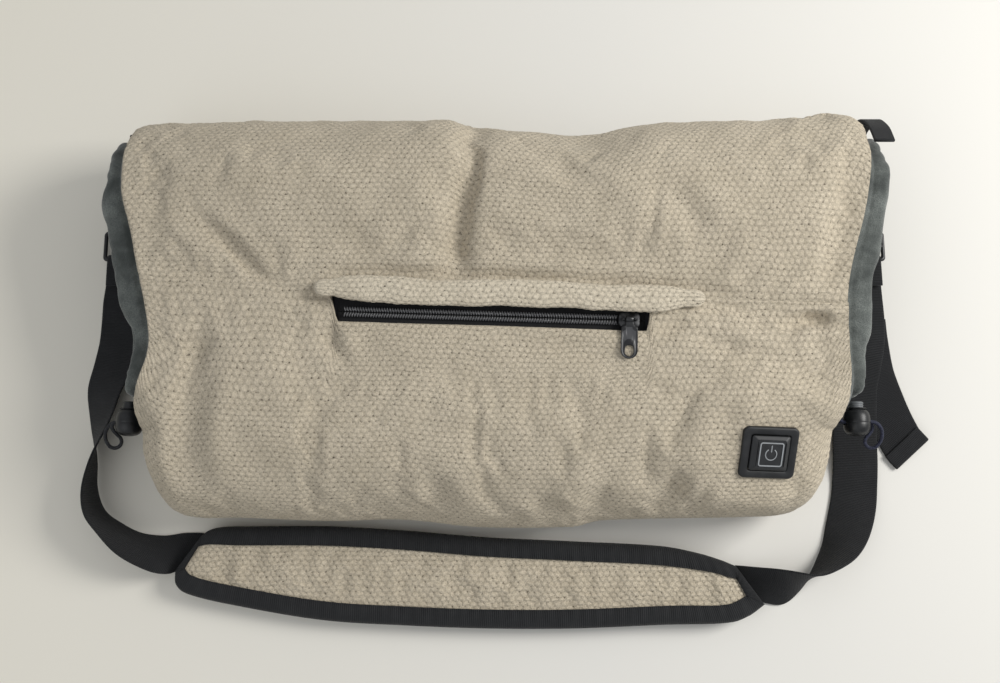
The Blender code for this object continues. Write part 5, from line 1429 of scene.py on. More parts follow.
@dataclass
class Shell:
    """The muff's two fleece panels and the welt over the pocket's mouth."""

    welt_low: float = 0.0036
    welt_height: float = 0.0150
    welt_lift: float = 0.0072
    welt_inset: float = 0.0006
    welt_grid: tuple[int, int] = (190, 44)

    def main_section(self, row: Array, share: Array) -> Array:
        """The main panel's section place: bottom seam, back, top and down to the zip's seam."""
        start = 2 + FORM.seam_gap / FORM.low_back_roll
        seam = FORM.front_u(share, FORM.seam_y(share) - 0.4 * FORM.seam_gap)
        return np.where(row <= 1, start + (3 - start) * row,
                        np.where(row <= 4, row + 2, 6 + seam * (row - 4)))

    def lower_section(self, row: Array, share: Array) -> Array:
        """The lower panel's section place, from the zip's mouth to the bottom seam."""
        edge = FORM.seam_y(share) - FORM.mouth_drop(share) - 0.2 * FORM.seam_gap
        start = FORM.front_u(share, edge)
        end = 2 - FORM.seam_gap / FORM.low_front_roll
        return np.where(row <= 1, start + (1 - start) * row, 1 + (end - 1) * (row - 1))

    def build(self) -> None:
        """Make the panels and the welt."""
        FleecePanel("fleece_main_panel", "main_panel", self.main_section, 5.0, (104, 88)).build()
        FleecePanel("fleece_lower_panel", "lower_front_panel", self.lower_section, 2.0, (38, 88),
                    roll=0.0012).build()
        self.welt()

    def welt(self) -> None:
        """A soft rolled welt, flattened and drawn in at its ends."""
        long, sides = self.welt_grid
        share = np.linspace(-1, 1, long)
        x = FORM.welt_shift - FORM.zip_x + share * FORM.welt_length / 2
        body = np.maximum((1 - np.abs(share) ** 12), 0.0) ** 0.5
        radius = self.welt_height / 2 * np.maximum(0.72, body) * (1 + 0.04 * np.sin(9 * share + 1))
        y = self.welt_low + self.welt_height / 2 + 0.0006 * np.sin(6.5 * share + 0.8)
        line = np.stack([x, y, self.welt_lift / 2 - 0.0004 * np.abs(share) ** 8], -1)
        around = np.linspace(0, 2 * pi, sides, endpoint=False)
        flat = self.welt_lift / self.welt_height
        ring = np.stack([0 * around, np.cos(around), np.sin(around) * flat], -1)
        rings = line[:, None] + radius[:, None, None] * ring
        normal = unit(rings - line[:, None])
        girth = around * self.welt_height / 2 * 0.8
        uv = WEAVE.chart(rings[..., 0], np.broadcast_to(girth, (long, sides)))
        soft = WEAVE.relief(uv) + 0.0004 * waves(rings, 0.02, 31) - self.welt_inset
        rings = rings + normal * soft[..., None]
        ends = [
            [line[end] + (rings[end] - line[end]) * cos(a) + (way * radius[end] * sin(a), 0, 0)
             for a in (0.5, 1.0, 1.4, 1.57)]
            for end, way in ((0, -1), (-1, 1))
        ]
        rows = np.array([*ends[0][::-1], *rings, *ends[1]])
        chart = np.concatenate([uv[:1].repeat(4, 0), uv, uv[-1:].repeat(4, 0)])
        piece = grid_piece("zip_welt", carried(rows, FORM.zip_place()), chart, Cloth.WELT_PAINTED_LIGHT,
                           wrap_columns=True)
        settle(outward(piece), "pocket_welt", fill=0.7)


# Cuffs, cord locks and cords.

@dataclass
class Cuff:
    """A plush cuff that bulges from one end, gathered on a drawcord in its hem."""

    side: int
    word: str
    bulge: float = 0.0190
    wall: float = 0.0020
    flange: float = 0.0120
    start_depth: float = 0.0063
    full_depth: float = 0.0125
    hem_depth: float = 0.0195
    hem_roll: float = 0.0030
    hem_out: float = 0.0010
    cord: float = 0.0020
    slip: float = 0.0003
    steps: int = 300
    girth: int = 90
    gather: float = 0.0003
    soft: float = 0.0008
    pressed: float = 0.64
    seam_sink: float = 0.0022
    seam_run: float = 0.0026
    left_bulges: tuple = (
        (-0.60, 0.02), (-0.47, 0.03), (-0.43, 0.10), (-0.39, 0.40), (-0.31, 0.48), (-0.24, 0.54),
        (-0.10, 0.58), (-0.02, 0.77), (0.05, 0.815), (0.34, 0.77), (0.52, 0.71), (0.63, 0.49),
        (0.78, 0.45), (0.90, 0.44), (1.1, 0.40),
    )
    right_bulges: tuple = (
        (-0.60, 0.02), (-0.47, 0.03), (-0.43, 0.10), (-0.39, 0.40), (-0.31, 0.46), (-0.24, 0.52),
        (-0.10, 0.67), (0.05, 0.70), (0.27, 0.67), (0.49, 0.58), (0.70, 0.57), (0.78, 0.48),
        (0.90, 0.44), (1.1, 0.40),
    )

    def outline(self) -> Array:
        """The closed outline round the wall: (reach, depth) points on a smooth curve."""
        b, hem = self.bulge, self.hem_depth
        line = np.array((
            (-self.flange, self.start_depth), (0.0, self.start_depth),
            (0.45 * b, self.start_depth + self.wall), (0.90 * b, (self.start_depth + self.full_depth) / 2),
            (b, self.full_depth), (0.85 * b, hem - self.hem_roll / 2),
            (0.35 * b + self.hem_out, hem + self.hem_roll),
            (self.hem_out - self.hem_roll, hem + self.hem_roll),
            (self.hem_out - self.hem_roll, hem - self.hem_roll / 2),
        ))
        across = unit(np.gradient(line, axis=0))[:, ::-1] * (1, -1) * self.wall / 2
        loop = np.concatenate([line + across, (line - across)[::-1], line[:1] + across[:1]])
        fine = np.linspace(0, len(loop) - 1, self.girth, endpoint=False)
        return spline(range(len(loop)), loop, fine)

    def build(self) -> None:
        """Make the cuff, gathered in soft folds, and the cord in its hem."""
        outline = self.outline()
        u = np.linspace(0, 6, self.steps, endpoint=False)[:, None]
        reach, depth = outline[:, 0][None], outline[:, 1][None]
        edge = FORM.points(True, u, float(self.side), depth)
        bulges = self.right_bulges if self.side > 0 else self.left_bulges
        lively = through(bulges, FORM.y_share(edge[..., 1]))
        reach = np.where(reach > self.hem_roll, reach * lively, reach)
        seam = np.exp(-(((reach - self.seam_run / 2) / self.seam_run) ** 2))
        depth = depth + self.seam_sink * seam * (depth < self.full_depth - 0.001)
        points = FORM.points(True, u, float(self.side), depth, reach)
        full = ease(0.001, 0.010, reach)
        turn = u * 2 * pi / 6
        gather = np.sin(23 * turn + 2.2 * np.sin(3 * turn + self.side))
        gather = gather + 0.6 * np.sin(37 * turn + 1.7 * np.sin(5 * turn))
        deep = self.gather * gather * full
        deep = deep * (0.4 + 0.6 * ease(self.start_depth, self.full_depth, depth))
        soft = self.soft * waves(points, 0.034, 41 + self.side, 3) * full
        tight = ease(-0.60, -0.30, FORM.y_share(points[..., 1]))
        points = points + grid_normals(points) * ((deep + soft) * tight)[..., None]
        uv = np.stack(np.broadcast_arrays(u, np.arange(self.girth)[None] / self.girth), -1)
        cuff = grid_piece(f"{self.word}_plush_cuff", points, uv, Cloth.PLUSH, True, True)
        settle(outward(cuff), f"{self.word}_cuff", fill=0.3)
        turn_u = np.linspace(2.10, 6 - 0.10 + 2.0, 150) % 6.0
        path = FORM.points(True, turn_u, float(self.side), self.hem_depth + self.slip,
                           self.hem_out + self.cord / 2)
        cord = capped_tube(f"{self.word}_hem_cord", path, self.cord / 2, 12, Cloth.CORD)
        settle(cord, f"{self.word}_drawcord")
        for piece in (cuff, cord):
            self.give_way(piece)

    def give_way(self, piece: Piece) -> None:
        """Give the piece a mesh of its own."""
        low = FORM.tunnel_low_y()
        root = float(FORM.x_at(np.array(float(self.side)), np.array(low)))
        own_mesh(piece)


class LockStyle(Enum):
    """How a cord lock is moulded."""

    BALL = "ball"
    RIDGED = "ridged"


@dataclass
class CordLock:
    """A sprung cord lock and the cord loop that comes out through it."""

    side: int
    word: str
    style: LockStyle
    out: float = 0.0114
    rise: float = 0.0055
    height: float = 0.0300
    right_shift: float = -0.0045
    radius: float = 0.0073
    half: float = 0.0076
    power: float = 3.0
    bore: float = 0.0044
    floor: float = 0.0012
    plunger: float = 0.0040
    plunger_top: float = 0.0112
    plunger_low: float = 0.0026
    travel: float = 0.0024
    cord: float = 0.0020
    gap: float = 0.0005
    wire: float = 0.0005
    slip: float = 0.0003
    loop_length: float = 0.0818
    route: tuple = (
        (-0.0100, 0.0078, 0.0, 0.00125, 0),
        (-0.0098, 0.0017, 0.0, 0.00125, 0),
        (-0.0072, 0.0, 0.0, 0.00125, 0),
        (0.0, 0.0, 0.0, 0.00125, 0),
        (0.0072, -0.0001, 0.0, 0.00130, 12),
        (0.0100, -0.0017, -0.0004, 0.00180, 40),
        (0.0110, -0.0047, -0.0014, 0.00280, 66),
        (0.0104, -0.0079, -0.0028, 0.00355, 82),
        (0.0090, -0.0103, -0.0040, 0.00370, 90),
    )
    bend_steps: int = 6

    def centre(self) -> Vector:
        """The lock's middle."""
        shift = self.right_shift if self.side > 0 else 0.0
        return Vector((self.side * (FORM.half_width + self.out) + shift,
                       FORM.tunnel_low_y() + self.rise, self.height))

    def place(self) -> Matrix:
        """A frame at the lock whose Z runs along the plunger."""
        return Matrix.Translation(self.centre()) @ Matrix.Rotation(-pi / 2, 4, "X")

    def build(self) -> None:
        """Make the barrel, plunger, spring and cord."""
        self.barrel()
        self.press()
        self.spring()
        self.cord_loop()

    def carve(self, piece: Piece, drop: float) -> None:
        """Cut the cord's way across a piece, lower edge this far down the plunger's axis."""
        reach = 3 * self.radius
        way = rounded(2 * self.cord + 3 * self.gap, self.cord + 2 * self.gap + drop, 0.0006, 3)
        spin = Matrix.Rotation(pi / 2, 4, "Y") @ Matrix.Rotation(pi / 2, 4, "Z")
        place = self.place() @ Matrix.Translation((0, 0, drop / 2)) @ spin
        cut_from(piece, stacked("cord_way", ((way, -reach), (way, reach)), place, Cloth.PLASTIC))

    def barrel(self) -> None:
        """The barrel, with its bore, a parting line and a raised collar."""
        outer = []
        for z in np.linspace(-0.985, 0.97, 34):
            full = (1 - abs(z) ** self.power) ** (1 / self.power)
            line = 0.00022 if abs(z + 0.08) < 0.04 else 0.0
            outer.append((self.radius * full - line, z * self.half))
        collar, top, floor = self.radius * 0.78, self.half, self.floor - self.half
        profile = [
            (0.0, -top), (self.radius * 0.3, -top), *outer, (collar, top - 0.0004),
            (collar - 0.0004, top), (self.bore + 0.0003, top), (self.bore, top - 0.0003),
            (self.bore, floor + 0.0003), (self.bore * 0.95, floor), (0.0, floor),
        ]
        piece = lathe(f"{self.word}_lock_body", profile, self.place(), Cloth.PLASTIC, 56)
        self.carve(piece, 0.0)
        settle(piece, f"{self.word}_lock_barrel", f"{self.word}_lock")

    def press(self) -> None:
        """The plunger: a plain rounded knob, or a grey one with ridges."""
        r, low, high, cap, ridge = self.plunger, -self.plunger_low, self.plunger_top, 0.0012, 0.00022
        ridged = self.style is LockStyle.RIDGED
        profile = [(0.0, low), (r - 0.0004, low), (r, low + 0.0004)]
        for z in np.linspace(low + 0.0006, high - 0.0014, 40):
            wave = ridge * sin(2 * pi * z / 0.0011) if z > self.half * 0.55 else 0.0
            profile.append((r - ridge + (wave if ridged else ridge), z))
        for angle in np.linspace(0, pi / 2, 7):
            profile.append((r - cap + cap * cos(angle), high - cap + cap * sin(angle)))
        profile.append((0.0, high + (0.0 if ridged else 0.0002)))
        finish = Cloth.LOCK_GREY if ridged else Cloth.PLASTIC
        piece = lathe(f"{self.word}_lock_button", profile, self.place(), finish)
        self.carve(piece, self.travel)
        settle(piece, f"{self.word}_lock_plunger", f"{self.word}_plunger")

    def spring(self) -> None:
        """The coil spring under the plunger."""
        low = -self.half + self.floor + self.slip + self.wire / 2
        high = -self.plunger_low - self.slip - self.wire / 2
        radius = self.plunger - self.wire
        turn = np.linspace(0, 2.5 * 2 * pi, 80)
        line = np.stack([radius * np.cos(turn), np.linspace(low, high, 80), radius * np.sin(turn)], -1)
        piece = capped_tube(f"{self.word}_coil_spring", line + np.array(self.centre()),
                            self.wire / 2, 8, Cloth.STEEL)
        settle(piece, f"{self.word}_lock_spring", f"{self.word}_lock")
        foot = self.centre() + Vector((0, low - self.wire / 2, 0))
        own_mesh(piece)

    def cord_path(self) -> list[Vector]:
        """The loop's points: out through the lock, round and back through it."""
        middle = [self.centre() + Vector((self.side * x, y, z)) for x, y, z, _, _ in self.route]
        out, back = [], []
        for index, (_, _, _, apart, turn) in enumerate(self.route):
            ahead = middle[min(index + 1, len(middle) - 1)] - middle[max(index - 1, 0)]
            across = Vector((-ahead.y, ahead.x, 0)).normalized() * sin(radians(turn))
            across.z = cos(radians(turn))
            out.append(middle[index] + across * apart)
            back.append(middle[index] - across * apart)
        radius = out[-1] - middle[-1]
        onward = (middle[-1] - middle[-2]).normalized() * radius.length
        turns = [pi * step / self.bend_steps for step in range(1, self.bend_steps)]
        bend = [middle[-1] + radius * cos(turn) + onward * sin(turn) for turn in turns]
        points = [*out, *bend, *back[::-1]]
        last = len(points) - 1
        line = spline(range(last + 1), np.array(points), np.linspace(0, last, last * 3 + 1))
        return [Vector(point) for point in line]

    def cord_loop(self) -> None:
        """The free loop of cord, out through the lock and back."""
        path = self.cord_path()
        line = np.array(path)
        finish = Cloth.CORD_BLUE if self.style is LockStyle.RIDGED else Cloth.CORD
        piece = outward(capped_tube(f"{self.word}_cord_loop", line, self.cord / 2, 12, finish))
        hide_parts(f"{self.word}_cord_tail")
        LOG.info("%s cord loop is %.1f mm long", self.word, run_length(line)[-1] / MM)
        tuple(path[0])
        [tuple(point) for point in path]
        tuple(path[0])
        tuple(self.centre())
        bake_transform(piece)


# Bands.

@dataclass
class Band:
    """A length of tape or webbing through stations of a centre and a width direction."""

    name: str
    width: float
    thickness: float
    finish: Finish
    columns: int = 22
    step: float = 0.0011
    ripple: float = 0.00018

    def build(self, stations: Sequence[tuple[Vector, Vector]]) -> Piece:
        """The band as one closed mesh, its edges rounded.

        Args:
            stations: The run's centres and width directions.

        Returns:
            The object.
        """
        centres, sideways = (np.array([tuple(item) for item in line]) for line in zip(*stations))
        gaps = np.linalg.norm(np.diff(centres, axis=0), axis=1)
        length = np.concatenate([[0], np.cumsum(np.maximum(gaps, 1e-5))])
        run = np.linspace(0, length[-1], max(int(length[-1] / self.step), 4))
        middle, across = spline(length, centres, run), spline(length, sideways, run)
        normal = unit(np.cross(across, unit(np.gradient(middle, axis=0))))
        thick = self.thickness / 2
        edge = self.width / 2 - thick
        top = np.linspace(-edge, edge, self.columns)
        side = np.linspace(-pi / 2, pi / 2, 5)[1:-1]
        section = np.array([
            *[(value, thick) for value in top],
            *[(edge + thick * cos(a), -thick * sin(a)) for a in side],
            *[(value, -thick) for value in top[::-1]],
            *[(-edge - thick * cos(a), thick * sin(a)) for a in side],
        ])
        wave = self.ripple * waves(middle, 0.03, 51, 2)
        points = (middle[:, None] + across[:, None] * section[None, :, :1]
                  + normal[:, None] * (section[None, :, 1:] + wave[:, None, None]))
        points[..., 2] = np.maximum(points[..., 2], 0.0)
        uv = np.stack(np.broadcast_arrays(run[:, None] / MM, section[None, :, 0] / MM), -1)
        caps = [end.mean(1, keepdims=True) + 0 * end for end in (points[:1], points[-1:])]
        points = np.concatenate([caps[0], points, caps[1]])
        uv = np.concatenate([uv[:1], uv, uv[-1:]])
        return outward(grid_piece(self.name, points, uv, self.finish, wrap_columns=True))


# Zip and pocket.

@dataclass
class Zip:
    """The pocket's coil zip, its slider, pull, bag and grommet."""

    tape_width: float = 0.0120
    tape_thick: float = 0.0006
    end_room: float = 0.0030
    slip: float = 0.0003
    coil_width: float = 0.0026
    coil_height: float = 0.0018
    coil_wire: float = 0.00062
    coil_pitch: float = 0.0014
    slider_length: float = 0.0110
    slider_width: float = 0.0090
    plate: float = 0.0010
    bridge: Triple = (0.0080, 0.0012, 0.0026)
    bridge_wall: float = 0.0010
    pull_length: float = 0.0205
    pull_width: float = 0.0085
    pull_thick: float = 0.0018
    face_depth: float = 0.00045
    eye_bore: float = 0.0021
    eye_outer: float = 0.0035
    eye_length: float = 0.0040
    bag_length: float = 0.168
    bag_drop: float = 0.052
    bag_wall: float = 0.0008
    bag_room: float = 0.0056
    bag_depth: float = 0.0052
    grommet_outer: float = 0.0070
    grommet_bore: float = 0.0042
    tip: tuple = ((0.95, 0.20), (1.0, 0.26), (1.0, 0.82), (0.86, 0.91), (0.55, 0.97), (0.12, 1.0))
    window: tuple = (
        (0.0, 0.945), (0.42, 0.90), (0.54, 0.82), (0.36, 0.68),
        (-0.36, 0.68), (-0.54, 0.82), (-0.42, 0.90),
    )

    def tape_top(self) -> float:
        """The tape's upper face in the zip's frame."""
        return -FORM.fleece - self.slip

    def slider_x(self) -> float:
        """Where the slider stands with the zip closed."""
        return FORM.zip_length / 2 - self.slider_length / 2

    def coil_top(self) -> float:
        """The top of the coils in the zip's frame."""
        return self.tape_top() + self.slip + self.coil_height

    def build(self) -> None:
        """Make the tapes, coils, slider, pull, bag and grommet."""
        place = FORM.zip_place()
        for side, word in ((1, "upper"), (-1, "lower")):
            self.tape(place, side, word)
            self.coil(place, side, word)
        for part in (self.slider, self.pull, self.bag, self.grommet):
            part(place)

    def tape(self, place: Matrix, side: int, word: str) -> None:
        """One side's woven tape.

        Args:
            place: Where the zip lies.
            side: Which side's, -1 or 1.
            word: That side's word in the pieces' names.
        """
        half = FORM.zip_length / 2 + self.end_room
        y = side * (self.tape_width + self.slip) / 2
        z = self.tape_top() - self.tape_thick / 2
        across = place.to_3x3() @ Vector((0, 1, 0))
        stations = [(place @ Vector((x, y, z)), across) for x in np.linspace(-half, half, 24)]
        band = Band(f"{word}_tape_weave", self.tape_width, self.tape_thick, Cloth.TAPE, 14, ripple=0.0)
        settle(band.build(stations), f"zip_{word}_tape")

    def coil(self, place: Matrix, side: int, word: str) -> None:
        """One side's nylon coil, a flattened helix sewn to the tape.

        Args:
            place: Where the zip lies.
            side: Which side's, -1 or 1.
            word: That side's word in the pieces' names.
        """
        start = -FORM.zip_length / 2
        end = self.slider_x() - self.slider_length / 2 - self.slip
        turns = (end - start) / self.coil_pitch
        angle = np.linspace(0, 2 * pi * turns, int(turns * 12))
        wire = self.coil_wire / 2
        wide, tall = self.coil_width / 2, self.coil_height / 2
        line = np.stack([
            start + wire + (end - start - 2 * wire) * angle / angle[-1],
            side * (wide + self.slip / 2 + (wide - wire) * np.cos(angle)),
            self.coil_top() - tall + (tall - wire) * np.sin(angle),
        ], -1)
        # The coil's finish is a light grey painted for glints on its turns.
        piece = capped_tube(f"{word}_coil_teeth", carried(line, place), wire, 7, Cloth.COIL)
        settle(piece, f"zip_{word}_coil")

    def slider(self, place: Matrix) -> None:
        """The slider: two shaped plates joined by a wedge, and the bridge for its pull.

        Args:
            place: Where the zip lies.
        """
        cart = place @ Matrix.Translation((self.slider_x(), 0, 0))
        low, high = self.tape_top() + self.slip, self.coil_top() + self.slip + self.plate
        outline = rounded(self.slider_length, self.slider_width, 0.0026, 6)
        outline[:, 1] *= 1 - 0.16 * np.exp(-((outline[:, 0] + self.slider_length / 2) / 0.0045) ** 2)
        layers = ((0.97, low), (1.0, low + 0.0002), (1.0, high - 0.0004), (0.965, high - 0.0001),
                  (0.93, high))
        body = stacked("slider_body", [(outline * share, z) for share, z in layers], cart, Cloth.SLIDER)
        channel = rounded(2 * self.slider_length, 2 * self.coil_width + 3 * self.slip, 0.0003, 2)
        layers = ((channel, low - 0.001), (channel, low + self.coil_height + self.slip))
        cut_from(body, stacked("coil_way", layers, cart, Cloth.SLIDER))
        length, width, rise = self.bridge
        foot = [(0.0004 - length / 2, -0.0003), (0.0005 - length / 2, rise * 0.55),
                (0.0011 - length / 2, rise * 0.86), (-length / 4, rise - width / 2)]
        rod = [*foot, (0.0, rise - self.bridge_wall / 2), *[(-x, z) for x, z in foot[::-1]]]
        path = spline(range(9), [(x, 0.0, high + z) for x, z in rod], np.linspace(0, 8, 41))
        bridge = capped_tube("slider_bridge", carried(path, cart), width / 2 * 0.9, 12, Cloth.SLIDER)
        merged(body, outward(bridge))
        settle(body, "zip_slider", "slider")

    def smooth_loop(self, points: Sequence[Pair], count: int) -> Array:
        """A smooth closed outline with this many points, evenly along it."""
        loop = np.array([*points[-2:], *points, *points[:3]], float)
        length = run_length(loop)
        return spline(length, loop, np.linspace(length[2], length[-3], count, endpoint=False))

    def pull(self, place: Matrix) -> None:
        """The pull: a raised rim round a sunk face, a drop-shaped window and the eye.

        Args:
            place: Where the zip lies.
        """
        height = self.coil_top() + self.slip + self.plate + self.bridge[2] - self.bridge_wall / 2
        hinge = place @ Matrix.Translation((self.slider_x(), 0, height))
        half, length, lift = self.pull_width / 2, self.pull_length, self.pull_thick / 2
        neck = self.eye_length / 2
        start = (self.eye_bore + self.eye_outer) / 4
        right = [(neck, -start), (neck, -2 * start), *[(half * x, -length * y) for x, y in self.tip]]
        outer = self.smooth_loop([*right, *[(-x, y) for x, y in right[::-1]]], 96)
        hole = self.smooth_loop([(half * x, -length * y) for x, y in self.window], 96)
        # The window's points pair with the rim's in order of bearing.
        outer, hole = (
            loop[np.argsort(np.arctan2(*(loop - middle).T))]
            for loop, middle in ((outer, (0.0, -length * 0.55)), (hole, hole.mean(0)))
        )
        sunk = lift - self.face_depth
        rows = (
            (0.0, -lift), (0.0, lift - 0.0003), (0.03, lift - 0.00008), (0.07, lift), (0.15, lift),
            (0.20, lift - 0.0001), (0.24, sunk), (0.74, sunk), (0.79, lift - 0.0001), (0.86, lift),
            (0.96, lift), (1.0, lift - 0.0002), (1.0, -lift), (0.96, -lift), (0.5, -lift), (0.04, -lift),
        )
        layers = [(outer * (1 - share) + hole * share, z) for share, z in rows]
        tab = stacked("pull_tab", layers, hinge, Cloth.PULL, True)
        bore, rim = self.eye_bore / 2, self.eye_outer / 2
        profile = [
            (bore, -neck), (rim - 0.0003, -neck), (rim, 0.0003 - neck), (rim, neck - 0.0003),
            (rim - 0.0003, neck), (bore, neck), (bore, -neck),
        ]
        merged(tab, lathe("pull_eye", profile, hinge @ Matrix.Rotation(pi / 2, 4, "Y"), Cloth.PULL, 36))
        tab.data.materials.append(Cloth.PULL_FACE.material())
        inverse = hinge.inverted()
        for face in tab.data.polygons:
            local = inverse @ face.center
            if abs(local.z - sunk) < 0.00006 and local.y < -length * 0.22:
                face.material_index = 1
        settle(tab, "zip_pull", "pull")

    def bag(self, place: Matrix) -> None:
        """The pocket's bag: a flat envelope of two soft walls, open along the zip.

        Args:
            place: Where the zip lies.
        """
        wall = self.bag_wall
        top = self.bag_room / 2 + wall
        rise = FORM.bag_rise
        middle = np.array((0, (rise - self.bag_drop) / 2))
        deep = self.bag_drop + rise
        outer, inner, heights = [], [], []
        for angle in np.linspace(0, 1, 15) * pi:
            grow = 1 - 0.012 * (1 - sin(angle))
            long, wide = self.bag_length * grow, deep * grow
            outer.append(rounded(long, wide, 0.006, 12) + middle)
            inner.append(rounded(long - 2 * wall, wide - 2 * wall, 0.006 - wall, 12) + middle)
            heights.append(top * cos(angle) * 0.92)
        hole = rounded(FORM.zip_length + self.end_room, 2 * self.tape_width, 0.003, 12)
        spread, back = (0.0, 0.2, 0.45, 0.7, 0.9), (1.0, 0.92, 0.7, 0.45, 0.2, 0.04)
        layers = [
            *[(hole * (1 - t) + outer[0] * t, top) for t in spread], *zip(outer, heights),
            *[(middle + (outer[-1] - middle) * t, -top) for t in back[1:]],
            *[(middle + (inner[-1] - middle) * t, wall - top) for t in back[::-1]],
            *[(line, z * 0.86) for line, z in list(zip(inner, heights))[-2::-1]],
            *[(hole * (1 - t) + inner[0] * t, top - wall) for t in spread[::-1]],
        ]
        sunk = -self.bag_depth - top
        bag = stacked("zip_pocket_bag", [(line, sunk + z) for line, z in layers], place, Cloth.BAG, True)
        wrinkle(bag, 0.0004, 0.018, 61)
        settle(bag, "pocket_bag")

    def grommet(self, place: Matrix) -> None:
        """The soft grommet that the battery's lead goes through.

        Args:
            place: Where the zip lies.
        """
        flange, bore, wall = self.grommet_outer / 2, self.grommet_bore / 2, self.bag_wall
        back = -self.bag_depth - self.bag_room - 2 * wall
        low = back + wall + self.slip
        high, rim, thin = low + wall, flange - 0.0003, 0.0001
        profile = [
            (bore, high), (bore + 2 * thin, high + thin), (rim, high + thin), (flange, high - thin),
            (flange, low + 2 * thin), (rim, low), (bore + wall, low), (bore + wall, back + thin),
            (bore + wall - 2 * thin, back), (bore + thin, back), (bore, back + thin), (bore, high),
        ]
        x, y = self.bag_length / 2 - self.grommet_outer, self.grommet_outer - self.bag_drop
        spot = place @ Matrix.Translation((x, y, 0))
        settle(lathe("lead_way", profile, spot, Cloth.SILICONE, 36), "lead_grommet")


def cut_from(piece: Piece, cutter: Piece) -> None:
    """Take the cutter's room out of a piece and drop the cutter.

    Args:
        piece: What is cut.
        cutter: The room that is taken out of it.
    """
    cut = piece.modifiers.new("Cut", "BOOLEAN")
    cut.object, cut.solver = cutter, "EXACT"
    bpy.context.view_layer.update()
    solved = piece.evaluated_get(bpy.context.evaluated_depsgraph_get())
    mesh = bpy.data.meshes.new_from_object(solved)
    piece.modifiers.clear()
    piece.data = mesh
    bpy.data.objects.remove(cutter, do_unlink=True)


def merged(piece: Piece, other: Piece) -> None:
    """Put another piece's mesh into this one's."""
    shape = bmesh.new()
    for source in (piece, other):
        shape.from_mesh(source.data)
    shape.to_mesh(piece.data)
    shape.free()
    bpy.data.objects.remove(other, do_unlink=True)


def faceted(piece: Piece) -> None:
    """Shade a moulded piece's faces flat, so that its chamfers stay crisp."""
    for face in piece.data.polygons:
        face.use_smooth = False


def wrinkle(piece: Piece, height: float, scale: float, seed: int) -> None:
    """Push a piece's points in and out along their normals in soft waves.

    Args:
        piece: The piece.
        height: How high the waves are.
        scale: How long the waves are.
        seed: Which waves they are.
    """
    mesh = piece.data
    points, normals = (np.empty(len(mesh.vertices) * 3, np.float32) for _ in range(2))
    mesh.vertices.foreach_get("co", points)
    mesh.vertices.foreach_get("normal", normals)
    points = points.reshape(-1, 3).astype(float)
    moved = points + normals.reshape(-1, 3) * (height * waves(points, scale, seed))[:, None]
    mesh.vertices.foreach_set("co", moved.astype(np.float32).ravel())
    mesh.update()


# Heat button.

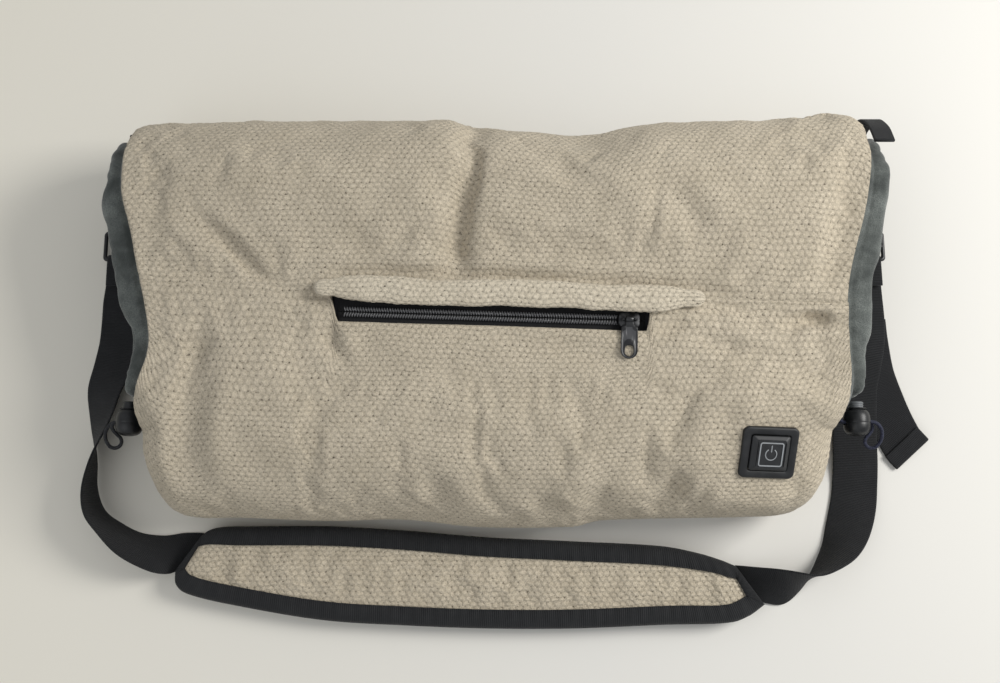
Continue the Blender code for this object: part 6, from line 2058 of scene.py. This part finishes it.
@dataclass
class HeatButton:
    """The silicone bezel, the key with its printed symbol, and the controller below."""

    slip: float = 0.0003
    corner: float = 0.0032
    bezel_height: float = 0.0026
    bezel_edge: float = 0.0011
    key: Pair = (0.0205, 0.0185)
    key_rise: float = 0.0046
    key_below: float = 0.0010
    key_inset: float = 0.0022
    stem: float = 0.0022
    travel: float = 0.0010
    icon_side: float = 0.0122
    icon_line: float = 0.0006
    icon_radius: float = 0.0030
    icon_bar: float = 0.0032
    icon_gap: float = 0.20
    light_plate: float = 0.0006
    case: Triple = (0.0262, 0.0238, 0.0100)
    wall: float = 0.0010
    board: float = 0.0010
    switch: float = 0.0060

    def build(self) -> None:
        """Make the button's pieces."""
        place = FORM.button_place()
        for part in (self.bezel, self.key_cap, self.symbol, self.controller):
            part(place)

    def bezel(self, place: Matrix) -> None:
        """The frame round the key, its top edge rounded and its opening chamfered.

        Args:
            place: Where the button lies.
        """
        outer, room = FORM.bezel, [size + 2 * self.slip for size in self.key]
        high, low, edge = self.bezel_height, self.slip, self.bezel_edge
        layers = [(grown(outer, 0, self.corner), low)]
        for angle in np.linspace(0, pi / 2, 6):
            inset = edge * (1 - cos(angle))
            line = grown(outer, -2 * inset, self.corner - inset / 2)
            layers.append((line, high - edge + edge * sin(angle)))
        layers += [
            (grown(room, 0.0016, 0.0018), high + 0.00005), (grown(room, 0.0006, 0.0014), high - 0.0002),
            (grown(room, 0, 0.0011), high - 0.0007), (grown(room, 0, 0.0011), low),
        ]
        piece = stacked("silicone_bezel", layers, place, Cloth.SILICONE, True)
        settle(piece, "button_bezel")

    def key_cap(self, place: Matrix) -> None:
        """The key: a skirt, chamfered sides and a flat top with a seat for the print.

        Args:
            place: Where the button lies.
        """
        top, edge, below = self.key_rise, self.bezel_height, -self.key_below
        rows = (
            (0.0, below), (0.0, edge + 0.0001), (0.10, edge + 0.0004), (0.90, top - 0.00025),
            (1.0, top - 0.00005), (1.10, top),
        )
        layers = [
            (grown(self.key, -2 * self.key_inset * share, 0.0011 + 0.0005 * share), z)
            for share, z in rows
        ]
        side = self.icon_side + 4 * self.icon_line + 2 * self.slip
        seat = rounded(side, side, 0.0007, 8)
        layers += [(seat, top), (seat, top - self.light_plate - self.slip)]
        piece = stacked("key_cap", layers, place, Cloth.KEY)
        radius, low = self.switch / 4, below - self.stem
        profile = [(0.0, low), (radius - 0.0002, low), (radius, low + 0.0002),
                   (radius, below + 0.0002), (0.0, below + 0.0002)]
        merged(piece, lathe("key_stem", profile, place, Cloth.KEY, 24))
        faceted(piece)
        settle(piece, "button_key", "key")

    def symbol(self, place: Matrix) -> None:
        """The print on the key: a rounded square and a power symbol, raised a little.

        Args:
            place: Where the button lies.
        """
        side = self.icon_side + 4 * self.icon_line - 0.0002
        half, top, radius = self.icon_line / 2, self.key_rise, self.icon_radius
        line = rounded(side, side, 0.0006, 8)
        layers = ((line, top - self.light_plate), (line, top - 0.00005))
        plate = stacked("key_print", layers, place, Cloth.KEY)
        square = (self.icon_side, self.icon_side)
        outer, inner = grown(square, 2 * half, 0.0013), grown(square, -2 * half, 0.0008)
        low, high = top - 0.0002, top + half
        layers = ((outer, low), (outer, high), (inner, high), (inner, low))
        marks = [stacked("print_square", layers, place, Cloth.SYMBOL, True)]
        turn = np.linspace(0.5 + self.icon_gap, 2.5 - self.icon_gap, 40) * pi
        arc = np.stack([radius * np.cos(turn), radius * np.sin(turn), np.full(40, top)], -1)
        bar = np.array([(0, radius + self.icon_bar * (t - 0.5), top) for t in (0, 0.5, 1)])
        for name, path in (("print_arc", arc), ("print_bar", bar)):
            tube = capped_tube(name, carried(path, place), half, 10, Cloth.SYMBOL, 0.7)
            marks.append(outward(tube))
        plate.data.materials.append(Cloth.SYMBOL.material())
        count = len(plate.data.polygons)
        for piece in marks:
            merged(plate, piece)
        faceted(plate)
        for face in plate.data.polygons[count:]:
            face.material_index = 1
        settle(plate, "power_symbol", "key")

    def controller(self, place: Matrix) -> None:
        """The case under the key, with its board, switch and light.

        Args:
            place: Where the button lies.
        """
        *plan, tall = self.case
        wall, room = self.wall, -2 * self.wall
        case = (
            (grown(plan, -0.002, 0.0016), -tall), (grown(plan, -0.0004, 0.0022), 0.0004 - tall),
            (grown(plan, 0, 0.0022), 0.0012 - tall), (grown(plan, 0, 0.0022), 0.0),
            (grown(plan, room, 0.0014), 0.0), (grown(plan, room, 0.0014), wall - tall),
        )
        low = wall + self.slip - tall
        high = low + self.board
        line = grown(plan, room - 2 * self.slip, 0.0012, 6)
        base, side = high + self.slip, self.switch
        top = -self.slip - self.key_below - self.stem - self.travel
        foot = rounded(side, side, 0.0006)
        switch = (
            (foot, base), (foot, top - 0.0012),
            (rounded(side - 0.0006, side - 0.0006, 0.0006), top - 0.0009),
            (rounded(side * 0.56, side * 0.56, side * 0.27), top - 0.0008),
            (rounded(side * 0.52, side * 0.52, side * 0.25), top),
        )
        beside = place @ Matrix.Translation((side, 0, 0))
        lamp = rounded(side / 2, side / 4, 0.0003)
        lens = rounded(side / 2 - 0.0004, side / 4 - 0.0004, 0.0003)
        light = ((lamp, base), (lamp, base + 0.0007), (lens, base + 0.001))
        for name, node, layers, spot, finish in (
            ("controller_shell", "controller_case", case, place, Cloth.PLASTIC),
            ("control_board", "circuit_board", ((line, low), (line, high)), place, Cloth.BOARD),
            ("tact_switch", "press_switch", switch, place, Cloth.SWITCH),
            ("status_light", "indicator_light", light, beside, Cloth.LIGHT),
        ):
            settle(stacked(name, layers, spot, finish), node)


# Strap.

@dataclass
class Strap:
    """The strap: buckles, webbing, the loose end and the tabs that hold it to the muff."""

    width: float = 0.0250
    thick: float = 0.0012
    bar_below: float = 0.0680
    bar_height: float = 0.0029
    bar_radius: float = 0.0010
    buckle_width: float = 0.0315
    buckle_side: float = 0.0024
    buckle_length: float = 0.0180
    left_out: float = 0.0263
    right_out: float = 0.0225
    tab_width: float = 0.0200
    tab_out: float = 0.0005
    tab_lifts: Pair = (0.0, 0.0042)
    tab_tops: Pair = (0.0070, 0.0110)
    tab_areas: Pair = (0.00165, 0.00190)
    tab_rows: tuple = (5.7, 5.5, 5.25, 5.0, 4.75, 4.5, 4.25, 4.0, 3.93)
    tail_lift: float = 0.0008
    over_tail: float = 0.0021
    over_rises: tuple = ((0.016, 0.038), (0.118, 0.140))
    end_shares: Pair = (0.4822, 0.4800)
    loop_run: float = 0.0160
    loop_leave: float = 0.0245
    loop_gap: float = 0.0005
    hem_length: float = 0.0085
    hem_gap: float = 0.0003
    left_route: tuple = (
        (0.0285, 0.1275, 0, 0), (0.0290, 0.1056, -2, 4), (0.0315, 0.0895, -8, 10),
        (0.0350, 0.0740, -5, 24), (0.0348, 0.0560, 0, 46), (0.0362, 0.0360, -3, 76),
        (0.0372, 0.0195, 4, 88), (0.0335, 0.0050, 30, 98), (0.0242, -0.0045, 48, 108),
        (0.0130, -0.0125, 60, 122), (-0.0002, -0.0170, 74, 140), (-0.0100, -0.0175, 70, 164),
        (-0.0178, -0.0168, 57, 177),
    )
    right_route: tuple = (
        (0.0230, 0.1275, 0, 0), (0.0226, 0.1056, -4, 0), (0.0190, 0.0880, -12, 0),
        (0.0160, 0.0740, -5, 0), (0.0140, 0.0470, -2, 3), (0.0130, 0.0240, -4, 6),
        (0.0105, 0.0080, -14, 14), (0.0045, -0.0070, -30, 34), (-0.0035, -0.0185, -46, 62),
        (-0.0150, -0.0290, -58, 92), (-0.0260, -0.0335, -64, 126), (-0.0370, -0.0355, -62, 158),
        (-0.0495, -0.0342, -54.5, 177),
    )
    tail_route: tuple = (
        (0.0243, 0.1160, 3, 0), (0.0250, 0.1040, 4, 0), (0.0275, 0.0840, 12, 0),
        (0.0340, 0.0620, 32, 4), (0.0410, 0.0450, 42, 8), (0.0460, 0.0385, 43, 8),
    )

    def bar_y(self) -> float:
        """Where the strap's bars lie."""
        return FORM.centre_y + FORM.half_depth - self.bar_below

    def buckle_x(self, side: int) -> float:
        """Where this side's buckle lies."""
        return side * (FORM.half_width + (self.right_out if side > 0 else self.left_out))

    def build(self) -> None:
        """Make the buckles, webbing, tail and tabs."""
        self.buckle("left_ring_frame", "left_strap_ring", self.buckle_x(-1), 2)
        self.buckle("right_adjuster_frame", "right_strap_adjuster", self.buckle_x(1), 3)
        lift = self.bar_height - self.bar_radius - self.loop_gap - self.thick / 2
        left = self.lying(self.fine(self.drawn(self.left_route, -1)), lift)
        right = self.lying(self.fine(self.drawn(self.right_route, 1)), lift, self.over_tail)
        self.webbing("left", -1, left)
        self.webbing("right", 1, right)
        self.tail()
        self.tab(-1, "left")
        self.tab(1, "right")

    def buckle(self, name: str, node: str, centre_x: float, bars: int) -> None:
        """A flat moulded buckle with rounded bars.

        Args:
            name: The piece's name.
            node: The solid that it stands for.
            centre_x: Where its middle lies.
            bars: How many bars it has.
        """
        r, length, width = self.bar_radius, self.buckle_length, self.buckle_width
        middle = Vector((centre_x, self.bar_y() - r + length / 2, self.bar_height))
        layers = []
        for angle in np.linspace(0, 2 * pi, 12, endpoint=False):
            turn = cos(angle)
            side = self.buckle_side * (1 - turn)
            corner = self.buckle_side - (1 - turn) * r * 0.3
            line = rounded(width - side, length - 2 * r * (1 - turn), corner, 8)
            layers.append((line, r * sin(angle)))
        body = stacked(name, layers, Matrix.Translation(middle), Cloth.PLASTIC, True)
        half = width / 2 - self.buckle_side * 0.6
        for bar in range(1, bars - 1):
            y = (length - 2 * r) * (bar / (bars - 1) - 0.5)
            path = np.array([middle + Vector((half * t, y, 0)) for t in np.linspace(-1, 1, 9)])
            merged(body, outward(capped_tube(f"{name}_bar", path, r * 0.98, 14, Cloth.PLASTIC)))
        settle(body, node)

    def drawn(self, route: Sequence, side: int, to_pad: bool = True) -> list:
        """The route in the part's own frame, its far end drawn to the pad's end.

        Args:
            route: The stations: how far out, how far up, the turn and the roll.
            side: Which side's, -1 or 1.
            to_pad: Whether its far end lies at the pad.

        Returns:
            The stations: x, y, turn and roll.
        """
        last_out, last_rise = route[-1][:2]
        slack = PAD.x + side * (self.end_shares[side > 0] * PAD.length - FORM.half_width - last_out)
        low = FORM.centre_y - FORM.half_depth
        stretch = (self.bar_y() - self.loop_leave - low) / self.left_route[0][1]
        placed = []
        for out, rise, turn, roll in route:
            taken = 1 - float(ease(last_rise, PAD.binding, rise)) if to_pad else 0.0
            x = side * (FORM.half_width + out) + slack * taken
            placed.append((x, low + rise * (stretch if rise > 0 else 1), turn, roll))
        return placed

    def fine(self, route: Sequence) -> Array:
        """The route with three more stations between each two of its own."""
        last = len(route) - 1
        return spline(range(last + 1), route, np.linspace(0, last, last * 4 + 1))

    def lying(self, route: Array, lift: float, over: float = 0.0) -> list:
        """Stations whose lower edge stays on the floor, or on the tail that lies there.

        Args:
            route: The stations: x, y, turn and roll.
            lift: How high the webbing's middle lies when it is flat.
            over: How much higher it lies over the tail.

        Returns:
            The stations: centres and width directions.
        """
        stations = []
        first, last = self.over_rises
        for x, y, turn, roll in route:
            turn, roll = radians(turn), radians(roll)
            level = Vector((cos(turn), sin(turn), 0))
            sideways = level * cos(roll) + Vector((0, 0, sin(roll)))
            height = lift + self.width / 2 * abs(sin(roll))
            rise = y - FORM.centre_y + FORM.half_depth
            height += over * float(ease(*first, rise)) * (1 - float(ease(*last, rise)))
            stations.append((Vector((x, y, height)), sideways))
        return stations

    def round_bar(self, x: float, y: float, start: float) -> list[Vector]:
        """Centres of webbing round a buckle's bar at x and y, half a turn down from start."""
        radius = self.bar_radius + self.loop_gap + self.thick / 2
        turns = [start - pi * step / 8 for step in range(9)]
        return [Vector((x, y + radius * cos(t), self.bar_height + radius * sin(t))) for t in turns]

    def bar_loop(self, x: float) -> list:
        """Stations round a buckle's lower bar, from the sewn end to the run underneath."""
        centres = self.round_bar(x, self.bar_y(), pi / 2)
        sewn = [centres[0] - Vector((0, self.loop_run * t, 0)) for t in (1, 0.6, 0.25)]
        return [(centre, Vector((1, 0, 0))) for centre in (*sewn, *centres)]

    def webbing(self, word: str, side: int, route: list) -> None:
        """One run of webbing from its loop round the bar to the pad."""
        band = Band(f"{word}_strap_web", self.width, self.thick, Cloth.WEBBING)
        piece = band.build(self.bar_loop(self.buckle_x(side)) + route)
        settle(piece, f"{word}_webbing", "strap")

    def tail(self) -> None:
        """The strap's loose end with its folded hem."""
        stations = self.lying(self.fine(self.drawn(self.tail_route, 1, False)), self.tail_lift)
        last, sideways = stations[-1]
        onward = (last - stations[-2][0]).normalized()
        upward = onward.cross(sideways).normalized()
        upward *= copysign(1, upward.z)
        radius = (self.thick + self.hem_gap) / 2
        turns = [pi * step / 6 for step in range(1, 7)]
        hem = [onward * radius * sin(turn) + upward * radius * (1 - cos(turn)) for turn in turns]
        hem += [upward * 2 * radius - onward * self.hem_length * share for share in (0.5, 1.0)]
        stations += [(last + reach, sideways) for reach in hem]
        band = Band("loose_strap_end", self.width, self.thick, Cloth.WEBBING, step=0.0006)
        piece = band.build(stations)
        settle(piece, "strap_tail", "strap")

    def tab(self, side: int, word: str) -> None:
        """The webbing tab from the top corner, over the roll and down to the buckle.

        Args:
            side: Which side's, -1 or 1.
            word: That side's word in the pieces' names.
        """
        depth = self.thick * 1.5
        lift, top_width, area = (pair[side > 0] for pair in (self.tab_lifts, self.tab_tops, self.tab_areas))
        stations = []
        for row in self.tab_rows[0 if side > 0 else 3:]:
            bow = sin(pi * (min(row, 5.5) - 4) / 3) if row > 4 else 0.0
            wide = self.tab_width + (top_width - self.tab_width) * float(ease(4, 4.9, row))
            near, far = (
                Vector(FORM.points(True, row, float(side), depth - bow * lift,
                                   self.tab_out + share * wide))
                for share in (0, 1)
            )
            stations.append(((near + far) / 2, (far - near) / self.tab_width))
        bar = self.bar_y() + self.buckle_length - 2 * self.bar_radius
        centres = self.round_bar(self.buckle_x(side), bar, -pi / 2)
        radius = self.bar_height - centres[0].z
        for share in (0.5, 1.0):
            centres.append(Vector((centres[0].x, bar + self.loop_run * share, self.bar_height + radius)))
        stations += [(centre, Vector((side, 0, 0))) for centre in centres]
        piece = Band(f"{word}_corner_tab", self.tab_width, depth, Cloth.WEBBING).build(stations)
        settle(piece, f"{word}_strap_tab")


# Shoulder pad.

@dataclass
class ShoulderPad:
    """The padded shoulder piece: a nub fleece face, foam, a mesh backing and a bound edge."""

    length: float = 0.325
    x: float = -0.0155
    below: float = 0.0300
    base: float = 0.0004
    backing: float = 0.0010
    foam: float = 0.0050
    crown: float = 0.0022
    face: float = 0.0022
    binding: float = 0.0100
    binding_thick: float = 0.0009
    slip: float = 0.0003
    crown_run: float = 0.08
    edges: tuple = (
        (0.00, -0.458, 0.068, -0.500, 0.010), (0.03, -0.446, 0.077, -0.498, -0.012),
        (0.07, -0.426, 0.082, -0.478, -0.028), (0.13, -0.383, 0.083, -0.408, -0.045),
        (0.26, -0.242, 0.083, -0.250, -0.071), (0.38, -0.111, 0.076, -0.109, -0.080),
        (0.50, 0.023, 0.065, 0.032, -0.085), (0.64, 0.171, 0.058, 0.177, -0.085),
        (0.78, 0.325, 0.050, 0.331, -0.079), (0.88, 0.392, 0.038, 0.435, -0.076),
        (0.95, 0.429, 0.027, 0.472, -0.065), (1.00, 0.454, 0.017, 0.500, -0.046),
    )
    nub_grid: tuple[int, int] = (560, 104)
    plain_grid: tuple[int, int] = (140, 26)
    side_fade: Pair = (0.17, 0.30)
    end_fade: Pair = (0.030, 0.055)

    def edge_points(self, share: Array) -> tuple[Array, Array]:
        """The upper and lower edges at this share of the length."""
        table = np.array(self.edges)
        lines = self.length * spline(table[:, 0], table[:, 1:], share)
        middle = np.array((self.x, FORM.centre_y - FORM.half_depth - self.below))
        return middle + lines[..., :2], middle + lines[..., 2:]

    def plan(self, share: Array, lane: Array, inset: Array) -> Array:
        """A point of the plan: along 0 to 1, across 0 (lower edge) to 1, this far in."""
        upper, lower = self.edge_points(share)
        wide = np.linalg.norm(upper - lower, axis=-1)
        across = (inset + lane * (wide - 2 * inset)) / wide
        return lower + (upper - lower) * across[..., None]

    def crown_at(self, share: Array, lane: Array) -> Array:
        """0 at the edges and 1 along the middle."""
        return (1 - (2 * lane - 1) ** 4) * ease(0, self.crown_run, np.minimum(share, 1 - share))

    def build(self) -> None:
        """Make the backing, foam, face and binding."""
        low = self.base + self.binding_thick + self.slip
        foam = low + self.backing + self.slip
        face = foam + self.foam + self.slip
        back = self.layer("pad_back_mesh", low, low + self.backing, 0, 0, Cloth.BACKING)
        settle(back, "pad_backing", "strap")
        fill = self.layer("pad_fill", foam, foam + self.foam, 0, 1, Cloth.FOAM)
        settle(fill, "pad_foam", "strap", fill=1.0)
        cover = self.layer("pad_cover", face, face + self.face, 1, 1, Cloth.FLEECE)
        settle(cover, "pad_face", "strap", 0.35)
        self.edge_tape(face + self.face + 2 * self.slip + self.binding_thick)

    def layer(self, name: str, low: float, high: float, low_crown: float, high_crown: float,
              finish: Cloth) -> Piece:
        """A layer between two heights with its edges rounded, nubbed on top if it's fleece.

        Args:
            name: The piece's name.
            low: The height of its underside at the edge.
            high: The height of its top at the edge.
            low_crown: How much of the crown its underside takes.
            high_crown: How much of the crown its top takes.
            finish: What it is made of.

        Returns:
            The object.
        """
        nubbed = finish is Cloth.FLEECE
        long, wide = self.nub_grid if nubbed else self.plain_grid
        inset = self.binding_thick + self.slip
        end = inset / self.length
        share, lane = np.meshgrid(np.linspace(end, 1 - end, long), np.linspace(0, 1, wide),
                                  indexing="ij")
        flat = self.plan(share, lane, np.full_like(share, inset))
        lift = self.crown * self.crown_at(share, lane)
        upper = np.dstack([flat, high + lift * high_crown])
        lower = np.dstack([flat, low + lift * low_crown])
        uv = WEAVE.chart(upper[..., 0], upper[..., 1])
        if nubbed:
            start = upper[::8, ::4]
            firm = 1 - ease(4.0, 8.0, np.minimum(*edge_steps(start.shape)))
            up = np.broadcast_to((0.0, 0.0, 1.0), start.shape)
            upper = upper + lift_to(Swelling(cap=0.0022).swell(start, firm, up), long, wide)
            edge = ease(*self.side_fade, np.minimum(lane, 1 - lane))
            edge = edge * ease(*self.end_fade, np.minimum(share, 1 - share))
            soft = 0.0006 * waves(upper, 0.045, 71, 2) + 0.0003 * waves(upper, 0.018, 72, 2)
            upper[..., 2] += edge * (soft + WEAVE.relief(uv))
        middle = (upper + lower) / 2
        around, caps, chart = (
            np.concatenate([near, far[:, ::-1]], axis=1)
            for near, far in ((upper, lower), (middle, middle), (uv, uv))
        )
        points = np.concatenate([caps[:1], around, caps[-1:]])
        chart = np.concatenate([chart[:1], chart, chart[-1:]])
        return outward(grid_piece(name, points, chart, finish, wrap_columns=True))

    def edge_tape(self, height: float) -> None:
        """The woven tape folded round the pad's edge, rippled and sewn down.

        Args:
            height: How high its upper fold lies.
        """
        thick, wide, base = self.binding_thick, self.binding, self.base
        low, high = base + thick, height - thick
        section = (
            (wide, base), (wide * 0.5, base), (thick * 1.2, base), (0.0004, base + 0.0006),
            (-0.0002, low + 0.0008), (-0.0004, (low + high) / 2), (-0.0002, high - 0.0010),
            (0.0004, height - 0.0007), (thick * 1.2, height), (wide * 0.25, height + 0.0003),
            (wide * 0.5, height + 0.0002), (wide * 0.86, height - 0.0001),
            (wide * 0.9, height - 0.0004), (wide * 0.95, height - 0.0004), (wide, height - 0.0001),
            (wide + 0.0002, high + 0.0003), (wide, high), (wide * 0.5, high), (thick, high),
            (thick, low), (wide * 0.5, low), (wide, low),
        )
        run_in, rise = np.array(section).T
        along, across = np.linspace(0, 1, 420), np.linspace(0, 1, 26)[1:-1]
        route = [
            *[(share, 0.0) for share in along], *[(1.0, lane) for lane in across],
            *[(share, 1.0) for share in along[::-1]], *[(0.0, lane) for lane in across[::-1]],
        ]
        share, lane = np.array(route).T[..., None]
        inner = np.clip(share, run_in / self.length, 1 - run_in / self.length)
        lanes = lane + 0 * inner
        flat = self.plan(inner, lanes, run_in + 0 * inner)
        upper, lower = self.edge_points(inner)
        edge_run = np.linalg.norm(upper - lower, axis=-1)
        own_lane = (run_in + lanes * (edge_run - 2 * run_in)) / edge_run
        lift = self.crown * self.crown_at(inner, own_lane) * (rise > low)
        length = run_length(flat[:, 5])
        ripple = 0.00028 * np.sin(2 * pi * length / 0.0065 + 1.3 * np.sin(length / 0.021))
        ripple = ripple[:, None] * np.clip(run_in / wide, 0, 1) * (rise > low)
        points = np.dstack([flat, rise + lift + ripple])
        girth = np.cumsum(np.hypot(np.diff(run_in, prepend=run_in[0]), np.diff(rise, prepend=rise[0])))
        uv = np.stack(np.broadcast_arrays(length[:, None] / MM, girth[None] / MM), -1)
        piece = outward(grid_piece("pad_edge_tape", points, uv, Cloth.BINDING, True, True))
        settle(piece, "pad_binding", "strap")


PAD = ShoulderPad()


# Inner layers.

@dataclass
class InnerLayers:
    """The wadding, heating pads and tunnel lining between the shell and the hands."""

    lining: float = 0.0024
    lining_setback: float = 0.0052
    lining_depth: float = 0.0156

    def build(self) -> None:
        """Make the lining, and dress the wadding and the heating pads."""
        self.tunnel_lining()
        self.softened("fibre_fill", "wadding", Cloth.WADDING, 0.0006, 0.022, 0.92)
        for word in ("front", "back"):
            self.softened(f"{word}_film_panel", f"{word}_heating_pad", Cloth.FILM, 0.00015, 0.03)

    def tunnel_lining(self) -> None:
        """The plush lining that follows the tunnel, its ends rounded."""
        around = np.linspace(0, 6, 260, endpoint=False)[:, None]
        span = 1 - 1.2 * self.lining_setback / FORM.half_width
        run = np.linspace(-1, 1, 120)
        run = np.concatenate([run, run[::-1]])
        share = run[None] * span
        half = self.lining / 2
        side = np.repeat((-half, half), 120)
        depth = self.lining_depth + half + side * (1 - 0.0003 / half * np.abs(run) ** 30)
        points = FORM.points(True, around, share, depth[None])
        uv = np.stack(np.broadcast_arrays(around, share), -1)
        piece = outward(grid_piece("tunnel_pile", points, uv, Cloth.LINING, True, True))
        wrinkle(piece, 0.0006, 0.03, 81)
        settle(piece, "tunnel_lining", fill=0.4)

    def softened(self, name: str, node: str, finish: Cloth, height: float, scale: float,
                 width: float = 1.0) -> None:
        """A layer's own shape, made finer and softly uneven.

        Args:
            name: The piece's name.
            node: The solid that it takes its shape from.
            finish: What it is made of.
            height: How uneven it is.
            scale: How long its waves are.
            width: The share of the solid's width that it keeps, so that its ends lie back.
        """
        piece = bpy.data.objects.new(name, bpy.data.objects[node].data.copy())
        bpy.context.scene.collection.objects.link(piece)
        shape = bmesh.new()
        shape.from_mesh(piece.data)
        for point in shape.verts:
            point.co.x *= width
        bmesh.ops.subdivide_edges(shape, edges=shape.edges, cuts=1, use_grid_fill=True)
        shape.to_mesh(piece.data)
        shape.free()
        piece.data.materials.clear()
        piece.data.materials.append(finish.material())
        for face in piece.data.polygons:
            face.use_smooth = True
            face.material_index = 0
        wrinkle(piece, height, scale, 91)
        settle(piece, node, fill=0.8)


# The whole.


def main() -> None:
    """Build the muff's looks in order."""
    logging.basicConfig(level=logging.INFO, format="%(message)s")
    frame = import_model()
    LOG.info("frame of %d nodes loaded", len(frame["nodes"]))
    STUDIO.build()
    for step in (Shell(), Zip(), HeatButton()):
        step.build()
        LOG.info("%s built", type(step).__name__)
    for side, word, style in ((-1, "left", LockStyle.BALL), (1, "right", LockStyle.RIDGED)):
        Cuff(side, word).build()
        CordLock(side, word, style).build()
        LOG.info("%s cuff and lock built", word)
    for step in (InnerLayers(), Strap(), PAD):
        step.build()
        LOG.info("%s built", type(step).__name__)


if __name__ == "__main__":
    main()
